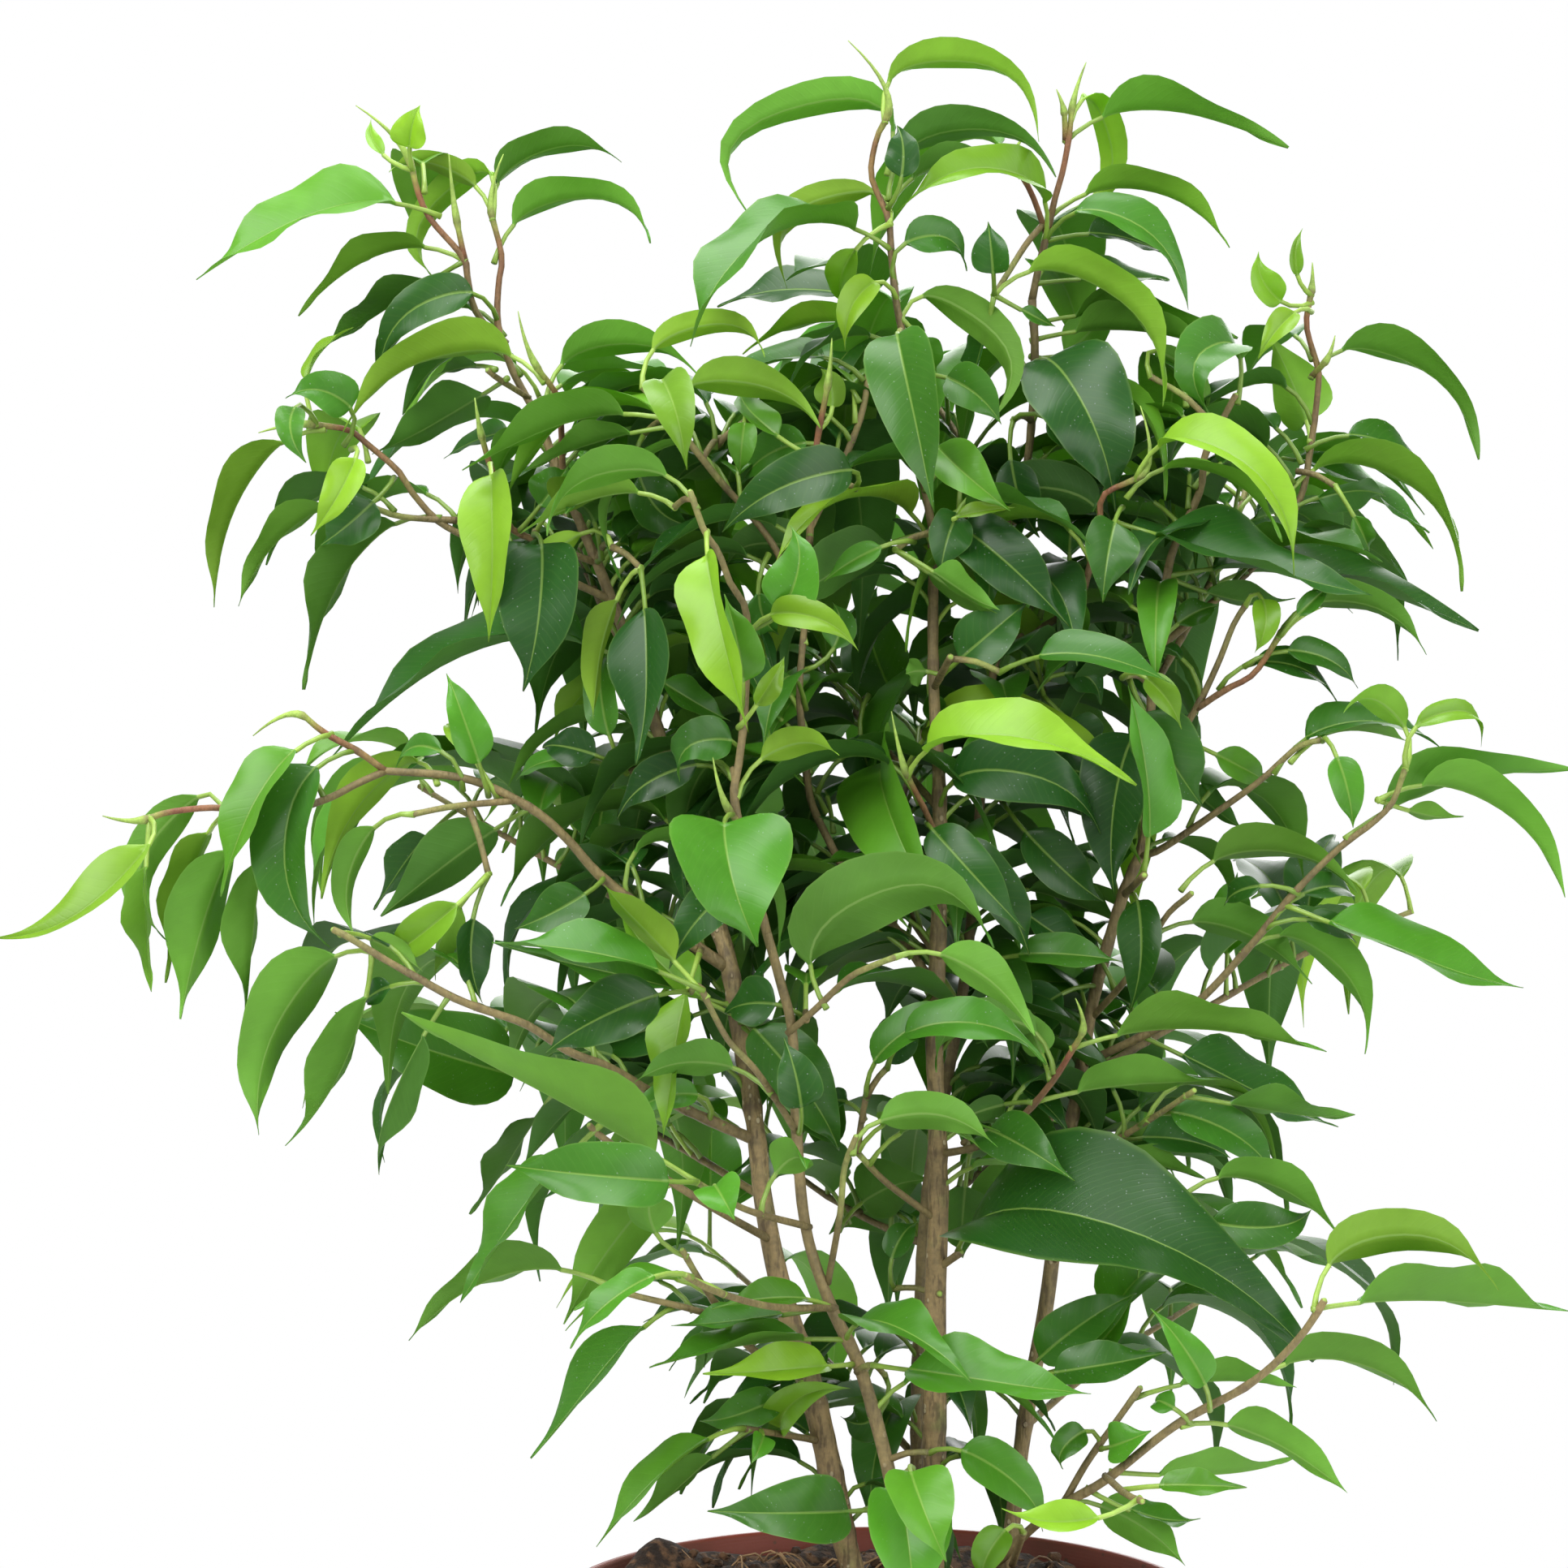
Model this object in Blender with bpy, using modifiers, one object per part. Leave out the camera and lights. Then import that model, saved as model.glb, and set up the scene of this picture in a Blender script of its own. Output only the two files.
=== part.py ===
"""A weeping fig with several woody stems in a plastic nursery pot.

Sizes are in millimetres and are turned into metres when a mesh is made. The origin is the middle of
the pot's underside, +Z is up, and the plant is looked at from -Y. Twigs and leaves are given as they
appear from there: (across, up, behind) means the point that hides (across, up) on the upright plane
through the pot's axis, and stands `behind` millimetres further away than that plane.
"""

import math
from dataclasses import dataclass

import bmesh
import bpy
import numpy as np
from mathutils.bvhtree import BVHTree

MM = 0.001
EYE = np.array((-17.85, -620.0, 255.6))
UP = np.array((0.0, 0.0, 1.0))
SEED = 20261

# The nursery pot, a standard one of 12 cm
POT_HEIGHT = 105.0
POT_RIM_RADIUS = 61.0
POT_BODY_RADIUS = 57.6
POT_BASE_RADIUS = 42.0
POT_WALL = 1.6
POT_FLOOR = 2.0
RIM_DEPTH = 13.0
BASE_CHAMFER = 2.0
POT_SIDES = 32
DRAIN_HOLES = 8
DRAIN_RADIUS = 4.0
DRAIN_CIRCLE = 31.0
GAP = 0.3

# The soil and the holes that the stems stand in
SOIL_LEVEL = 101.5
SOIL_ROUGHNESS = 1.5
SOIL_RINGS = 4
SOIL_SIDES = 24
CLUMP_PLACE = (-43.0, 34.0)
CLUMP_HEIGHT = 7.5
CLUMP_SPREAD = 8.0
HOLE_SIDES = 8
DRAIN_SIDES = 8

# Wood. A route's radius leaves room for growth, and the wood itself is slimmer: routed, then real radii
ROUTED_RADII = (0.6, 1.2, 2.8)
REAL_RADII = (0.52, 0.82, 2.8)
TWIG_STEP = 24.0
SPOT_STEP = 1.5
TWIGLET_THICK = 0.8
TWIGLET_THIN = 0.6
PETIOLE_REACH = 12.0
SPIKE_BASE = 0.65
FLAT_ANGLE = math.radians(5.0)

# Leaves
PETIOLE_LENGTH = 8.5
STALK_RING = 3.2
STALK_HALF = 0.65
ROOT_SINK = 0.4
BLADE_THICKNESS = 1.0
BLADE_OUTLINE = ((0.0, 0.03, 0.12, 0.28, 0.45, 0.66, 0.85, 1.0), (0.1, 0.35, 0.78, 1.0, 0.93, 0.56, 0.2, 0.0))
WIDE_BLADE = 15.5
CLEARANCE = 0.45
CROWN_DROP = 0.9
YOUNG_SLIMNESS = 0.38
OLD_SLIMNESS = 0.48
NODE_SPACING = 13.0
BARE_END = 4.0
FILLING_LENGTH = 39.0
SHARES_HIDDEN = (0.35, 0.55, 0.75, 1.0)
DEPTH_SCATTER = 70.0
DIVERGENCE = math.radians(137.5)
FILLING_LEAVES = 60
ON = None

# Within this outline, given as (across, up), the crown is closed: its gaps hold leaves further back
CLOSED_CROWN = (
    (-55, 336), (-31, 343), (-14, 352), (-7, 366), (8, 366), (24, 362), (42, 362), (59, 346), (78, 330),
    (98, 310), (96, 287), (86, 268), (62, 250), (48, 232), (47, 208), (71, 192), (66, 172), (24, 178),
    (14, 200), (5, 212), (-8, 224), (-19, 206), (-43, 190), (-70, 206), (-76, 232), (-55, 257), (-64, 280),
    (-58, 310),
)
CROWN_FRONT = -20.0
HIDING_REACH = 6.5

GREEN = (0.045, 0.17, 0.03)
TERRACOTTA = (0.23, 0.045, 0.03)
PEAT = (0.028, 0.016, 0.01)


@dataclass(frozen=True)
class Route:
    """A stem or twig: its radius at both ends, the points it runs through, and the tip of its spike."""

    thick: float
    thin: float
    points: tuple
    spike: tuple = ()


# The first route of each stem is the one that is rooted. The others start on the wood before them.
STEMS = {
    "stem_main": (
        Route(2.8, 1.2, ((9.7, 55, 0), (9.7, 105, 0), (9.8, 134, 0), (10.2, 161, 0), (10.6, 176, 0),
                         (10.5, 191, 0), (10, 209, 0), (10.5, 224, 0), (11, 251, 2), (9.8, 273, 3),
                         (9.7, 296, 4), (9.7, 302, 4))),
        Route(1.1, 0.6, ((9.7, 302, 4), (8, 311, 4), (6.5, 316, 3), (4.5, 336, 0), (3, 344, -1),
                         (2, 353, -2), (1.5, 360, -2), (-0.7, 365, -2), (-1.8, 369, -3),
                         (-0.7, 375, -3), (0.8, 378, -4)), (-6, 393, -5)),
        Route(0.9, 0.6, ((9.7, 302, 4), (14, 303, 0), (17.5, 308, -4), (23, 314, -10))),
        Route(1.0, 0.6, ((7.5, 175, -1), (1, 182, -7), (-4.3, 187.5, -12))),
        Route(1.1, 0.6, ((13, 166, -1), (20, 173, -8), (27.6, 181, -14))),
        Route(1.1, 0.6, ((12, 187, -1), (19, 189, -6), (26, 194, -10), (32, 201, -15),
                         (37, 209, -20)), (36, 216, -22)),
        Route(1.3, 0.7, ((9.5, 217, 0), (2, 230, 6), (-5, 237, 3), (-10, 246, 0), (-13, 253, -2),
                         (-14, 262, -3), (-15, 272, -4), (-14, 286, -5))),
        Route(0.9, 0.6, ((-14, 286, -5), (-20, 300, -9), (-30, 312, -14), (-38, 322, -18),
                         (-44, 329, -20))),
        Route(0.9, 0.6, ((-14, 286, -5), (-13, 303, -10), (-12, 317, -15), (-10, 328, -18)),
              (-9, 338, -20)),
        Route(0.9, 0.6, ((-12, 303, -8), (-7, 315, -3), (-3, 326, 0), (-2, 338, 2))),
        Route(0.9, 0.6, ((11, 243, 1), (9, 249, -12), (5, 257, -25)), (2, 269, -28)),
        Route(1.2, 0.6, ((10.5, 224, 0), (3, 238, 26), (6, 260, 58), (14, 278, 88))),
        Route(1.1, 0.6, ((11, 251, 2), (-4, 268, 33), (-14, 285, 62), (-21, 299, 84))),
        Route(1.1, 0.6, ((10.5, 224, 0), (18, 230, -28), (25, 238, -54), (28, 246, -76))),
        Route(1.0, 0.6, ((9.8, 273, 3), (14, 281, -22), (19, 289, -44), (22, 296, -62))),
        Route(1.0, 0.6, ((10.2, 161, 0), (19, 163, -26), (27, 166, -48), (31, 171, -68))),
    ),
    "stem_left": (
        Route(2.7, 1.1, ((-5, 55, -10), (-5, 105, -10), (-6.5, 115, -10), (-9.7, 131, -11),
                         (-12.7, 143, -12), (-18, 161, -13), (-21.7, 179, -13), (-23.2, 192, -12),
                         (-27.7, 221, -8), (-30.7, 231, -6), (-36.7, 251, -2), (-44.2, 275, 3),
                         (-51, 293, 6), (-57.7, 309, 8), (-63.7, 324, 8))),
        Route(1.0, 0.6, ((-63.7, 324, 8), (-67.8, 331.5, 8), (-69.4, 336, 8), (-70.8, 341, 8),
                         (-70.6, 348, 8), (-70, 353, 8), (-71.7, 360, 8)), (-69.7, 372, 8)),
        Route(0.9, 0.6, ((-69.4, 336, 8), (-72.7, 340, 6), (-75.3, 344, 4), (-76.3, 349, 3),
                         (-77.2, 353, 2), (-83.2, 360, 0), (-85.5, 365, -1), (-86.5, 369, -2)),
              (-97, 381, -4)),
        Route(0.7, 0.6, ((-77.2, 353, 2), (-78, 358, 1)), (-79.8, 372, 0)),
        Route(0.8, 0.6, ((-65, 326, 8), (-72, 331.5, 2), (-74.5, 335, -2))),
        Route(0.8, 0.6, ((-59, 312, 7), (-59.5, 326, 0), (-62.7, 331.5, -3)), (-67, 343, -5)),
        Route(0.9, 0.6, ((-53, 297, 6), (-62, 300, 3), (-68.5, 303, 0), (-69.7, 308, -4),
                         (-72, 314, -8), (-73.5, 319, -11)), (-75, 327, -13)),
        Route(1.0, 0.6, ((-50, 290, 6), (-66, 297, 2), (-80, 303, -2), (-86.2, 309, -4),
                         (-89.2, 313.5, -5), (-95.2, 318.7, -6), (-98.2, 321, -7), (-104.2, 322, -8)),
              (-115, 320.5, -9)),
        Route(0.8, 0.6, ((-80, 303, -2), (-88.5, 305, -5), (-94.5, 307, -7))),
        Route(1.5, 0.9, ((-29, 222, -8), (-42, 231, -14), (-51.7, 238.5, -18), (-57.7, 245.2, -20),
                         (-63.7, 250.5, -22), (-72.7, 255.3, -24), (-80.2, 257.2, -25),
                         (-91.5, 258, -26))),
        Route(0.8, 0.6, ((-91.5, 258, -26), (-96.7, 261.7, -28), (-102.7, 265, -30),
                         (-106, 267.7, -31)), (-116, 264.5, -31)),
        Route(0.9, 0.6, ((-91.5, 258, -26), (-96.7, 255.7, -28), (-102.7, 252.7, -30),
                         (-113.2, 249.7, -33), (-122, 251.2, -35), (-131, 250.5, -37),
                         (-135, 249.3, -38)), (-143.8, 249.7, -38)),
        Route(0.8, 0.6, ((-68.2, 252.7, -23), (-78.7, 251.5, -28), (-86.5, 250, -31))),
        Route(1.4, 0.7, ((-24, 190, -12), (-34, 194.5, -18), (-43, 199, -24), (-50.2, 203.2, -28),
                         (-57.7, 206.2, -31), (-65.2, 211, -33), (-72.7, 213.7, -34),
                         (-78.7, 216, -35), (-85.5, 219.7, -36), (-92.2, 223.5, -37),
                         (-98.2, 227.2, -38), (-101.2, 228.7, -38))),
        Route(1.2, 0.6, ((-20, 172, -13), (-33, 178.5, -34), (-51.7, 190.5, -44), (-55.5, 195.7, -47),
                         (-60.7, 201, -49))),
        Route(1.2, 0.6, ((-14, 146, -12), (-23.2, 150.7, -22), (-28.5, 156.7, -27),
                         (-32.2, 162, -30), (-34.5, 165.7, -32), (-36.7, 169.5, -34))),
        Route(0.8, 0.6, ((-28.5, 156.7, -27), (-35.5, 158.7, -33), (-46, 161.2, -38),
                         (-50.5, 163, -40))),
        Route(0.9, 0.6, ((-11, 134, -12), (-19, 135.5, -20), (-25.5, 136.5, -28))),
        Route(1.1, 0.6, ((-28, 221, -8), (-50, 235, 22), (-73, 248, 48), (-90, 258, 68))),
        Route(1.1, 0.6, ((-44, 275, 3), (-54, 294, 32), (-60, 312, 56), (-63, 327, 74))),
        Route(1.1, 0.6, ((-22, 179, -13), (-38, 189, 16), (-58, 199, 42), (-75, 205, 62))),
        Route(1.0, 0.6, ((-44, 275, 3), (-50, 282, -22), (-57, 289, -46), (-61, 294, -64))),
    ),
    "stem_front": (
        Route(1.7, 1.2, ((5, 55, -25), (5, 105, -25), (2, 126, -25), (-3.5, 147, -25),
                         (-9, 158.7, -26), (-13.7, 172.7, -27), (-15.5, 191, -28),
                         (-16.3, 209.5, -29), (-18.5, 219, -30), (-21, 228, -31))),
        Route(1.2, 0.6, ((-21, 228, -31), (-24, 240, -32), (-27, 252.7, -33), (-26.2, 259.5, -33),
                         (-25.2, 268.5, -33), (-24.7, 286.5, -34), (-27.7, 292.5, -35),
                         (-30, 298.5, -36), (-32.5, 302.2, -37), (-35.2, 309.7, -38))),
        Route(0.7, 0.6, ((-26.5, 247, -33), (-27.5, 250, -35)), (-31, 260.5, -38)),
        Route(0.9, 0.6, ((-16.3, 209.5, -29), (-12, 214, -33), (-6, 219.7, -38), (-1.5, 222, -41),
                         (3, 223.7, -44))),
        Route(0.9, 0.6, ((-15.5, 191, -28), (-19.5, 197.5, -33), (-23.5, 203.2, -38),
                         (-28, 208, -42), (-31.2, 213.7, -45), (-33, 217.5, -47))),
        Route(0.9, 0.6, ((-13.7, 172.7, -27), (-25, 177, -46), (-34, 182, -58))),
        Route(0.8, 0.6, ((-10, 163, -26), (-7.5, 176, -32), (-6.7, 184.5, -34), (-4.5, 190.5, -37))),
        Route(0.9, 0.6, ((-18.5, 219, -30), (-28, 226, -52), (-38, 234, -72), (-44, 239, -86))),
        Route(0.9, 0.6, ((-9, 158.7, -26), (-20, 159, -48), (-31, 162, -68), (-38, 166, -82))),
    ),
    "stem_right": (
        Route(2.1, 1.1, ((23, 55, 18), (23, 105, 18), (24, 116, 18), (26.5, 136.5, 17),
                         (30.3, 157.5, 16), (33, 178.5, 15), (36.7, 201, 14), (39.7, 217.5, 13),
                         (45, 235.5, 12), (48.3, 243.7, 11), (49.2, 250.2, 11), (50.2, 273, 9),
                         (53.2, 295.5, 7))),
        Route(1.1, 0.6, ((53.2, 295.5, 7), (54.5, 300, 6), (59, 309.7, 4), (60, 316.5, 2),
                         (63, 322.5, 0), (66.7, 329.2, -2), (71, 334.5, -4))),
        Route(1.0, 0.6, ((49.3, 255, 10), (57.7, 268.5, 4), (62.2, 277.5, 1), (65.2, 285, -1),
                         (67.5, 288.7, -2))),
        Route(0.8, 0.6, ((57.7, 268.5, 4), (63.7, 273, 0), (69, 276, -4), (73.5, 282.7, -7)),
              (81.7, 288.3, -9)),
        Route(1.0, 0.6, ((47.5, 242, 11), (51.7, 243.5, 8), (62.2, 250.5, 3), (70.5, 256.5, -2),
                         (77.2, 262.5, -6), (81.7, 263.7, -9))),
        Route(1.2, 0.6, ((37, 204, 14), (56, 213.3, 2), (68, 225.3, -4), (76, 235, -8),
                         (84.7, 243.7, -12), (90.7, 248.2, -15), (94.5, 252, -17), (96, 255.7, -18),
                         (97, 258.5, -19))),
        Route(0.9, 0.6, ((39, 212, 13), (45, 219, 6), (49, 225, 3), (53.2, 231.7, 0),
                         (58, 236, -4), (60, 241, -6), (61, 245, -7))),
        Route(1.1, 0.6, ((50.5, 280, 9), (60, 288, 14), (70, 297, 17), (77.2, 307.5, 18),
                         (79.5, 318, 17), (81, 330.7, 15), (80.2, 334.5, 15), (78.7, 340.5, 14),
                         (79.5, 346, 14)), (79.8, 352, 14)),
        Route(0.7, 0.6, ((81, 330.7, 15), (81.7, 333, 14)), (84, 338.5, 13)),
        Route(0.9, 0.6, ((34, 184, 15), (44, 190, 2), (52, 195, -10), (58, 199, -20))),
        Route(0.9, 0.6, ((31.5, 168, 16), (42, 172, 2), (50, 176, -12), (56, 179, -24))),
        Route(1.2, 0.6, ((36.7, 201, 14), (58, 213, 36), (80, 225, 56), (98, 232, 70))),
        Route(1.1, 0.6, ((50.2, 273, 9), (59, 289, 34), (66, 305, 56), (70, 321, 72))),
        Route(1.1, 0.6, ((26.5, 136.5, 17), (40, 148, 42), (54, 157, 66), (64, 163, 86))),
        Route(1.0, 0.6, ((45, 235.5, 12), (51, 241, -18), (58, 248, -42), (63, 254, -62))),
    ),
    "stem_low": (
        Route(1.6, 0.8, ((19.5, 55, -15), (19.5, 105, -15), (23, 113, -19), (32.2, 121.5, -26),
                         (41.2, 126.7, -32), (54.7, 137.2, -40), (68.2, 144.7, -47),
                         (77.2, 153, -52), (83.2, 162, -56))),
        Route(0.9, 0.6, ((33.7, 122.5, -27), (38, 130, -29), (43, 137, -31), (48, 144, -33),
                         (53.2, 151.5, -34))),
        Route(0.9, 0.6, ((41.2, 126.7, -32), (46, 124, -52), (52, 122, -70))),
        Route(0.9, 0.6, ((23, 113, -19), (27, 120, -40), (27, 132, -58), (24, 144, -70))),
    ),
    "stem_back": (
        Route(1.7, 1.0, ((6.5, 55, 20), (6.5, 105, 20), (6.7, 131, 20), (8.2, 176, 21),
                         (15.7, 221, 22), (19.5, 266, 22), (21.7, 281, 21), (25, 303, 19),
                         (27.5, 318, 17), (28.5, 334.5, 14), (28, 345, 13))),
        Route(0.9, 0.6, ((28, 345, 13), (29.2, 351, 12), (30.7, 357, 11), (32.2, 363.7, 10),
                         (33.7, 369, 9), (34.8, 375, 8), (35.2, 379, 8)), (38, 389, 7)),
        Route(0.7, 0.6, ((34.8, 375, 8), (34, 379, 7)), (32.5, 384, 6)),
        Route(0.7, 0.6, ((30.7, 357, 11), (28, 364.5, 9), (25, 370, 7)), (27, 376, 6)),
        Route(0.8, 0.6, ((30, 358, 11), (27, 355.5, 8), (23.2, 349.5, 4), (21, 346, 2))),
        Route(1.0, 0.6, ((21.7, 281, 21), (35.2, 288, 10), (39, 297, 3), (40.5, 304.5, -1),
                         (41.2, 309, -3), (47.2, 312, -6)), (48, 325.5, -7)),
        Route(1.2, 0.6, ((15.7, 221, 22), (-8, 234, 46), (-32, 248, 70), (-50, 259, 90))),
        Route(1.1, 0.6, ((19.5, 266, 22), (42, 278, 46), (58, 292, 68), (70, 305, 84))),
        Route(1.1, 0.6, ((8.2, 176, 21), (24, 188, 46), (42, 202, 72), (55, 212, 92))),
        Route(1.1, 0.6, ((6.7, 131, 20), (-9, 148, 46), (-23, 162, 72), (-32, 170, 90))),
        Route(1.0, 0.6, ((25, 303, 19), (15, 319, 38), (5, 333, 52), (0, 344, 62))),
        Route(1.0, 0.6, ((8, 170, 21), (-4, 176, 30), (-16, 184, 40), (-26, 196, 50))),
    ),
}

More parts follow.
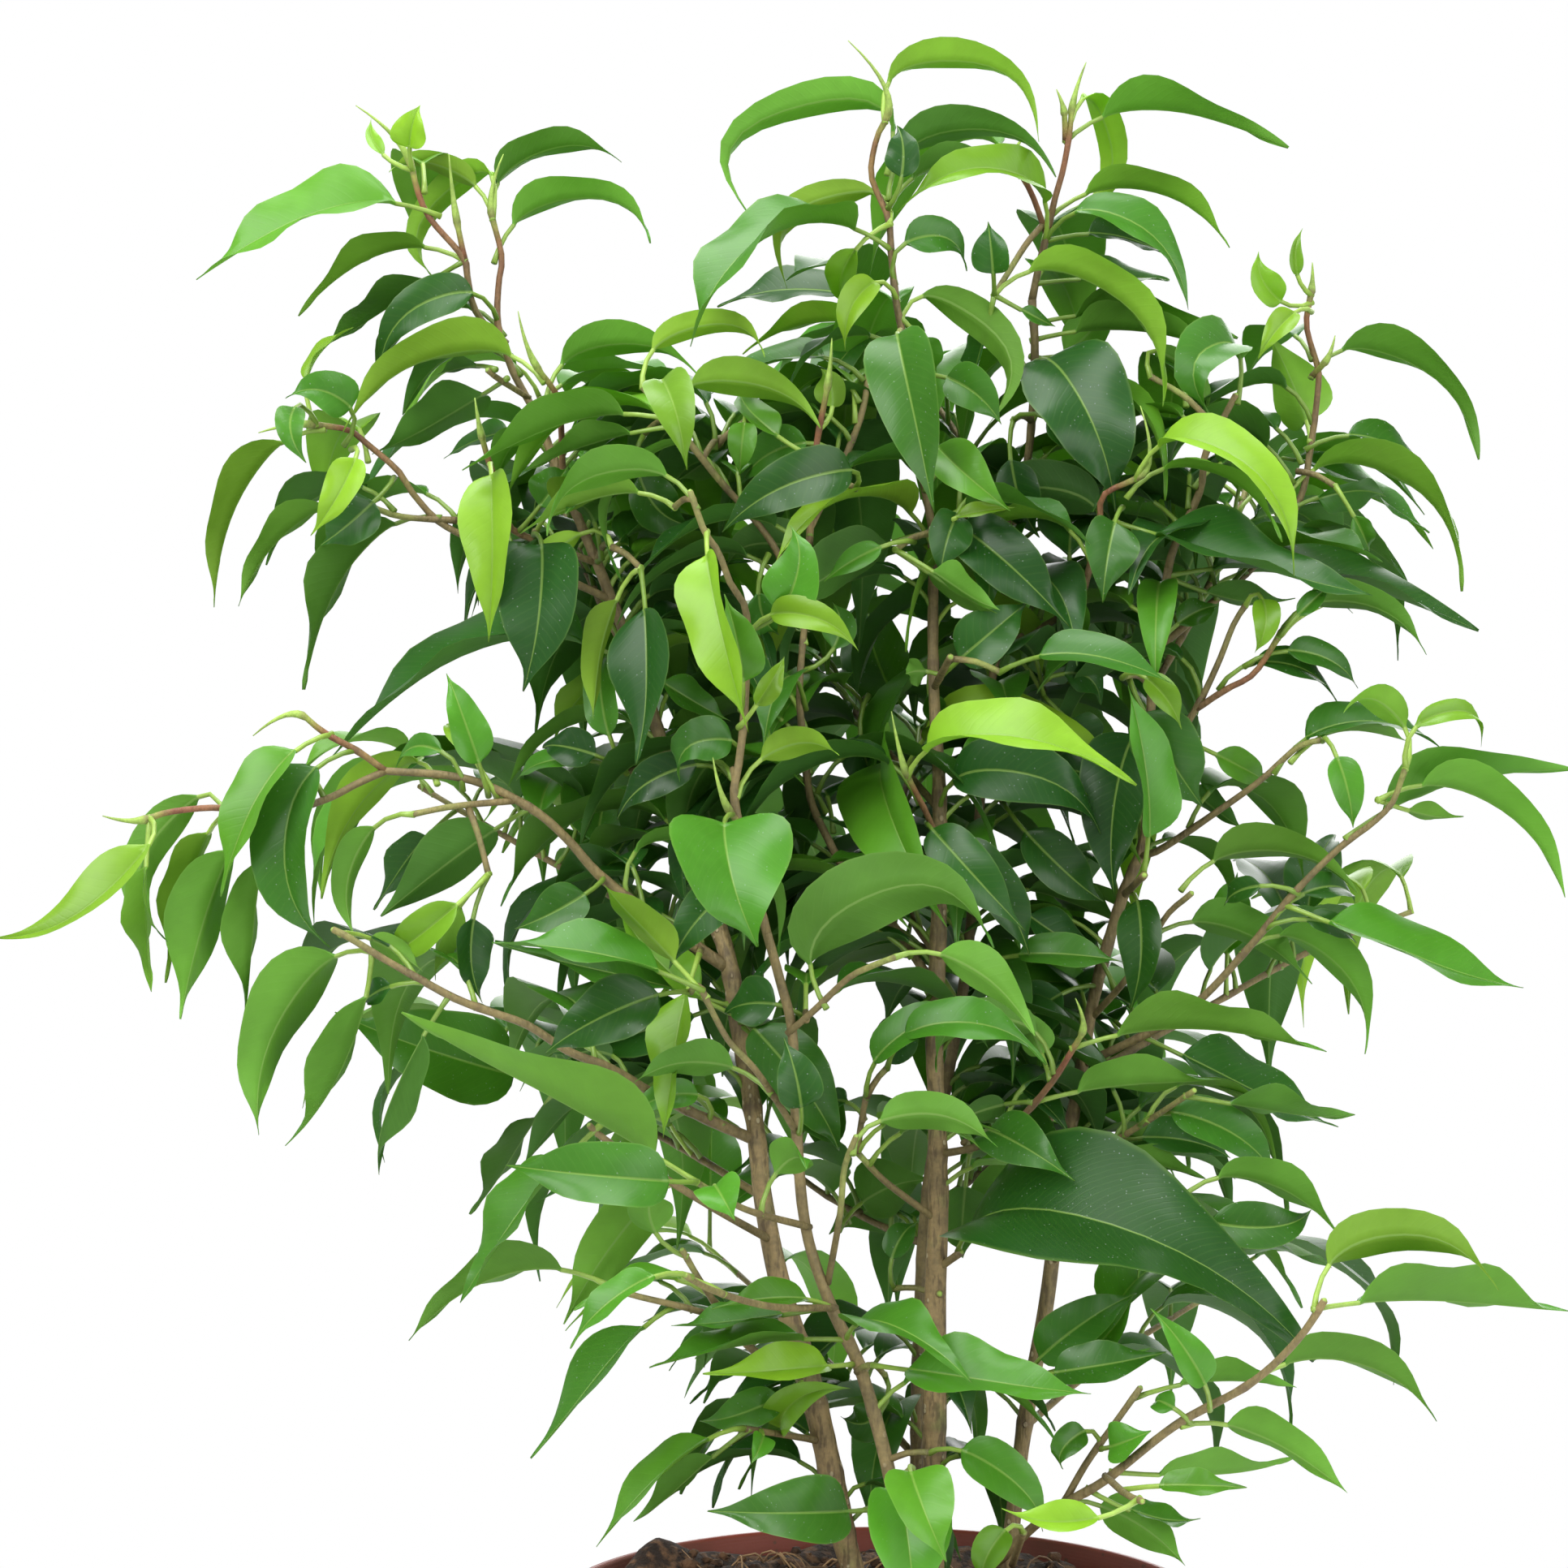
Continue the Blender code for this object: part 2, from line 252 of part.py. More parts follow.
# Leaves read from the front. Each row is: base across and up, crown across and up, tip across and up,
# width seen (below 0 where the underside shows), how far the tip lies behind the base, age from 0 (old,
# dark) to 10 (young, lime), and the base's depth, or ON where it grows on the nearest twig.
SEEN_LEAVES = (
    (-84, 360, -101, 369, -125, 347, 9, -4, 6, ON),
    (-82, 350, -94, 357, -106, 341, -4, 4, 7, ON),
    (-80, 350, -92, 348, -104, 335, -5, 10, 2, ON),
    (-71, 342, -81, 350, -92, 332, 9, -4, 1, ON),
    (-61, 330, -77, 341, -98, 320, -8, -8, 9, ON),
    (-70, 330, -82, 328, -94, 316, -10, 12, 2, ON),
    (-72, 331, -77, 335, -82, 331, -4, 14, 2, ON),
    (-72, 360, -64, 376, -48, 370, -6, 5, 3, ON),
    (-69, 353, -56, 368, -43, 355, -6, -5, 5, ON),
    (-72, 360, -80, 372, -90, 368, -5, -6, 9, ON),
    (-87, 370, -90, 378, -85, 381, 8, -6, 10, ON),
    (-73, 362, -80, 369, -81, 349, -7, 6, 8, ON),
    (-104, 322, -107, 333, -97, 339, 2, 3, 9, ON),
    (-97, 321, -99, 331, -109, 326, 9, -8, 3, ON),
    (-105, 318, -117, 319, -122, 288, -5, 0, 8, ON),
    (-98, 306, -110, 307, -118, 288, -5, 3, 6, ON),
    (-96, 319, -100, 317, -105, 302, 8, -8, 10, ON),
    (-89, 313, -96, 311, -103, 300, 10, -3, 1, ON),
    (-82, 302, -97, 305, -104, 273, -7, -6, 3, ON),
    (-73, 315, -76, 305, -72, 282, 11, -12, 9, ON),
    (-62, 319, -71, 323, -80, 315, 5, 8, 1, ON),
    (-44, 319, -58, 328, -76, 312, -7, -6, 5, ON),
    (-44, 317, -58, 321, -66, 313, -5, 3, 4, ON),
    (-67, 304, -65, 311, -58, 314, 9, 14, 4, 10),
    (-64, 302, -64, 294, -66, 273, 16, -12, 0, -14),
    (-49, 300, -57, 304, -61, 285, -6, -8, 9, -22),
    (-41, 293, -51, 294, -52, 268, -6, -8, 9, -24),
    (-55, 282, -73, 288, -99, 258, 7, -6, 1, -8),
    (-70, 261, -74, 270, -80, 275, 8, -4, 5, ON),
    (-103, 264, -117, 260, -120, 235, 8, -6, 6, ON),
    (-97, 262, -114, 247, -101, 226, 12, -8, 2, ON),
    (-76, 258, -81, 264, -89, 257, 5, 8, 3, ON),
    (-70, 257, -75, 264, -80, 266, 5, 8, 9, ON),
    (-81, 260, -92, 262, -103, 234, -7, 12, 9, ON),
    (-51, 257, -59, 263, -67, 256, 5, 6, 4, -10),
    (-52, 258, -58, 266, -62, 262, 8, 8, 0, 0),
    (-53, 266, -55, 273, -50, 279, 7, 5, 4, -5),
    (-135, 248, -140, 246, -162, 226, 7, -6, 9, ON),
    (-122, 252, -130, 255, -131, 227, -8, -4, 5, ON),
    (-121, 247, -130, 245, -131, 219, -7, 6, 8, ON),
    (-117, 246, -127, 240, -129, 212, -11, -8, 5, ON),
    (-112, 248, -121, 230, -117, 212, -6, 4, 5, ON),
    (-135, 247, -140, 235, -134, 217, 5, 8, 7, ON),
    (-87, 250, -99, 246, -96, 228, -6, -4, 5, ON),
    (-66, 250, -82, 245, -92, 231, -11, -4, 2, ON),
    (-78, 251, -88, 247, -93, 232, 7, 8, 0, ON),
    (-71, 234, -81, 236, -92, 223, 8, 6, 8, -30),
    (-96, 235, -93, 229, -85, 221, -5, 4, 6, -30),
    (-73, 229, -78, 226, -83, 219, -5, 8, 7, -28),
    (-94, 223, -110, 221, -114, 191, -12, -5, 5, ON),
    (-95, 223, -104, 207, -110, 188, -7, 6, 4, ON),
    (-84, 218, -89, 221, -95, 215, 5, 10, 0, ON),
    (-61, 200, -80, 207, -101, 213, 19, -12, 3, ON),
    (-35, 182, -58, 205, -90, 212, -6, -6, 6, ON),
    (-66, 238, -72, 226, -74, 215, 7, 0, 0, -20),
    (-49, 241, -58, 238, -67, 229, 9, -6, 2, -25),
    (-33, 217, -54, 230, -72, 225, 7, -4, 3, ON),
    (-32, 217, -40, 231, -51, 236, -7, -10, 9, ON),
    (-36, 217, -48, 218, -61, 206, 12, -2, 1, -30),
    (-36, 185, -47, 207, -36, 222, 8, -8, 9, ON),
    (-21, 198, -31, 208, -45, 200, -7, -6, 3, ON),
    (-27, 249, -26, 242, -23, 226, 24, -14, 4, ON),
    (-34, 183, -50, 187, -69, 185, 12, -6, 3, ON),
    (-31, 190, -30, 184, -27, 175, 9, -10, 5, -50),
    (-22, 180, -18, 190, -14, 184, -9, -8, 4, -42),
    (-58, 188, -71, 180, -77, 159, 7, -2, 5, -40),
    (-60, 199, -71, 190, -75, 175, -6, 8, 2, ON),
    (-80, 215, -88, 192, -94, 183, -4, 4, 2, ON),
    (-51, 164, -70, 170, -87, 152, -6, -4, 5, ON),
    (-44, 176, -52, 173, -58, 156, -12, 4, 6, -30),
    (-37, 168, -38, 175, -41, 182, -9, 4, 4, ON),
    (-35, 165, -47, 166, -57, 151, 5, -6, 5, ON),
    (-38, 157, -49, 157, -63, 130, 6, -8, 3, ON),
    (-7, 152, -28, 156, -43, 147, 4, -2, 4, ON),
    (-10, 157, -28, 160, -39, 155, 5, 6, 3, ON),
    (-9, 157, -22, 164, -31, 158, 6, -12, 6, ON),
    (-3, 149, -19, 152, -33, 146, 8, -14, 9, ON),
    (-13, 143, -26, 143, -33, 138, 8, -4, 4, ON),
    (-12, 136, -20, 142, -6, 143, 8, -12, 8, ON),
    (-22, 137, -20, 133, -24, 130, 5, -8, 5, ON),
    (-26, 136, -36, 137, -52, 114, 5, -8, 6, ON),
    (-25, 136, -37, 131, -45, 118, -5, 4, 3, ON),
    (-4, 121, -19, 124, -31, 121, 13, -12, 3, -40),
    (5, 127, 6, 120, 6, 103, 16, -14, 5, -48),
    (8, 132, 10, 125, 12, 112, 13, -16, 6, -52),
    (14, 133, 23, 133, 29, 119, 10, -12, 5, -30),
    (1, 378, 11, 393, 27, 374, -6, -4, 8, ON),
    (-2, 369, -14, 385, -20, 358, -7, -4, 5, ON),
    (0, 359, -6, 368, -15, 348, -7, -6, 9, ON),
    (-7, 354, -22, 363, -33, 335, 6, -6, 4, ON),
    (-5, 349, -19, 351, -30, 343, 7, 4, 0, ON),
    (-8, 358, -9, 353, -6, 345, 7, 8, 8, ON),
    (3, 348, 6, 360, 15, 350, 8, 4, 2, ON),
    (2, 345, -4, 350, -6, 336, 7, -8, 10, ON),
    (2, 338, -15, 344, -24, 334, -5, -4, 9, ON),
    (-46, 332, -35, 343, -22, 334, -6, -4, 9, ON),
    (-55, 328, -49, 341, -35, 330, -7, 4, 5, ON),
    (-40, 325, -40, 333, -36, 314, 10, -12, 8, ON),
    (-3, 331, -10, 338, -31, 327, 5, 6, 2, ON),
    (4, 335, 3, 330, 10, 308, 15, -10, 3, ON),
    (5, 340, 16, 347, 18, 323, -8, -5, 6, ON),
    (13, 341, 15, 335, 15, 325, 5, 10, 0, 5),
    (6, 342, 9, 340, 10, 332, 6, 6, 4, ON),
    (-37, 328, -24, 334, -13, 321, -8, -3, 8, ON),
    (-11, 321, -12, 327, -11, 332, -7, -4, 8, ON),
    (-12, 316, -20, 325, -26, 328, 6, 8, 6, ON),
    (-35, 307, -48, 318, -61, 301, -7, -8, 4, ON),
    (-40, 306, -49, 313, -66, 301, -5, 5, 7, -25),
    (-46, 319, -41, 314, -35, 304, 10, 8, 2, -5),
    (-33, 301, -36, 288, -24, 265, 10, -12, 9, ON),
    (-16, 287, -19, 296, -17, 303, 11, -6, 4, -30),
    (-25, 270, -22, 281, -29, 290, 9, -8, 6, ON),
    (-18, 282, -13, 290, -5, 280, 7, -8, 9, -38),
    (-20, 265, -19, 272, -18, 279, 5, -3, 9, -35),
    (-40, 286, -48, 280, -44, 259, 11, -6, 0, -22),
    (-42, 278, -35, 275, -28, 267, 6, 6, 3, -12),
    (0, 309, -7, 317, -29, 302, 11, -6, 1, -18),
    (9, 302, 0, 304, -17, 288, -11, -4, 2, -12),
    (7, 302, 15, 307, 25, 306, 3, -6, 9, -10),
    (-1, 297, 8, 299, 21, 287, -6, -4, 4, -14),
    (8, 267, -2, 278, 0, 292, 15, 6, 0, ON),
    (-10, 276, -11, 283, -9, 289, 7, 4, 3, 0),
    (-24, 253, -20, 265, -9, 260, -7, -8, 9, ON),
    (-28, 257, -38, 262, -48, 249, 8, 0, 0, -8),
    (3, 258, 0, 250, 13, 229, 17, -14, 6, ON),
    (2, 364, 16, 381, 30, 367, -7, 4, 2, ON),
    (2, 363, 1, 370, 3, 377, 7, 6, 0, ON),
    (3, 363, 13, 374, 23, 370, -5, 8, 3, ON),
    (30, 356, 25, 373, 4, 360, 7, -6, 8, ON),
    (35, 374, 48, 385, 74, 371, -5, -3, 4, ON),
    (35, 374, 43, 381, 34, 363, -7, 5, 9, ON),
    (31, 360, 51, 369, 64, 354, -4, 3, 7, ON),
    (32, 356, 44, 365, 55, 343, 7, -4, 3, ON),
    (33, 355, 44, 360, 53, 352, 5, 6, 1, ON),
    (22, 346, 39, 354, 51, 325, -7, -8, 8, ON),
    (34, 334, 36, 342, 42, 348, -9, 2, 4, ON),
    (30, 340, 52, 346, 65, 336, -5, -2, 4, ON),
    (30, 338, 53, 343, 62, 334, -5, 8, 5, ON),
    (31, 348, 49, 352, 53, 348, 4, 10, 2, ON),
    (21, 346, 17, 353, 20, 359, 8, -6, 1, ON),
    (21, 345, 26, 345, 32, 340, 3, 6, 3, ON),
    (26, 333, 37, 330, 43, 306, 20, -12, 0, ON),
    (46, 334, 53, 337, 60, 323, -5, 6, 5, 2),
    (62, 328, 61, 340, 62, 323, 12, -6, 3, ON),
    (78, 343, 73, 343, 70, 334, 6, -8, 10, ON),
    (79, 344, 74, 349, 70, 354, 7, -5, 8, ON),
    (81, 331, 93, 340, 110, 315, -6, -3, 4, ON),
    (80, 319, 79, 330, 72, 338, -13, 8, 7, ON),
    (79, 317, 90, 323, 102, 311, 5, 6, 2, ON),
    (77, 307, 93, 318, 105, 291, -5, -4, 7, ON),
    (70, 316, 82, 318, 101, 301, 5, -3, 2, ON),
    (77, 303, 86, 306, 93, 309, 7, 10, 2, ON),
    (88, 309, 90, 305, 90, 299, 5, 6, 5, 8),
    (47, 312, 63, 323, 75, 294, 8, -12, 9, ON),
    (46, 302, 59, 306, 91, 289, 8, -10, 1, ON),
    (55, 293, 81, 302, 110, 282, 9, -6, 1, ON),
    (55, 293, 66, 293, 77, 289, -5, 4, 2, ON),
    (67, 291, 72, 292, 69, 280, 6, -6, 8, ON),
    (76, 287, 87, 293, 99, 279, -6, -4, 4, ON),
    (75, 286, 79, 291, 82, 291, 4, 5, 3, ON),
    (69, 276, 79, 283, 87, 273, 6, 4, 2, ON),
    (62, 273, 72, 281, 84, 270, 5, -4, 1, ON),
    (72, 258, 86, 271, 103, 261, 6, 3, 2, ON),
    (82, 264, 86, 264, 87, 248, 7, -4, 5, ON),
    (97, 258, 97, 271, 86, 268, -7, -6, 7, ON),
    (97, 259, 104, 271, 110, 262, 5, 5, 8, ON),
    (86, 246, 111, 263, 128, 256, -8, 3, 3, ON),
    (95, 251, 112, 258, 126, 234, -6, -5, 5, ON),
    (95, 251, 102, 252, 108, 249, -4, 6, 6, ON),
    (58, 235, 71, 248, 88, 235, -7, -5, 6, ON),
    (76, 236, 70, 239, 64, 233, 5, 8, 1, ON),
    (72, 230, 80, 239, 87, 233, 6, 10, 1, ON),
    (77, 232, 91, 234, 118, 216, 9, -3, 5, -4),
    (11, 320, 16, 318, 24, 306, 10, -12, 6, -14),
    (23, 323, 28, 316, 29, 302, 9, 6, 0, 2),
    (22, 322, 31, 327, 39, 315, 8, -2, 1, 4),
    (24, 305, 32, 313, 42, 303, 8, 3, 1, 8),
    (22, 303, 17, 302, 11, 294, 9, -3, 1, -4),
    (46, 305, 46, 299, 41, 289, 11, -10, 2, -8),
    (14, 272, 14, 283, 27, 289, 11, -4, 1, -3),
    (30, 292, 33, 289, 36, 282, 6, -3, 6, 4),
    (44, 282, 53, 287, 62, 288, 6, 2, 3, 4),
    (27, 275, 38, 284, 53, 273, 7, -6, 2, -14),
    (43, 276, 51, 277, 55, 266, 6, -6, 8, -10),
    (43, 273, 53, 266, 59, 252, 14, 2, 2, -2),
    (53, 239, 55, 256, 45, 274, 9, -8, 4, -6),
    (5, 258, 17, 273, 47, 254, 7, -10, 10, ON),
    (10, 254, 15, 262, 20, 265, 7, 6, 4, -6),
    (47, 252, 40, 261, 31, 258, 10, 3, 0, 4),
    (54, 224, 64, 234, 78, 218, -8, -6, 3, ON),
    (68, 224, 84, 228, 88, 206, -7, -4, 4, ON),
    (70, 230, 78, 233, 85, 226, 5, 4, 1, ON),
    (-11, 216, -4, 236, 19, 224, -15, -6, 4, ON),
    (3, 224, 16, 227, 27, 209, -8, -6, 5, ON),
    (-10, 188, -2, 197, 21, 188, -8, -6, 5, ON),
    (-2, 202, 4, 214, 18, 212, 7, -3, 3, -20),
    (28, 204, 19, 216, 12, 202, -8, -6, 3, -22),
    (27, 203, 31, 211, 26, 214, -7, 5, 4, -18),
    (16, 167, 39, 178, 79, 148, 24, -14, 0, -8),
    (27, 146, 36, 154, 47, 161, 8, -4, 3, -16),
    (28, 147, 38, 152, 50, 151, 7, -6, 4, -20),
    (1, 149, 17, 151, 39, 142, 11, -14, 5, -36),
    (-5, 154, 6, 160, 16, 144, 9, -14, 4, ON),
    (2, 146, -2, 143, -7, 139, 8, 6, 2, -6),
    (37, 136, 34, 137, 34, 129, 6, -4, 4, ON),
    (42, 132, 45, 138, 50, 136, 8, -5, 4, ON),
    (57, 137, 54, 143, 51, 141, 5, 4, 3, ON),
    (59, 144, 59, 153, 50, 158, 7, -6, 5, -38),
    (49, 141, 65, 149, 77, 143, -4, 4, 4, -34),
    (82, 156, 94, 177, 112, 161, -9, -6, 8, ON),
    (82, 157, 102, 167, 128, 157, -7, 4, 5, ON),
    (69, 142, 90, 153, 102, 137, -6, -4, 5, ON),
    (58, 132, 68, 141, 86, 124, -7, -4, 5, ON),
    (43, 128, 60, 132, 77, 130, -4, 3, 4, ON),
    (42, 122, 55, 129, 67, 125, 5, -4, 6, ON),
    (40, 123, 50, 123, 59, 119, 4, 4, 4, ON),
    (31, 124, 39, 127, 56, 111, -9, -8, 4, ON),
    (46, 119, 36, 123, 22, 121, 6, -4, 9, ON),
    (19, 126, 20, 119, 19, 108, 7, -6, 7, -34),
    (37, 206, 62, 216, 82, 204, -6, -3, 6, ON),
    (28, 196, 45, 205, 63, 200, -7, -6, 5, ON),
    (49, 205, 67, 206, 84, 191, 10, 2, 1, 0),
    (58, 196, 75, 199, 88, 193, -5, 4, 3, ON),
    (47, 195, 60, 198, 72, 182, 9, -6, 2, ON),
    (55, 180, 68, 187, 85, 170, -6, -4, 4, ON),
    (56, 174, 69, 178, 79, 177, 9, 3, 2, ON),
    (56, 170, 73, 168, 84, 167, 3, 6, 3, ON),
    (36, 184, 48, 189, 60, 182, -5, 3, 5, -8),
    (20, 189, 28, 192, 36, 182, 11, -8, 2, ON),
    (-9, 172, -1, 183, 8, 182, -13, 4, 3, 12),
    (30, 185, 20, 181, 16, 170, -13, 4, 4, 8),
    (-2, 163, 0, 170, 7, 174, 6, 3, 2, 6),
    (-10, 189, -11, 200, -18, 208, 9, 3, 1, -20),
    (18, 258, 24, 265, 32, 256, 10, 4, 0, 8),
    (13, 252, 23, 261, 40, 246, 13, -6, 0, ON),
    (45, 267, 42, 255, 42, 236, 15, -8, 0, ON),
    (25, 249, 33, 246, 41, 234, 10, 2, 1, 4),
    (22, 236, 31, 239, 47, 228, -5, 2, 2, 4),
    (10, 243, 17, 247, 27, 223, 9, -6, 1, ON),
    (28, 235, 33, 232, 42, 222, 7, 4, 0, 8),
    (36, 234, 44, 231, 46, 214, 9, -4, 1, ON),
    (23, 219, 31, 223, 42, 220, 7, 6, 4, ON),
    (24, 222, 33, 228, 44, 222, 7, -4, 3, 0),
    (30, 272, 36, 271, 41, 263, 8, 6, 1, 6),
    (16, 300, 21, 303, 34, 285, 12, -8, 0, ON),
    (6, 299, -2, 301, -10, 293, 5, 6, 5, ON),
    (4, 299, 6, 293, 9, 286, 9, 10, 1, 12),
    (-22, 297, -19, 291, -19, 284, 8, 8, 2, ON),
    (-2, 273, 0, 266, 2, 256, 10, 8, 0, 12),
    (24, 272, 31, 279, 40, 270, 8, 2, 1, 8),
    (15, 278, 11, 275, 12, 267, 5, 4, 3, 4),
    (41, 301, 31, 314, 17, 302, -11, -2, 1, 6),
    (-13, 292, -22, 304, -28, 295, -10, 6, 2, 4),
    (-27, 321, -33, 320, -37, 312, -9, 6, 3, 4),
    (-11, 317, -18, 322, -25, 310, 9, 2, 3, 4),
    (-21, 326, -25, 326, -26, 313, 6, -4, 6, -8),
    (-41, 299, -46, 301, -50, 297, 4, 4, 1, 4),
    (58, 262, 63, 264, 71, 256, 7, 4, 6, 4),
    (54, 257, 60, 256, 67, 247, -5, 4, 1, 8),
    (38, 218, 30, 219, 25, 207, 11, 4, 0, 14),
    (27, 197, 20, 198, 14, 193, -5, 4, 2, 0),
    (38, 190, 50, 194, 64, 186, 7, 4, 1, 2),
    (-14, 212, -20, 219, -28, 213, 10, 6, 1, -8),
    (-31, 210, -17, 207, -8, 188, 12, 2, 2, -12),
    (-45, 206, -52, 208, -58, 204, -4, 4, 1, -18),
    (-30, 196, -36, 201, -46, 193, 6, -2, 4, -26),
    (-3, 194, -6, 199, -9, 195, 5, 6, 0, 6),
    (8, 214, 2, 214, 2, 204, 9, 4, 0, 6),
    (-9, 234, -15, 233, -21, 227, -5, 5, 2, -6),
    (-87, 370, -91, 373, -94, 378, 3, 5, 8, ON),
    (-104, 322, -110, 327, -106, 315, 6, -8, 4, ON),
    (79, 347, 78, 353, 78, 358, 3, -5, 8, ON),
)


def unit(vector):
    """The vector at length 1."""
    return vector / np.linalg.norm(vector)


def placed(across, up, behind):
    """The point `behind` the upright plane that hides (across, up) on it."""
    return EYE + (np.array((across, 0.0, up)) - EYE) * (behind - EYE[1]) / -EYE[1]


def quadratic(end, crown, way):
    """Nine points on the near-circular arc that leaves the crown along `way` and reaches the end."""
    span = end - crown
    reach = np.linalg.norm(span)
    bend = max(0.45, way @ span / reach)
    knee = crown + way * reach / (2 * bend)
    t = np.linspace(0, 1, 9)[:, None]
    return (1 - t) ** 2 * crown + 2 * t * (1 - t) * knee + t**2 * end


def as_seen(points):
    """Where points appear on the upright plane, as (across, up)."""
    return (EYE + (points - EYE) * (-EYE[1] / (points[..., 1:2] - EYE[1])))[..., [0, 2]]


def inside(spot, outline):
    """Whether a flat point lies inside a closed outline."""
    x, y = np.array(outline, float).T
    next_x, next_y = np.roll(x, -1), np.roll(y, -1)
    level = (y > spot[1]) != (next_y > spot[1])
    crossing = x[level] + (spot[1] - y[level]) * (next_x - x)[level] / (next_y - y)[level]
    return (crossing > spot[0]).sum() % 2 == 1


def real_radius(routed):
    """The wood's radius for a radius, or radii, of its route."""
    return np.interp(routed, ROUTED_RADII, REAL_RADII)


def smooth_path(points, step):
    """Points about `step` apart on the Catmull-Rom curve through the given ones."""
    points = np.asarray(points, float)
    ends = np.vstack((2 * points[0] - points[1], points, 2 * points[-1] - points[-2]))
    t = np.linspace(0, 1, 12, endpoint=False)[:, None]
    pieces = []
    for a, b, c, d in zip(ends, ends[1:], ends[2:], ends[3:]):
        cubic = 2 * b + (c - a) * t + (2 * a - 5 * b + 4 * c - d) * t**2 + (3 * b - a - 3 * c + d) * t**3
        pieces.append(0.5 * cubic)
    dense = np.vstack((*pieces, points[-1]))
    along = np.concatenate(((0,), np.cumsum(np.linalg.norm(np.diff(dense, axis=0), axis=1))))
    stops = np.linspace(0, along[-1], max(2, int(round(along[-1] / step)) + 1))
    return np.column_stack([np.interp(stops, along, dense[:, axis]) for axis in range(3)])


def lofted(rings, tip=None):
    """Points and triangles of the closed solid through rings of equal count, ending in a tip point."""
    count = len(rings[0])
    points = [point for ring in rings for point in ring]
    faces = [(0, k + 1, k) for k in range(1, count - 1)]
    for start in range(0, count * (len(rings) - 1), count):
        for k in range(count):
            a, b = start + k, start + (k + 1) % count
            faces += [(a, b, b + count), (a, b + count, a + count)]
    last = count * (len(rings) - 1)
    if tip is None:
        faces += [(last, last + k, last + k + 1) for k in range(1, count - 1)]
    else:
        points.append(tip)
        faces += [(last + k, last + (k + 1) % count, len(points) - 1) for k in range(count)]
    return np.array(points), faces


def flat_outward(root, crown, tip):
    """The side to which a flat arc bulges at its crown: at right angles to it, and upwards if straight."""
    way = unit(unit(crown - root + 1e-6) + unit(tip - crown + 1e-6) + 1e-9)
    side = np.array((-way[1], way[0]))
    bulge = side @ (crown - (root + tip) / 2)
    if abs(bulge) < 1.0:
        bulge = side[1]
    return side if bulge > 0 else -side


class Twig:
    """A piece of wood: the points and radii of its line, and the spots where leaves may grow on it."""

    def __init__(self, stem, points, thick, thin, spike=None, sides=4):
        self.stem = stem
        self.points = points
        self.sides = sides
        self.spike = spike
        self.radii = np.linspace(thick, thin, len(points))
        lengths = np.linalg.norm(np.diff(points, axis=0), axis=1)
        self.along = np.concatenate(((0,), np.cumsum(lengths)))
        self.length = self.along[-1]
        stops = np.linspace(0, self.length, max(2, int(self.length / SPOT_STEP)))
        self.spots = self.at(stops)
        self.seen = as_seen(self.spots)
        self.spot_radii = np.interp(stops, self.along, self.radii)

    def at(self, distance):
        """The point, or points, at a distance along the twig."""
        return np.column_stack([np.interp(distance, self.along, self.points[:, k]) for k in range(3)])

    def cut_at(self, distance):
        """Shorten the twig to a length."""
        kept = self.along < distance - 1.0
        thin = np.interp(distance, self.along, self.radii)
        self.points = np.vstack((self.points[kept], self.at([distance])))
        self.radii = np.append(self.radii[kept], thin)

    def direction(self, distance):
        """The way the twig grows at a distance along it."""
        ends = self.at(np.clip((distance - 2, distance + 2), 0, self.length))
        return unit(ends[1] - ends[0])

    def tube(self, margin):
        """A four-sided tube round the twig, for testing what is clear of it."""
        rings = []
        for k, (point, radius) in enumerate(zip(self.points, self.radii)):
            way = unit(self.points[min(k + 1, len(self.points) - 1)] - self.points[max(k - 1, 0)])
            side = unit(np.cross(way, (0.3, 0.5, 0.8)))
            other = np.cross(way, side)
            rings.append([point + (radius * 1.2 + margin) * step for step in (side, other, -side, -other)])
        return lofted(rings, None if self.spike is None else self.spike)


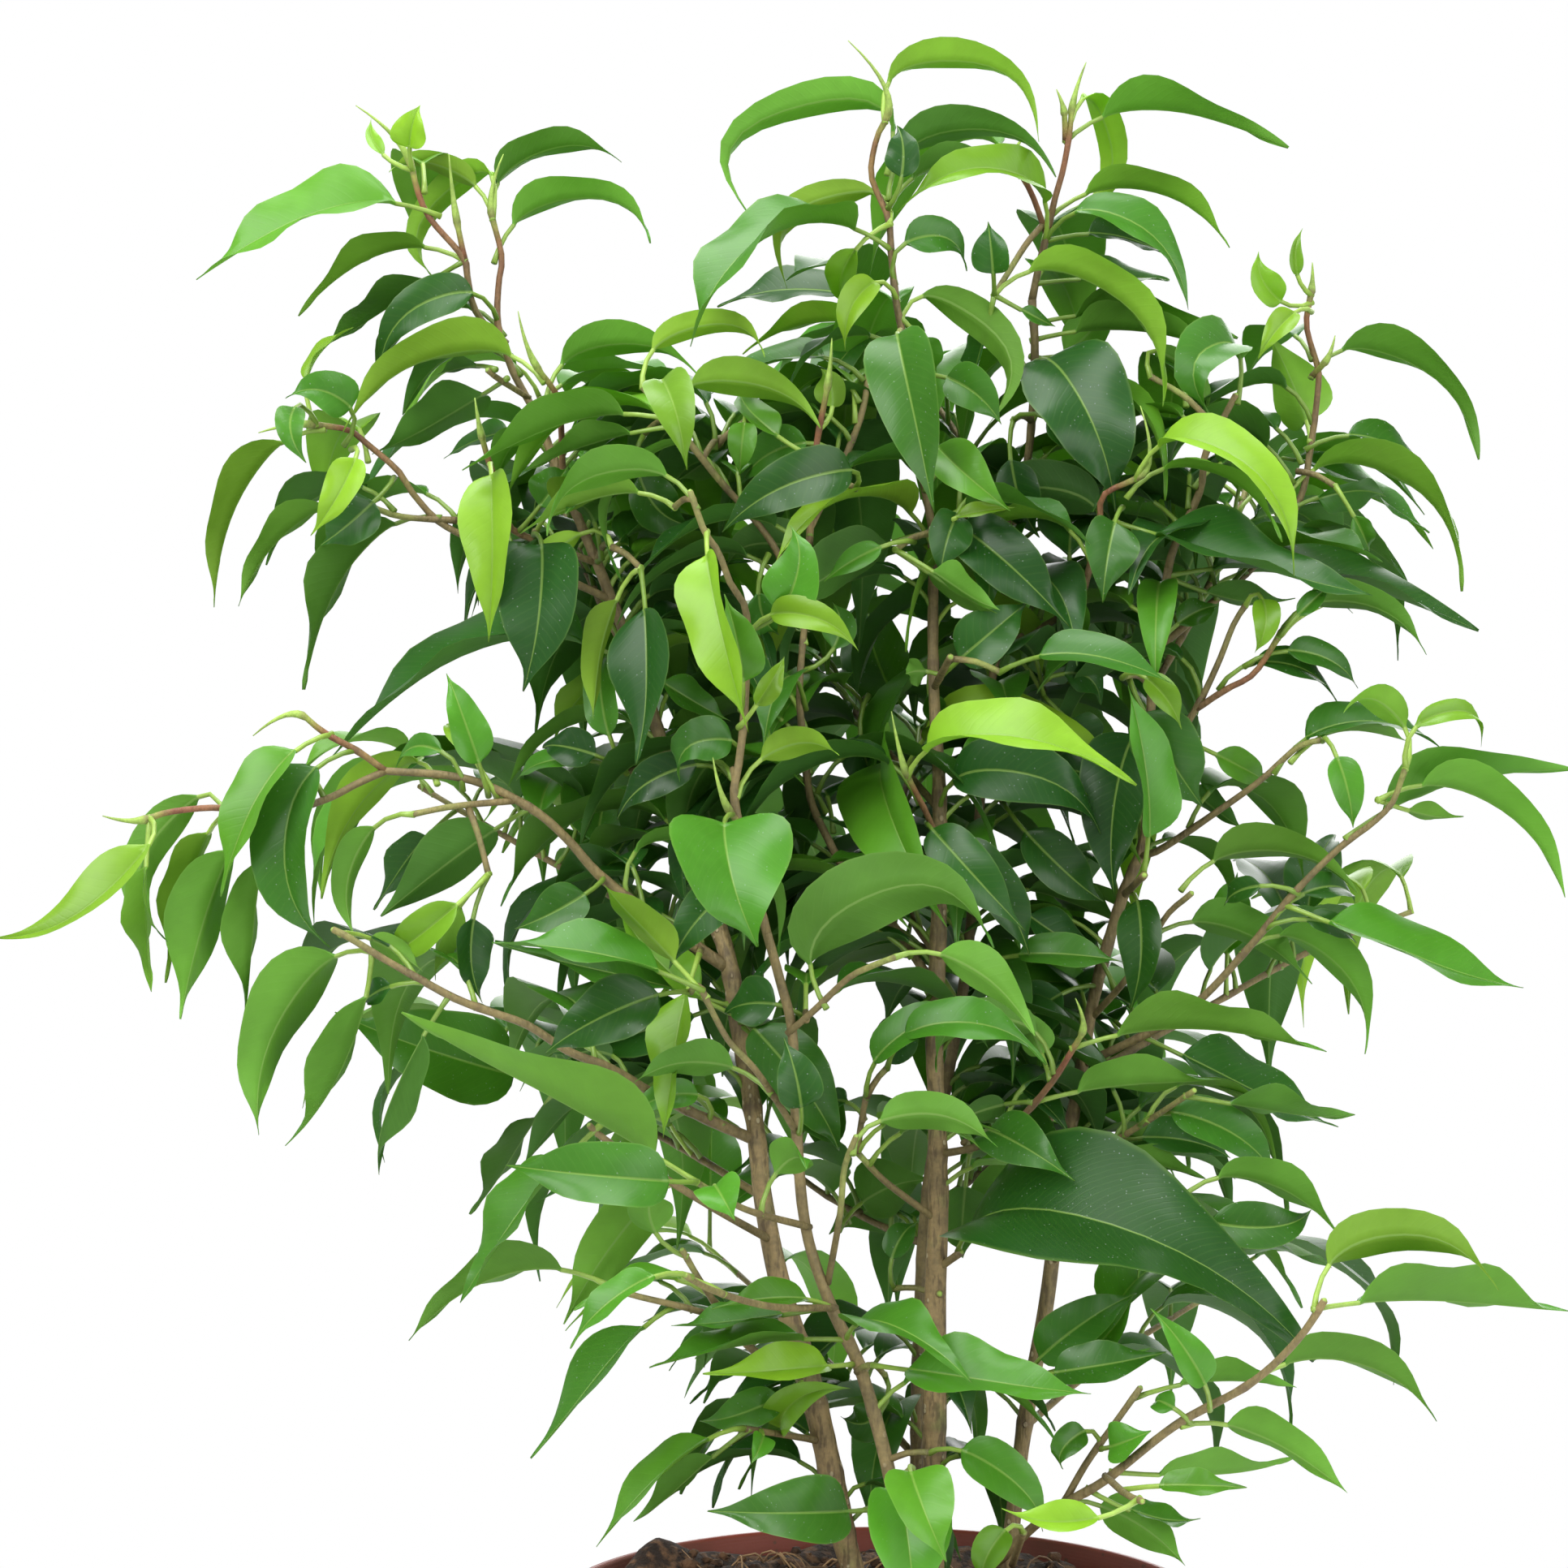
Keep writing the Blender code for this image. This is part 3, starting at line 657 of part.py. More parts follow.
@dataclass
class Leaf:
    """One leaf: a curve from its root over its crown to its tip, and the blade that it carries."""

    stem: int
    root: np.ndarray
    crown: np.ndarray
    tip: np.ndarray
    normal: np.ndarray
    width: float
    age: float
    petiole: float = PETIOLE_LENGTH
    fold: float = 0.35
    plain: bool = False

    def __post_init__(self):
        """Lay the midrib as two near-circular arcs that meet in the crown, and measure it."""
        before = self.crown - self.root
        after = self.tip - self.crown
        early = math.sqrt(np.linalg.norm(before))
        late = math.sqrt(np.linalg.norm(after))
        way = unit(before * late / early + after * early / late)
        self.line = np.vstack((quadratic(self.root, self.crown, -way)[::-1],
                               quadratic(self.tip, self.crown, way)[1:]))
        steps = np.linalg.norm(np.diff(self.line, axis=0), axis=1)
        self.along = np.concatenate(((0,), np.cumsum(steps)))

    def curve(self, shares):
        """Points and directions of the midrib at shares of its length from the root to the tip."""
        stops = np.asarray(shares, float) * self.along[-1]
        points = [np.interp(stops, self.along, self.line[:, k]) for k in range(3)]
        turns = np.gradient(self.line, self.along, axis=0)
        ways = np.column_stack([np.interp(stops, self.along, turns[:, k]) for k in range(3)])
        return np.column_stack(points), ways / np.linalg.norm(ways, axis=1, keepdims=True)

    def length(self):
        """The length of the midrib with its stalk."""
        return float(self.along[-1])

    def solid(self, margin=0.0, whole=True):
        """A thin closed solid: a diamond section carried along the midrib. It can leave out the stalk."""
        length = self.length()
        stalk = min(self.petiole / length, 0.4)
        crown = min(max((self.along[8] / length - stalk) / (1 - stalk), 0.14), 0.42)
        if self.plain:
            stations = (crown,)
        elif self.width > WIDE_BLADE:
            stations = (0.06, crown, crown + 0.28, crown + 0.46)
        else:
            stations = (crown, crown + 0.5 * (1 - crown))
        sections = [(stalk + (1 - stalk) * s, self.width / 2 * np.interp(s, *BLADE_OUTLINE),
                     BLADE_THICKNESS / 2, self.fold) for s in stations]
        if whole:
            sections.insert(0, (STALK_RING / length, STALK_HALF, STALK_HALF, 0.0))
        points, ways = self.curve([section[0] for section in sections] + [0.0, 1.0])
        across = unit(np.cross(self.tip - self.root, self.normal))
        rings = []
        for point, way, (_, half, thickness, fold) in zip(points, ways, sections):
            side = unit(across - way * (across @ way))
            rise = np.cross(side, way)
            half += margin
            lift = rise * half * math.sin(fold)
            spread = side * half * math.cos(fold)
            rings.append((point + spread + lift, point + rise * (thickness + margin),
                          point - spread + lift, point - rise * (thickness + margin)))
        start = points[-2] - ways[-2] * ROOT_SINK if whole else None
        return blade_faces(start, rings, points[-1] + ways[-1] * margin)


def blade_faces(start, rings, tip):
    """Points and triangles of a blade whose two faces are split along the same diagonals."""
    points = [point for ring in rings for point in ring] + [tip]
    faces = [(0, 1, 2), (0, 2, 3)]
    if start is not None:
        faces = [(k, (k + 1) % 4, len(points)) for k in range(4)]
        points.append(start)
    for base in range(0, 4 * (len(rings) - 1), 4):
        for edge, middle, turned in ((0, 1, False), (2, 1, True), (0, 3, True), (2, 3, False)):
            a, b, c, d = base + edge, base + middle, base + middle + 4, base + edge + 4
            pair = [(a, c, b), (a, d, c)]
            faces += [face[::-1] for face in pair] if turned else pair
    last = 4 * (len(rings) - 1)
    faces += [(last + (k + 1) % 4, last + k, 4 * len(rings)) for k in range(4)]
    return np.array(points), faces


class Thicket:
    """What is already there: the solids that a new twig or leaf has to stay clear of."""

    def __init__(self):
        self.low = np.zeros((4000, 3))
        self.high = np.zeros((4000, 3))
        self.trees = []
        self.stems = []
        self.woody = []

    def add(self, stem, solid, woody):
        """Remember a solid that belongs to a stem."""
        points, faces = solid
        self.low[len(self.trees)] = points.min(axis=0)
        self.high[len(self.trees)] = points.max(axis=0)
        self.trees.append(BVHTree.FromPolygons(points.tolist(), faces))
        self.stems.append(stem)
        self.woody.append(woody)

    def touched(self, solid, wanted):
        """Whether a solid crosses any of those that `wanted` picks by stem and kind."""
        points, faces = solid
        count = len(self.trees)
        apart = (self.low[:count] > points.max(axis=0)) | (self.high[:count] < points.min(axis=0))
        near = [k for k in np.flatnonzero(~apart.any(axis=1)) if wanted(self.stems[k], self.woody[k])]
        if not near:
            return False
        tree = BVHTree.FromPolygons(points.tolist(), faces)
        return any(tree.overlap(self.trees[k]) for k in near)

    def strange(self, stem, solid):
        """Whether a solid crosses something of another stem, the pot or the soil."""
        return self.touched(solid, lambda other, woody: other != stem)


class Plant:
    """The whole plant: its twigs and leaves, grown one after another and kept clear of each other."""

    def __init__(self):
        self.twigs = []
        self.leaves = []
        self.thicket = Thicket()
        self.random = np.random.default_rng(SEED)

    def add_obstacle(self, solid):
        """Keep the plant clear of a solid that it stands in."""
        self.thicket.add(-1, solid, True)

    def add_twig(self, twig):
        """Grow a twig."""
        self.twigs.append(twig)
        self.thicket.add(twig.stem, twig.tube(0.0), True)

    def add_leaf(self, leaf):
        """Grow a leaf."""
        self.leaves.append(leaf)
        self.thicket.add(leaf.stem, leaf.solid(), False)

    def nearest_spot(self, stem, point):
        """The point on the wood of a stem that is nearest to a point."""
        spots = np.vstack([twig.spots for twig in self.twigs if twig.stem == stem])
        return spots[np.argmin(np.linalg.norm(spots - point, axis=1))]

    def grow_stems(self):
        """Grow every stem with its branches, along their routes."""
        for stem, routes in enumerate(STEMS.values()):
            for number, route in enumerate(routes):
                points = np.array([placed(*point) for point in route.points])
                if number:
                    points[0] = self.nearest_spot(stem, points[0])
                spike = placed(*route.spike) if route.spike else None
                path = smooth_path(points, TWIG_STEP)
                sides = 6 if route.thick > 1.5 else 4
                self.add_twig(Twig(stem, path, route.thick, route.thin, spike, sides))

    def candidates(self, across, up, behind):
        """The best root on each twig for a leaf whose base shows at (across, up), nearest first."""
        found = []
        for number, twig in enumerate(self.twigs):
            apart = np.linalg.norm(twig.seen - (across, up), axis=1)
            cost = apart + 4.0 * np.maximum(twig.spot_radii - 1.0, 0)
            if behind is not None:
                cost = cost + 0.45 * np.abs(twig.spots[:, 1] - behind)
            best = int(np.argmin(cost))
            found.append((float(cost[best]), number, best))
        return sorted(found)[:6]

    def root_for(self, across, up, behind):
        """A root on the nearest twig, or on a new twiglet where the nearest is too far off."""
        for _, number, best in self.candidates(across, up, behind):
            twig = self.twigs[number]
            spot = twig.spots[best]
            depth = spot[1] if behind is None else behind
            base = placed(across, up, depth)
            if np.linalg.norm(base - spot) < PETIOLE_REACH:
                return twig.stem, spot
            end = base + unit(spot - base) * 5.0
            middle = (spot + end) / 2 + UP * 0.08 * np.linalg.norm(end - spot)
            path = smooth_path((spot, middle, end), TWIG_STEP)
            twiglet = Twig(twig.stem, path, TWIGLET_THICK, TWIGLET_THIN)
            if not self.thicket.strange(twig.stem, twiglet.tube(CLEARANCE)):
                self.add_twig(twiglet)
                return twig.stem, end
        return None, None

    def fits(self, leaf, strict=True):
        """Whether a leaf is clear of other stems and, if strict, of its own stem's leaves and wood."""
        if self.thicket.strange(leaf.stem, leaf.solid(CLEARANCE)):
            return False
        if not strict:
            return True
        blade = leaf.solid(CLEARANCE, whole=False)
        return not self.thicket.touched(blade, lambda other, woody: other == leaf.stem)

    def seen_leaf(self, row, stem, root, swing, side, lift, size):
        """A leaf as it is read from the front, swung in depth and moved a little where it must be."""
        _, _, crown_x, crown_z, tip_x, tip_z, seen, reach, age, _ = row
        toward = 1.0 if seen > 0 else -1.0
        flat_root = as_seen(root)
        flat_crown = flat_root + (np.array((crown_x, crown_z)) - flat_root) * size
        flat_tip = flat_root + (np.array((tip_x + side, tip_z + lift)) - flat_root) * size
        tip = placed(*flat_tip, root[1] + (reach + swing) * size)
        middle = (root + tip) / 2
        view = unit(EYE - middle)
        length = np.linalg.norm(tip - root) * 1.15
        slimness = OLD_SLIMNESS + (YOUNG_SLIMNESS - OLD_SLIMNESS) * age / 10
        width = max(slimness * max(length - PETIOLE_LENGTH, 8.0), abs(seen) * size)
        roll = math.asin(min(0.97, abs(seen) * size / width))
        fold = 0.30 + 0.02 * age
        flat_arch = flat_outward(flat_root, flat_crown, flat_tip)
        arch = np.array((flat_arch[0], 0.0, flat_arch[1]))
        arch = unit(arch - view * (arch @ view))
        rise = np.linalg.norm(flat_crown - (flat_root + flat_tip) / 2)
        bulge = min(max(rise * math.tan(roll), 0.08 * length), 0.24 * length) * math.sin(roll)
        crown = placed(*flat_crown, middle[1] - toward * bulge)
        normal = arch * math.cos(roll) + toward * view * math.sin(roll)
        edge_over_rib = width / 2 * (math.cos(fold) * math.sin(roll) + math.sin(fold) * math.cos(roll))
        narrow = min(1.0, max(0.2, (17.0 - abs(seen)) / 8.0))
        crown = crown - arch * edge_over_rib * CROWN_DROP * narrow
        return Leaf(stem, root, crown, tip, normal, width, age, fold=fold)

    def grow_seen_leaves(self):
        """Grow the leaves that are read from the front. Those that can't be fitted are counted."""
        shifts = [(swing, side, lift) for swing in (0, -4, 4, -8, 8, -13, 13, -19, 19, -26, 26)
                  for side, lift in ((0, 0), (2, 0), (-2, 0), (0, 2), (0, -2))]
        shifts.sort(key=lambda shift: abs(shift[0]) / 4 + abs(shift[1]) + abs(shift[2]))
        left_out = 0
        for row in SEEN_LEAVES:
            stem, root = self.root_for(row[0], row[1], row[9])
            if stem is None:
                left_out += 1
                continue
            tries = [(1.0, True), (0.85, True), (1.0, False), (0.85, False)]
            grown = None
            for size, strict in tries:
                for swing, side, lift in shifts:
                    leaf = self.seen_leaf(row, stem, root, swing, side, lift, size)
                    if self.fits(leaf, strict):
                        grown = leaf
                        break
                if grown:
                    break
            if grown:
                self.add_leaf(grown)
            else:
                left_out += 1
        return left_out

    def in_the_crown(self, points, marks):
        """Whether every point lies behind a leaf that is seen near it, or in a gap of the closed crown."""
        for spot, point in zip(as_seen(points), points):
            near = np.linalg.norm(marks[:, :2] - spot, axis=1) < HIDING_REACH
            if near.any():
                hidden = marks[near, 2].min() + 3.0 < point[1]
            else:
                hidden = point[1] > CROWN_FRONT and inside(spot, CLOSED_CROWN)
            if not hidden:
                return False
        return True

    def filling_leaf(self, twig, distance, azimuth, droop, size):
        """A leaf by rule: it leaves the twig at an azimuth round it, arches over and hangs."""
        root = twig.at([distance])[0]
        way = twig.direction(distance)
        first = unit(np.cross(way, (0.2, 0.9, 0.4)))
        second = np.cross(way, first)
        out = first * math.cos(azimuth) + second * math.sin(azimuth)
        level = unit((out + way * 0.4) * (1, 1, 0.15))
        length = FILLING_LENGTH * size
        crown = root + unit(level + UP * 0.4) * length * 0.42
        tip = root + unit(level * math.cos(droop) - UP * math.sin(droop)) * length * 0.86
        normal = unit(crown - (root + tip) / 2)
        return root, crown, tip, normal

    def trim_bare_ends(self):
        """Cut every twig that ends without a bud where its last leaf or side twig leaves it."""
        for twig in list(self.twigs):
            if twig.spike is not None:
                continue
            roots = [leaf.root for leaf in self.leaves if leaf.stem == twig.stem]
            others = (other for other in self.twigs if other.stem == twig.stem and other is not twig)
            roots += [other.points[0] for other in others]
            apart = np.linalg.norm(np.array(roots)[:, None] - twig.spots[None], axis=2)
            on_it = apart.min(axis=1) < 0.8
            if not on_it.any():
                self.twigs.remove(twig)
                continue
            last = apart[on_it].argmin(axis=1).max() / (len(twig.spots) - 1) * twig.length
            if last < twig.length - BARE_END:
                twig.cut_at(last + BARE_END / 2)

    def grow_filling_leaves(self, wanted):
        """Grow leaves by rule at the nodes of every twig, behind those read from the front."""
        shares = np.linspace(0.3, 1.0, 6)
        seen_points = [leaf.curve(shares)[0] for leaf in self.leaves]
        marks = np.vstack([np.column_stack((as_seen(points), points[:, 1])) for points in seen_points])
        taken = np.array([leaf.root for leaf in self.leaves])
        plan = []
        for number, twig in enumerate(self.twigs):
            start = 45.0 if twig.radii[0] > 1.5 else 8.0
            stops = np.arange(start, twig.length + 2.0, NODE_SPACING)
            turn = self.random.uniform(0, 2 * math.pi)
            for k, stop in enumerate(stops):
                draw = self.random.uniform(size=5)
                plan.append((number, min(stop, twig.length), turn + DIVERGENCE * k, draw))
        grown = 0
        depths = [self.twigs[item[0]].at([item[1]])[0][1] + DEPTH_SCATTER * item[3][4] for item in plan]
        order = np.argsort(depths)[::-1]
        for number, distance, azimuth, draw in (plan[k] for k in order):
            if grown >= wanted:
                break
            twig = self.twigs[number]
            root = twig.at([distance])[0]
            if root[2] < POT_HEIGHT + 12 or np.linalg.norm(taken - root, axis=1).min() < 4.0:
                continue
            size = 0.85 + 0.4 * draw[0]
            droop = math.radians(8 + 32 * draw[1])
            age = min(10.0, 12.0 * draw[2] ** 2 * (distance / twig.length))
            leaf = self.first_fit(twig, distance, azimuth, droop, size, age, marks)
            if leaf:
                self.add_leaf(leaf)
                taken = np.vstack((taken, leaf.root))
                grown += 1
        return grown

    def first_fit(self, twig, distance, azimuth, droop, size, age, marks):
        """The first of a fixed list of turns, droops and sizes at which a filling leaf is clear."""
        for shrink in (1.0, 0.8):
            for turn in (0, 25, -25, 50, -50, 80, -80, 120, -120, 180):
                for dip in (0, 12, -12):
                    root, crown, tip, normal = self.filling_leaf(
                        twig, distance, azimuth + math.radians(turn), droop + math.radians(dip),
                        size * shrink)
                    slimness = OLD_SLIMNESS + (YOUNG_SLIMNESS - OLD_SLIMNESS) * age / 10
                    width = slimness * (FILLING_LENGTH * size * shrink - PETIOLE_LENGTH)
                    leaf = Leaf(twig.stem, root, crown, tip, normal, width, age, plain=True)
                    if self.in_the_crown(leaf.curve(SHARES_HIDDEN)[0], marks) and self.fits(leaf):
                        return leaf
        return None


def soil_height(x, y):
    """The height of the uneven soil at a place."""
    ripple = (math.sin(x * 0.21 + 1.3) * math.cos(y * 0.17 - 0.4) + 0.6 * math.sin(x * 0.43 - y * 0.37))
    apart = math.hypot(x - CLUMP_PLACE[0], y - CLUMP_PLACE[1])
    return SOIL_LEVEL + SOIL_ROUGHNESS * ripple + CLUMP_HEIGHT * math.exp(-((apart / CLUMP_SPREAD) ** 2))


def inner_radius(height):
    """The radius inside the pot's wall at a height."""
    share = (height - BASE_CHAMFER) / (POT_HEIGHT - RIM_DEPTH - BASE_CHAMFER)
    body = POT_BASE_RADIUS + (POT_BODY_RADIUS - POT_BASE_RADIUS) * min(share, 1.0)
    return body - POT_WALL


def circle(radius, height, sides):
    """A ring of points round the pot's axis."""
    turns = [2 * math.pi * k / sides for k in range(sides)]
    return [(radius * math.cos(a), radius * math.sin(a), height) for a in turns]


def soil_solid():
    """The root ball: a cone that follows the pot's inside, under a top shaped by soil_height."""
    floor = POT_FLOOR + GAP
    rings = [circle(inner_radius(floor) - GAP, floor, SOIL_SIDES)]
    for ring in range(SOIL_RINGS):
        radius = (inner_radius(SOIL_LEVEL - 4) - 2 * GAP) * (1 - ring / SOIL_RINGS)
        rings.append([(x, y, soil_height(x, y)) for x, y, _ in circle(radius, 0, SOIL_SIDES)])
    return lofted(rings, (0.0, 0.0, soil_height(0, 0)))


def pot_profile():
    """The pot's half section, from its inner floor over the rim and down the outside."""
    rim_foot = POT_HEIGHT - RIM_DEPTH
    return (
        (0, POT_FLOOR),
        (inner_radius(POT_FLOOR), POT_FLOOR),
        (POT_BODY_RADIUS - POT_WALL, rim_foot),
        (POT_RIM_RADIUS - POT_WALL - 0.8, rim_foot + 3.0),
        (POT_RIM_RADIUS - POT_WALL, POT_HEIGHT),
        (POT_RIM_RADIUS, POT_HEIGHT),
        (POT_RIM_RADIUS - 0.8, rim_foot),
        (POT_BODY_RADIUS, rim_foot),
        (POT_BASE_RADIUS, BASE_CHAMFER),
        (POT_BASE_RADIUS - BASE_CHAMFER, 0),
        (0, 0),
    )


def material(name, colour, roughness):
    """A plain surface for a sub-part."""
    made = bpy.data.materials.new(name)
    made.use_nodes = True
    shader = made.node_tree.nodes["Principled BSDF"]
    shader.inputs["Base Color"].default_value = (*colour, 1.0)
    shader.inputs["Roughness"].default_value = roughness
    return made


def mesh_object(name, solid, collection):
    """An object with the mesh of a solid, in metres."""
    points, faces = solid
    mesh = bpy.data.meshes.new(name)
    mesh.from_pydata((np.asarray(points) * MM).tolist(), [], faces)
    made = bpy.data.objects.new(name, mesh)
    collection.objects.link(made)
    tidy_mesh(made)
    return made


def tidy_mesh(made):
    """Merge the doubled points of a mesh and turn its faces outwards."""
    work = bmesh.new()
    work.from_mesh(made.data)
    bmesh.ops.remove_doubles(work, verts=work.verts, dist=0.00001)
    bmesh.ops.recalc_face_normals(work, faces=work.faces)
    work.to_mesh(made.data)
    work.free()


def new_collection(name):
    """A collection in the scene."""
    made = bpy.data.collections.new(name)
    bpy.context.scene.collection.children.link(made)
    return made


def wood_mesh(name, twig, collection):
    """A twig as a tapered tube with closed ends, and its bud spike where it has one."""
    points = twig.points
    radii = real_radius(twig.radii)
    if twig.spike is not None:
        points = np.vstack((points, points[-1] + (twig.spike - points[-1]) * 0.12, twig.spike))
        radii = np.concatenate((radii, (SPIKE_BASE, 0.0)))
    line = bpy.data.curves.new(name, "CURVE")
    line.dimensions = "3D"
    line.bevel_depth = MM
    line.bevel_resolution = (twig.sides - 4) // 2
    line.use_fill_caps = True
    spline = line.splines.new("POLY")
    spline.points.add(len(points) - 1)
    for knot, point, radius in zip(spline.points, points, radii):
        knot.co = (*(point * MM), 1.0)
        knot.radius = radius
    guide = bpy.data.objects.new(name, line)
    collection.objects.link(guide)
    graph = bpy.context.evaluated_depsgraph_get()
    mesh = bpy.data.meshes.new_from_object(guide.evaluated_get(graph))
    bpy.data.objects.remove(guide)
    made = bpy.data.objects.new(name, mesh)
    collection.objects.link(made)
    tidy_mesh(made)
    return made


def joined(base, others):
    """The base object after a Boolean union with a collection, whose objects are then removed."""
    union = base.modifiers.new("grown_together", "BOOLEAN")
    union.operation = "UNION"
    union.operand_type = "COLLECTION"
    union.collection = others
    union.solver = "MANIFOLD"
    graph = bpy.context.evaluated_depsgraph_get()
    mesh = bpy.data.meshes.new_from_object(base.evaluated_get(graph))
    base.modifiers.clear()
    base.data = mesh
    for other in list(others.objects):
        bpy.data.objects.remove(other)
    bpy.data.collections.remove(others)
    return base


def drop_scraps(made):
    """Keep the largest connected body of a mesh."""
    work = bmesh.new()
    work.from_mesh(made.data)
    work.verts.ensure_lookup_table()
    seen = set()
    bodies = []
    for start in work.verts:
        if start in seen:
            continue
        body = {start}
        edge = [start]
        while edge:
            vert = edge.pop()
            for link in vert.link_edges:
                other = link.other_vert(vert)
                if other not in body:
                    body.add(other)
                    edge.append(other)
        seen |= body
        bodies.append(body)
    keep = max(bodies, key=len)
    loose = [vert for body in bodies if body is not keep for vert in body]
    bmesh.ops.delete(work, geom=loose, context="VERTS")
    work.to_mesh(made.data)
    work.free()
    return len(bodies) - 1


def merge_flats(made):
    """Take out the points that a union leaves inside flat faces and along straight edges."""
    work = bmesh.new()
    work.from_mesh(made.data)
    bmesh.ops.dissolve_limit(work, angle_limit=FLAT_ANGLE, verts=work.verts, edges=work.edges)
    bmesh.ops.triangulate(work, faces=work.faces)
    work.to_mesh(made.data)
    work.free()


def build_pot(collection, cutters):
    """The pot: a turned wall with a rim, and drain holes round its base."""
    mesh = bpy.data.meshes.new("pot")
    profile = [(x * MM, 0, z * MM) for x, z in pot_profile()]
    mesh.from_pydata(profile, [(k, k + 1) for k in range(len(profile) - 1)], [])
    pot = bpy.data.objects.new("pot", mesh)
    collection.objects.link(pot)
    turn = pot.modifiers.new("turned", "SCREW")
    turn.steps = turn.render_steps = POT_SIDES
    turn.use_merge_vertices = True
    turn.merge_threshold = 0.00001
    for k in range(DRAIN_HOLES):
        angle = 2 * math.pi * (k + 0.5) / DRAIN_HOLES
        bpy.ops.mesh.primitive_cylinder_add(vertices=DRAIN_SIDES, radius=DRAIN_RADIUS * MM, depth=0.02)
        cutter = bpy.context.object
        cutter.name = f"drain_{k}"
        cutter.location = (DRAIN_CIRCLE * MM * math.cos(angle), DRAIN_CIRCLE * MM * math.sin(angle), 0)
        move_to(cutter, cutters)
        hole = pot.modifiers.new(cutter.name, "BOOLEAN")
        hole.operation = "DIFFERENCE"
        hole.object = cutter
    pot.data.materials.append(material("terracotta_plastic", TERRACOTTA, 0.45))
    return pot


def move_to(made, collection):
    """Put a cutter in its own collection and keep it out of sight."""
    for home in list(made.users_collection):
        home.objects.unlink(made)
    collection.objects.link(made)
    made.hide_render = True
    made.display_type = "WIRE"


def build_soil(collection, cutters):
    """The soil, with a plain hole for each stem."""
    soil = mesh_object("soil", soil_solid(), collection)
    for name, routes in STEMS.items():
        root = placed(*routes[0].points[0])
        top = SOIL_LEVEL + 30
        low = root[2] - GAP
        radius = real_radius(routes[0].thick) + 0.7
        bpy.ops.mesh.primitive_cylinder_add(vertices=HOLE_SIDES, radius=radius * MM, depth=(top - low) * MM)
        cutter = bpy.context.object
        cutter.name = f"hole_{name}"
        cutter.location = (root[0] * MM, root[1] * MM, (top + low) / 2 * MM)
        move_to(cutter, cutters)
        hole = soil.modifiers.new(cutter.name, "BOOLEAN")
        hole.operation = "DIFFERENCE"
        hole.object = cutter
    soil.data.materials.append(material("peat", PEAT, 0.95))
    return soil


def build_stem(number, name, plant, collection):
    """One rooted stem with its branches and leaves, grown together as one solid."""
    parts = new_collection(f"{name}_parts")
    twigs = [twig for twig in plant.twigs if twig.stem == number]
    stem = wood_mesh(name, twigs[0], collection)
    for k, twig in enumerate(twigs[1:]):
        wood_mesh(f"{name}_twig_{k}", twig, parts)
    for k, leaf in enumerate(leaf for leaf in plant.leaves if leaf.stem == number):
        mesh_object(f"{name}_leaf_{k}", leaf.solid(), parts)
    joined(stem, parts)
    drop_scraps(stem)
    merge_flats(stem)
    stem.data.materials.clear()
    stem.data.materials.append(material(f"{name}_green", GREEN, 0.4))
    return stem


def grown_plant():
    """Every twig and leaf, kept clear of the pot and of the soil."""
    plant = Plant()
    rim_foot = POT_HEIGHT - RIM_DEPTH
    wall = [circle(POT_BASE_RADIUS, 0, 24), circle(POT_BODY_RADIUS, rim_foot, 24),
            circle(POT_RIM_RADIUS + 1, rim_foot, 24), circle(POT_RIM_RADIUS + 1, POT_HEIGHT + 1, 24)]
    plant.add_obstacle(lofted(wall))
    clump = [(*CLUMP_PLACE, 0) + np.array(circle(2 * CLUMP_SPREAD, SOIL_LEVEL, 12)),
             (*CLUMP_PLACE, 0) + np.array(circle(CLUMP_SPREAD / 2, SOIL_LEVEL + CLUMP_HEIGHT + 4, 12))]
    plant.add_obstacle(lofted(clump))
    plant.grow_stems()
    plant.grow_seen_leaves()
    plant.grow_filling_leaves(wanted=FILLING_LEAVES)
    plant.trim_bare_ends()
    return plant


def main():
    for old in list(bpy.data.objects):
        bpy.data.objects.remove(old)
    collection = new_collection("weeping_fig")
    cutters = new_collection("cutters")
    build_pot(collection, cutters)
    build_soil(collection, cutters)
    plant = grown_plant()
    for number, name in enumerate(STEMS):
        build_stem(number, name, plant, collection)


if __name__ == "__main__":
    main()
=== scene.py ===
"""The looks of a weeping fig with several woody stems in a nursery pot.

The plant grows here by the same seeded rules as its solids do. Each leaf, twig and bud is then laid as a
finer surface in the same place. Lengths are in millimetres until a mesh is made. The plant is looked at
from -Y: (across, up, behind) means the point that hides (across, up) on the upright plane through the
pot's axis, and stands `behind` millimetres further away than that plane.
"""

import logging
import math
from collections.abc import Iterator
from dataclasses import dataclass, field
from enum import Enum
from functools import reduce

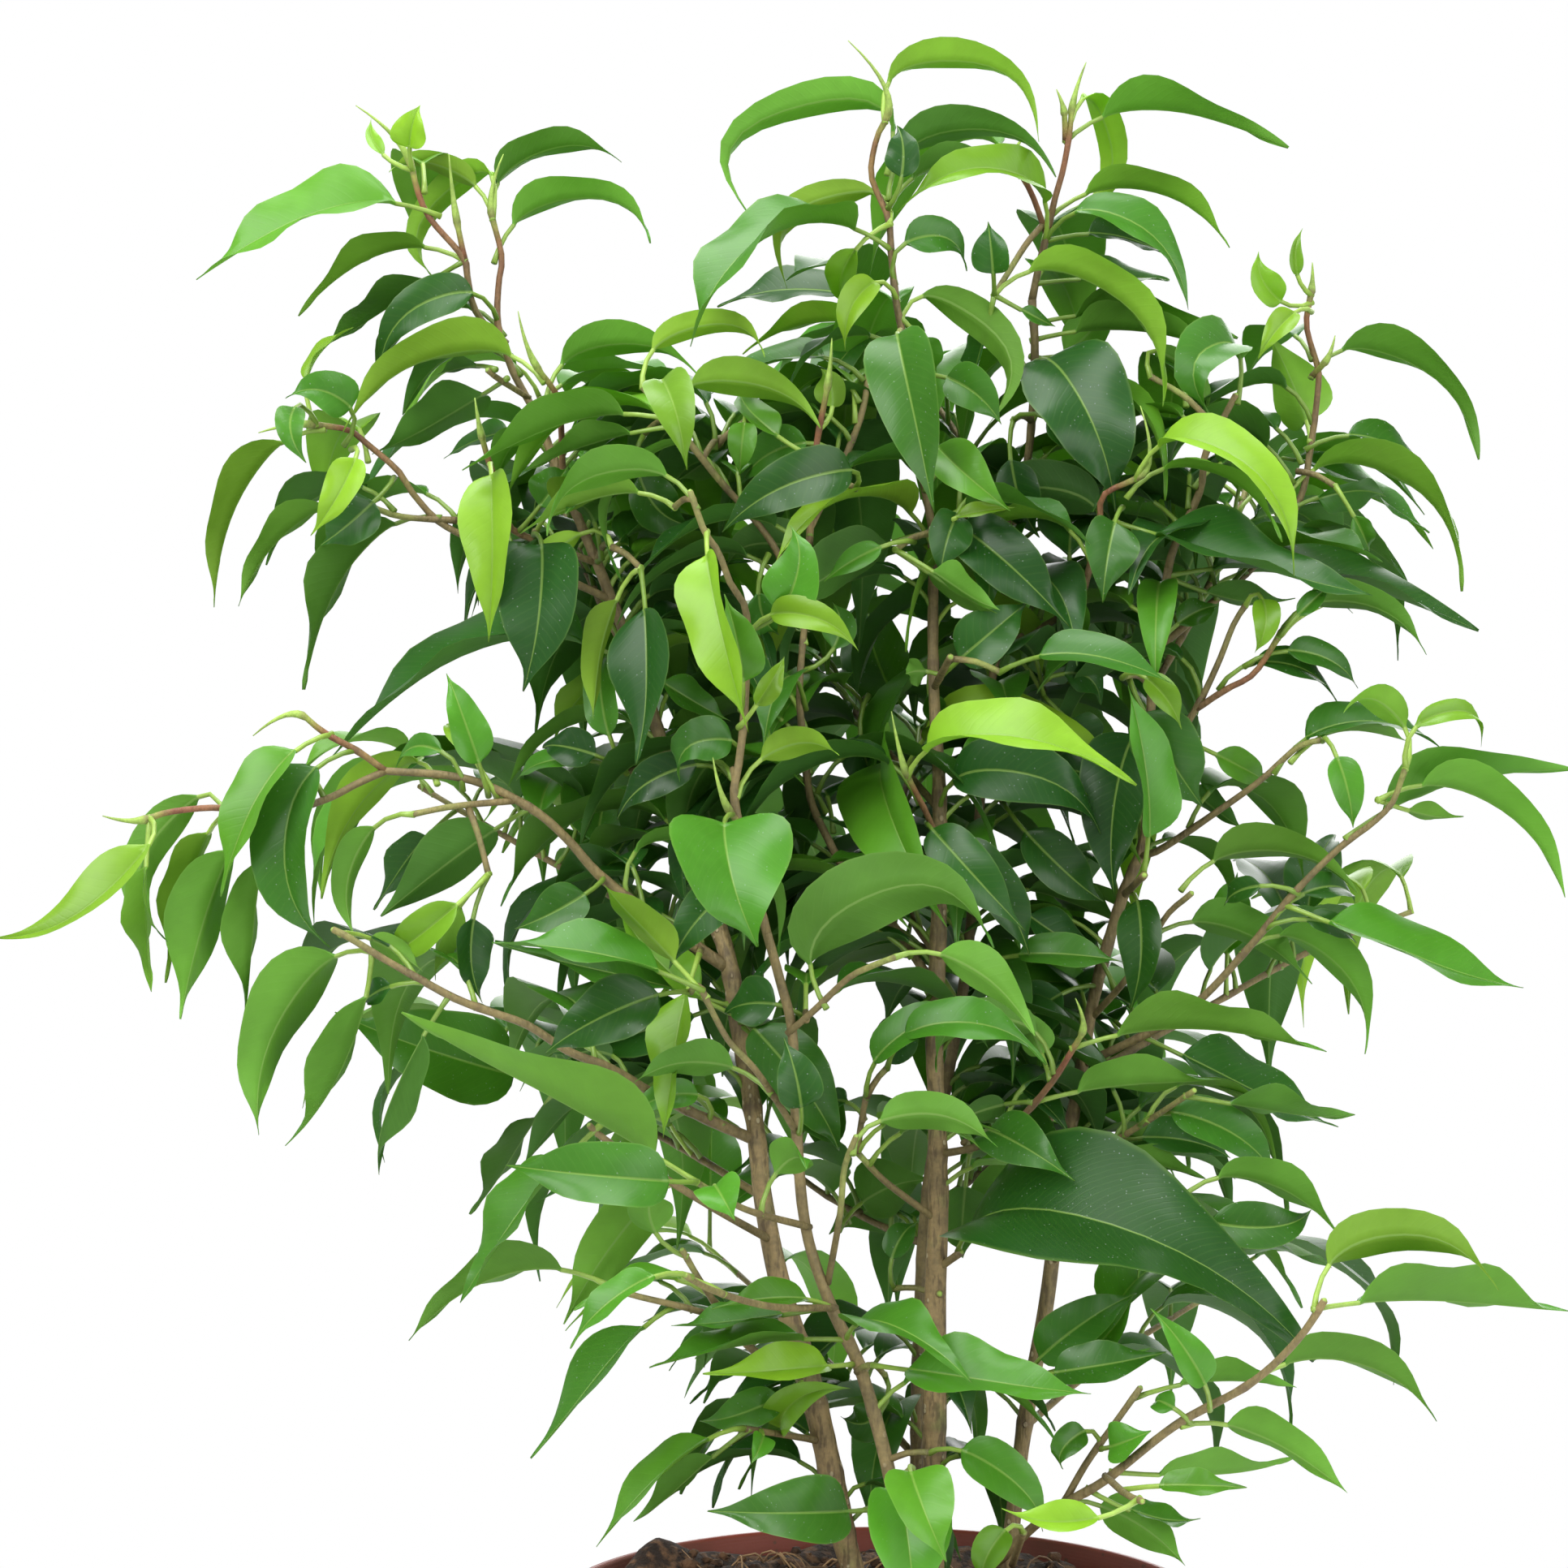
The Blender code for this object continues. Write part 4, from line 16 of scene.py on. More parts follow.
import bmesh
import bpy
import numpy as np
from mathutils.bvhtree import BVHTree
from numpy.linalg import norm
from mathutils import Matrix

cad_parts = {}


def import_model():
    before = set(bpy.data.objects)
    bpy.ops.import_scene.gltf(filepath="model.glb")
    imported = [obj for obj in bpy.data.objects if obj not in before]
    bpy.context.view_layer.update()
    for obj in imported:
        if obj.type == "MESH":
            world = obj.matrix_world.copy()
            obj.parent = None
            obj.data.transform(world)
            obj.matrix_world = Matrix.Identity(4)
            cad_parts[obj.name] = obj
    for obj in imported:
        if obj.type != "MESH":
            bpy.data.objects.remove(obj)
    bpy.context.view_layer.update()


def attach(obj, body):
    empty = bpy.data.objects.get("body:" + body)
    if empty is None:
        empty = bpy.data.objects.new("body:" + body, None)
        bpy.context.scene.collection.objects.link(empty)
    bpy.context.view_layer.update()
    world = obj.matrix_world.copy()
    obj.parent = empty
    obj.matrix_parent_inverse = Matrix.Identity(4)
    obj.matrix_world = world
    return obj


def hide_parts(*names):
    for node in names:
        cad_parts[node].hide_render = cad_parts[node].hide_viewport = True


LOG = logging.getLogger("weeping_fig")
Array = np.ndarray
Solid = tuple[Array, list[tuple[int, ...]]]
Colour = tuple[float, float, float]
Socket = bpy.types.NodeSocket

MM = 0.001
EYE = np.array((-17.85, -620.0, 255.6))
FRAME_WIDTH = 289.8
UP = np.array((0.0, 0.0, 1.0))
SEED = 20261

# The nursery pot and its soil, as in the solids
POT_HEIGHT = 105.0
POT_RIM_RADIUS = 61.0
POT_BODY_RADIUS = 57.6
POT_BASE_RADIUS = 42.0
POT_WALL = 1.6
POT_FLOOR = 2.0
RIM_DEPTH = 13.0
BASE_CHAMFER = 2.0
DRAIN_HOLES = 8
DRAIN_RADIUS = 4.0
DRAIN_CIRCLE = 31.0
GAP = 0.3
SOIL_LEVEL = 101.5
SOIL_ROUGHNESS = 1.5
CLUMP_PLACE = (-43.0, 34.0)
CLUMP_HEIGHT = 7.5
CLUMP_SPREAD = 8.0

# Wood, as in the solids. The wood itself is slimmer than its routes: routed, then real radii
ROUTED_RADII = (0.6, 1.2, 2.8)
REAL_RADII = (0.52, 0.82, 2.8)
TWIG_STEP = 24.0
SPOT_STEP = 1.5
TWIGLET_THICK = 0.8
TWIGLET_THIN = 0.6
THICK_WOOD = 1.5
WAY_REACH = 2.0
PETIOLE_REACH = 12.0
TWIGLET_SHORT = 5.0
TWIGLET_ARCH = 0.08
ROOT_CHOICES = 6
THICK_COST = 4.0
DEPTH_COST = 0.45

# Leaves, as in the solids. Ages run from 0, old and dark, to 10, young and lime
YOUNGEST = 10
PETIOLE_LENGTH = 8.5
STALK_RING = 3.2
STALK_HALF = 0.65
ROOT_SINK = 0.4
BLADE_THICKNESS = 1.0
BLADE_OUTLINE = ((0.0, 0.03, 0.12, 0.28, 0.45, 0.66, 0.85, 1.0), (0.1, 0.35, 0.78, 1.0, 0.93, 0.56, 0.2, 0.0))
LEAST_BEND = 0.45
LONGEST_STALK = 0.4
CROWN_SHARES = (0.14, 0.42)
WIDE_BLADE = 15.5
CLEARANCE = 0.45
CROWN_DROP = 0.9
YOUNG_SLIMNESS = 0.38
OLD_SLIMNESS = 0.48
OLD_FOLD = 0.30
FOLD_WITH_AGE = 0.02
LEAST_BLADE = 8.0
ARCH_LENGTH = 1.15
BULGE_SHARES = (0.08, 0.24)
FULL_TURN_SHARE = 0.97
NARROW_BLADES = (17.0, 8.0)
LEAST_DROP = 0.2
NODE_SPACING = 13.0
NODE_APART = 4.0
BARE_TRUNK = 45.0
BARE_TWIG = 8.0
LOWEST_ROOT = 12.0
BARE_END = 4.0
FILLING_LENGTH = 39.0
FILLING_SIZES = (0.85, 0.4)
FILLING_DROOPS = (8, 32)
FILLING_AGE = 12.0
BEHIND_MARKS = 3.0
HIDING_REACH = 6.5
SHARES_HIDDEN = (0.35, 0.55, 0.75, 1.0)
DEPTH_SCATTER = 70.0
DIVERGENCE = math.radians(137.5)
FILLING_LEAVES = 60
BOX_MARGIN = 2.0
MOST_SOLIDS = 4000
ON_TWIG = 0.8
FORWARD = 0.4
LEVELLING = 0.15
CROWN_RISE = 0.4
CROWN_REACH = 0.42
TIP_REACH = 0.86

# What is tried where a leaf doesn't fit: swings in depth, nudges across and up, sizes, turns and dips
SWINGS = (0, -4, 4, -8, 8, -13, 13, -19, 19, -26, 26)
NUDGES = ((0, 0), (2, 0), (-2, 0), (0, 2), (0, -2))
SEEN_SIZES = (1.0, 0.85)
FILLING_SHRINKS = (1.0, 0.8)
FILLING_TURNS = (0, 25, -25, 50, -50, 80, -80, 120, -120, 180)
FILLING_DIPS = (0, 12, -12)

# Thin leaves, which the scene has alone
THIN_CLEARANCE = -0.2
NEAR_REACH = 3.8
FURTHER_LEAVES = 400
FURTHER_SPACING = 4.0
FURTHER_APART = 2.2
BLADE_MAP = 100.0

# Within this outline, given as (across, up), the crown is closed: its gaps hold leaves further back
CLOSED_CROWN = (
    (-55, 336), (-31, 343), (-14, 352), (-7, 366), (8, 366), (24, 362), (42, 362), (59, 346), (78, 330),
    (98, 310), (96, 287), (86, 268), (62, 250), (48, 232), (47, 208), (71, 192), (66, 172), (24, 178),
    (14, 200), (5, 212), (-8, 224), (-19, 206), (-43, 190), (-70, 206), (-76, 232), (-55, 257), (-64, 280),
    (-58, 310),
)
CROWN_FRONT = -20.0

# Gaps in which the background is seen through the crown, given as (across, up)
OPEN_GAPS = (
    ((59, 288), (96, 288), (94, 274), (72, 262), (58, 259)),
    ((50, 214), (62, 224), (84, 228), (92, 202), (80, 190), (60, 207)),
    ((-95, 284), (-64, 284), (-60, 268), (-75, 261), (-92, 266)),
    ((3, 358), (14, 363), (25, 352), (21, 341), (8, 341)),
    ((32, 150), (48, 161), (62, 158), (52, 142), (36, 128)),
    ((-62, 150), (-46, 157), (-37, 140), (-41, 118), (-62, 118)),
    ((-9, 214), (-1, 218), (1, 205), (-5, 198), (-10, 204)),
    ((-80, 222), (-72, 229), (-66, 222), (-70, 216)),
)


# Thin leaves that cross in front of the stems, read from the front as SEEN_LEAVES are
NEARER_LEAVES: tuple[tuple, ...] = (
    (16, 270, 11, 274, 5, 276, -6, -3, 4, -4),
    (6, 246, 14, 248, 26, 229, 10, -8, 1, -8),
    (4, 207, 14, 216, 29, 203, 8, -4, 3, -22),
    (-31, 210, -20, 211, -8, 188, 13, -2, 2, -18),
    (25, 145, 32, 157, 47, 161, 10, -4, 2, -22),
    (27, 146, 38, 152, 52, 150, 8, -6, 2, -26),
    (3, 338, 2, 332, 10, 307, 14, -12, 3, -16),
    (-1, 297, 8, 300, 21, 287, -6, -4, 4, -20),
    (-25, 236, -32, 238, -38, 222, 9, -6, 1, -22),
    (-22, 262, -30, 268, -36, 256, 9, -4, 2, -20),
    (8, 330, 15, 334, 22, 322, 9, -6, 3, -12),
    (-30, 214, -46, 226, -72, 225, 10, -6, 3, -14),
    (-32, 215, -46, 214, -61, 205, 11, 0, 1, -10),
    (-34, 223, -43, 208, -39, 190, 8, -3, 8, -22),
    (-31, 212, -35, 224, -51, 236, 8, -5, 7, -16),
    (-28, 212, -18, 207, -9, 194, 12, 4, 2, 8),
    (7, 173, -2, 180, -9, 172, -12, 3, 2, 14),
    (17, 187, 19, 178, 15, 169, -11, 2, 2, 14),
    (5, 258, 19, 271, 46, 254, 9, -14, 9, -16),
)


@dataclass(frozen=True)
class Route:
    """A stem or twig: its radius at both ends, the points it runs through, and the tip of its spike."""

    thick: float
    thin: float
    points: tuple
    spike: tuple = ()


# The first route of each stem is the one that is rooted. The others start on the wood before them.
STEMS: dict[str, tuple[Route, ...]] = {
    "stem_main": (
        Route(2.8, 1.2, ((9.7, 55, 0), (9.7, 105, 0), (9.8, 134, 0), (10.2, 161, 0), (10.6, 176, 0),
            (10.5, 191, 0), (10, 209, 0), (10.5, 224, 0), (11, 251, 2), (9.8, 273, 3), (9.7, 296, 4),
            (9.7, 302, 4))),
        Route(1.1, 0.6, ((9.7, 302, 4), (8, 311, 4), (6.5, 316, 3), (4.5, 336, 0), (3, 344, -1),
            (2, 353, -2), (1.5, 360, -2), (-0.7, 365, -2), (-1.8, 369, -3), (-0.7, 375, -3),
            (0.8, 378, -4)), (-6, 393, -5)),
        Route(0.9, 0.6, ((9.7, 302, 4), (14, 303, 0), (17.5, 308, -4), (23, 314, -10))),
        Route(1.0, 0.6, ((7.5, 175, -1), (1, 182, -7), (-4.3, 187.5, -12))),
        Route(1.1, 0.6, ((13, 166, -1), (20, 173, -8), (27.6, 181, -14))),
        Route(1.1, 0.6,
            ((12, 187, -1), (19, 189, -6), (26, 194, -10), (32, 201, -15), (37, 209, -20)), (36, 216, -22)),
        Route(1.3, 0.7, ((9.5, 217, 0), (2, 230, 6), (-5, 237, 3), (-10, 246, 0), (-13, 253, -2),
            (-14, 262, -3), (-15, 272, -4), (-14, 286, -5))),
        Route(0.9, 0.6,
            ((-14, 286, -5), (-20, 300, -9), (-30, 312, -14), (-38, 322, -18), (-44, 329, -20))),
        Route(0.9, 0.6,
            ((-14, 286, -5), (-13, 303, -10), (-12, 317, -15), (-10, 328, -18)), (-9, 338, -20)),
        Route(0.9, 0.6, ((-12, 303, -8), (-7, 315, -3), (-3, 326, 0), (-2, 338, 2))),
        Route(0.9, 0.6, ((11, 243, 1), (9, 249, -12), (5, 257, -25)), (2, 269, -28)),
        Route(1.2, 0.6, ((10.5, 224, 0), (3, 238, 26), (6, 260, 58), (14, 278, 88))),
        Route(1.1, 0.6, ((11, 251, 2), (-4, 268, 33), (-14, 285, 62), (-21, 299, 84))),
        Route(1.1, 0.6, ((10.5, 224, 0), (18, 230, -28), (25, 238, -54), (28, 246, -76))),
        Route(1.0, 0.6, ((9.8, 273, 3), (14, 281, -22), (19, 289, -44), (22, 296, -62))),
        Route(1.0, 0.6, ((10.2, 161, 0), (19, 163, -26), (27, 166, -48), (31, 171, -68))),
    ),
    "stem_left": (
        Route(2.7, 1.1, ((-5, 55, -10), (-5, 105, -10), (-6.5, 115, -10), (-9.7, 131, -11),
            (-12.7, 143, -12), (-18, 161, -13), (-21.7, 179, -13), (-23.2, 192, -12), (-27.7, 221, -8),
            (-30.7, 231, -6), (-36.7, 251, -2), (-44.2, 275, 3), (-51, 293, 6), (-57.7, 309, 8),
            (-63.7, 324, 8))),
        Route(1.0, 0.6, ((-63.7, 324, 8), (-67.8, 331.5, 8), (-69.4, 336, 8), (-70.8, 341, 8),
            (-70.6, 348, 8), (-70, 353, 8), (-71.7, 360, 8)), (-69.7, 372, 8)),
        Route(0.9, 0.6, ((-69.4, 336, 8), (-72.7, 340, 6), (-75.3, 344, 4), (-76.3, 349, 3),
            (-77.2, 353, 2), (-83.2, 360, 0), (-85.5, 365, -1), (-86.5, 369, -2)), (-97, 381, -4)),
        Route(0.7, 0.6, ((-77.2, 353, 2), (-78, 358, 1)), (-79.8, 372, 0)),
        Route(0.8, 0.6, ((-65, 326, 8), (-72, 331.5, 2), (-74.5, 335, -2))),
        Route(0.8, 0.6, ((-59, 312, 7), (-59.5, 326, 0), (-62.7, 331.5, -3)), (-67, 343, -5)),
        Route(0.9, 0.6, ((-53, 297, 6), (-62, 300, 3), (-68.5, 303, 0), (-69.7, 308, -4), (-72, 314, -8),
            (-73.5, 319, -11)), (-75, 327, -13)),
        Route(1.0, 0.6, ((-50, 290, 6), (-66, 297, 2), (-80, 303, -2), (-86.2, 309, -4), (-89.2, 313.5, -5),
            (-95.2, 318.7, -6), (-98.2, 321, -7), (-104.2, 322, -8)), (-115, 320.5, -9)),
        Route(0.8, 0.6, ((-80, 303, -2), (-88.5, 305, -5), (-94.5, 307, -7))),
        Route(1.5, 0.9, ((-29, 222, -8), (-42, 231, -14), (-51.7, 238.5, -18), (-57.7, 245.2, -20),
            (-63.7, 250.5, -22), (-72.7, 255.3, -24), (-80.2, 257.2, -25), (-91.5, 258, -26))),
        Route(0.8, 0.6, ((-91.5, 258, -26), (-96.7, 261.7, -28), (-102.7, 265, -30), (-106, 267.7, -31)),
            (-116, 264.5, -31)),
        Route(0.9, 0.6, ((-91.5, 258, -26), (-96.7, 255.7, -28), (-102.7, 252.7, -30), (-113.2, 249.7, -33),
            (-122, 251.2, -35), (-131, 250.5, -37), (-135, 249.3, -38)), (-143.8, 249.7, -38)),
        Route(0.8, 0.6, ((-68.2, 252.7, -23), (-78.7, 251.5, -28), (-86.5, 250, -31))),
        Route(1.4, 0.7, ((-24, 190, -12), (-34, 194.5, -18), (-43, 199, -24), (-50.2, 203.2, -28),
            (-57.7, 206.2, -31), (-65.2, 211, -33), (-72.7, 213.7, -34), (-78.7, 216, -35),
            (-85.5, 219.7, -36), (-92.2, 223.5, -37), (-98.2, 227.2, -38), (-101.2, 228.7, -38))),
        Route(1.2, 0.6, ((-20, 172, -13), (-33, 178.5, -34), (-51.7, 190.5, -44), (-55.5, 195.7, -47),
            (-60.7, 201, -49))),
        Route(1.2, 0.6, ((-14, 146, -12), (-23.2, 150.7, -22), (-28.5, 156.7, -27), (-32.2, 162, -30),
            (-34.5, 165.7, -32), (-36.7, 169.5, -34))),
        Route(0.8, 0.6, ((-28.5, 156.7, -27), (-35.5, 158.7, -33), (-46, 161.2, -38), (-50.5, 163, -40))),
        Route(0.9, 0.6, ((-11, 134, -12), (-19, 135.5, -20), (-25.5, 136.5, -28))),
        Route(1.1, 0.6, ((-28, 221, -8), (-50, 235, 22), (-73, 248, 48), (-90, 258, 68))),
        Route(1.1, 0.6, ((-44, 275, 3), (-54, 294, 32), (-60, 312, 56), (-63, 327, 74))),
        Route(1.1, 0.6, ((-22, 179, -13), (-38, 189, 16), (-58, 199, 42), (-75, 205, 62))),
        Route(1.0, 0.6, ((-44, 275, 3), (-50, 282, -22), (-57, 289, -46), (-61, 294, -64))),
    ),
    "stem_front": (
        Route(1.7, 1.2, ((5, 55, -25), (5, 105, -25), (2, 126, -25), (-3.5, 147, -25), (-9, 158.7, -26),
            (-13.7, 172.7, -27), (-15.5, 191, -28), (-16.3, 209.5, -29), (-18.5, 219, -30),
            (-21, 228, -31))),
        Route(1.2, 0.6, ((-21, 228, -31), (-24, 240, -32), (-27, 252.7, -33), (-26.2, 259.5, -33),
            (-25.2, 268.5, -33), (-24.7, 286.5, -34), (-27.7, 292.5, -35), (-30, 298.5, -36),
            (-32.5, 302.2, -37), (-35.2, 309.7, -38))),
        Route(0.7, 0.6, ((-26.5, 247, -33), (-27.5, 250, -35)), (-31, 260.5, -38)),
        Route(0.9, 0.6,
            ((-16.3, 209.5, -29), (-12, 214, -33), (-6, 219.7, -38), (-1.5, 222, -41), (3, 223.7, -44))),
        Route(0.9, 0.6, ((-15.5, 191, -28), (-19.5, 197.5, -33), (-23.5, 203.2, -38), (-28, 208, -42),
            (-31.2, 213.7, -45), (-33, 217.5, -47))),
        Route(0.9, 0.6, ((-13.7, 172.7, -27), (-25, 177, -46), (-34, 182, -58))),
        Route(0.8, 0.6, ((-10, 163, -26), (-7.5, 176, -32), (-6.7, 184.5, -34), (-4.5, 190.5, -37))),
        Route(0.9, 0.6, ((-18.5, 219, -30), (-28, 226, -52), (-38, 234, -72), (-44, 239, -86))),
        Route(0.9, 0.6, ((-9, 158.7, -26), (-20, 159, -48), (-31, 162, -68), (-38, 166, -82))),
    ),
    "stem_right": (
        Route(2.1, 1.1, ((23, 55, 18), (23, 105, 18), (24, 116, 18), (26.5, 136.5, 17), (30.3, 157.5, 16),
            (33, 178.5, 15), (36.7, 201, 14), (39.7, 217.5, 13), (45, 235.5, 12), (48.3, 243.7, 11),
            (49.2, 250.2, 11), (50.2, 273, 9), (53.2, 295.5, 7))),
        Route(1.1, 0.6, ((53.2, 295.5, 7), (54.5, 300, 6), (59, 309.7, 4), (60, 316.5, 2), (63, 322.5, 0),
            (66.7, 329.2, -2), (71, 334.5, -4))),
        Route(1.0, 0.6,
            ((49.3, 255, 10), (57.7, 268.5, 4), (62.2, 277.5, 1), (65.2, 285, -1), (67.5, 288.7, -2))),
        Route(0.8, 0.6,
            ((57.7, 268.5, 4), (63.7, 273, 0), (69, 276, -4), (73.5, 282.7, -7)), (81.7, 288.3, -9)),
        Route(1.0, 0.6, ((47.5, 242, 11), (51.7, 243.5, 8), (62.2, 250.5, 3), (70.5, 256.5, -2),
            (77.2, 262.5, -6), (81.7, 263.7, -9))),
        Route(1.2, 0.6, ((37, 204, 14), (56, 213.3, 2), (68, 225.3, -4), (76, 235, -8), (84.7, 243.7, -12),
            (90.7, 248.2, -15), (94.5, 252, -17), (96, 255.7, -18), (97, 258.5, -19))),
        Route(0.9, 0.6, ((39, 212, 13), (45, 219, 6), (49, 225, 3), (53.2, 231.7, 0), (58, 236, -4),
            (60, 241, -6), (61, 245, -7))),
        Route(1.1, 0.6, ((50.5, 280, 9), (60, 288, 14), (70, 297, 17), (77.2, 307.5, 18), (79.5, 318, 17),
            (81, 330.7, 15), (80.2, 334.5, 15), (78.7, 340.5, 14), (79.5, 346, 14)), (79.8, 352, 14)),
        Route(0.7, 0.6, ((81, 330.7, 15), (81.7, 333, 14)), (84, 338.5, 13)),
        Route(0.9, 0.6, ((34, 184, 15), (44, 190, 2), (52, 195, -10), (58, 199, -20))),
        Route(0.9, 0.6, ((31.5, 168, 16), (42, 172, 2), (50, 176, -12), (56, 179, -24))),
        Route(1.2, 0.6, ((36.7, 201, 14), (58, 213, 36), (80, 225, 56), (98, 232, 70))),
        Route(1.1, 0.6, ((50.2, 273, 9), (59, 289, 34), (66, 305, 56), (70, 321, 72))),
        Route(1.1, 0.6, ((26.5, 136.5, 17), (40, 148, 42), (54, 157, 66), (64, 163, 86))),
        Route(1.0, 0.6, ((45, 235.5, 12), (51, 241, -18), (58, 248, -42), (63, 254, -62))),
    ),
    "stem_low": (
        Route(1.6, 0.8, ((19.5, 55, -15), (19.5, 105, -15), (23, 113, -19), (32.2, 121.5, -26),
            (41.2, 126.7, -32), (54.7, 137.2, -40), (68.2, 144.7, -47), (77.2, 153, -52),
            (83.2, 162, -56))),
        Route(0.9, 0.6,
            ((33.7, 122.5, -27), (38, 130, -29), (43, 137, -31), (48, 144, -33), (53.2, 151.5, -34))),
        Route(0.9, 0.6, ((41.2, 126.7, -32), (46, 124, -52), (52, 122, -70))),
        Route(0.9, 0.6, ((23, 113, -19), (27, 120, -40), (27, 132, -58), (24, 144, -70))),
    ),
    "stem_back": (
        Route(1.7, 1.0, ((6.5, 55, 20), (6.5, 105, 20), (6.7, 131, 20), (8.2, 176, 21), (15.7, 221, 22),
            (19.5, 266, 22), (21.7, 281, 21), (25, 303, 19), (27.5, 318, 17), (28.5, 334.5, 14),
            (28, 345, 13))),
        Route(0.9, 0.6, ((28, 345, 13), (29.2, 351, 12), (30.7, 357, 11), (32.2, 363.7, 10), (33.7, 369, 9),
            (34.8, 375, 8), (35.2, 379, 8)), (38, 389, 7)),
        Route(0.7, 0.6, ((34.8, 375, 8), (34, 379, 7)), (32.5, 384, 6)),
        Route(0.7, 0.6, ((30.7, 357, 11), (28, 364.5, 9), (25, 370, 7)), (27, 376, 6)),
        Route(0.8, 0.6, ((30, 358, 11), (27, 355.5, 8), (23.2, 349.5, 4), (21, 346, 2))),
        Route(1.0, 0.6, ((21.7, 281, 21), (35.2, 288, 10), (39, 297, 3), (40.5, 304.5, -1), (41.2, 309, -3),
            (47.2, 312, -6)), (48, 325.5, -7)),
        Route(1.2, 0.6, ((15.7, 221, 22), (-8, 234, 46), (-32, 248, 70), (-50, 259, 90))),
        Route(1.1, 0.6, ((19.5, 266, 22), (42, 278, 46), (58, 292, 68), (70, 305, 84))),
        Route(1.1, 0.6, ((8.2, 176, 21), (24, 188, 46), (42, 202, 72), (55, 212, 92))),
        Route(1.1, 0.6, ((6.7, 131, 20), (-9, 148, 46), (-23, 162, 72), (-32, 170, 90))),
        Route(1.0, 0.6, ((25, 303, 19), (15, 319, 38), (5, 333, 52), (0, 344, 62))),
        Route(1.0, 0.6, ((8, 170, 21), (-4, 176, 30), (-16, 184, 40), (-26, 196, 50))),
    ),
}

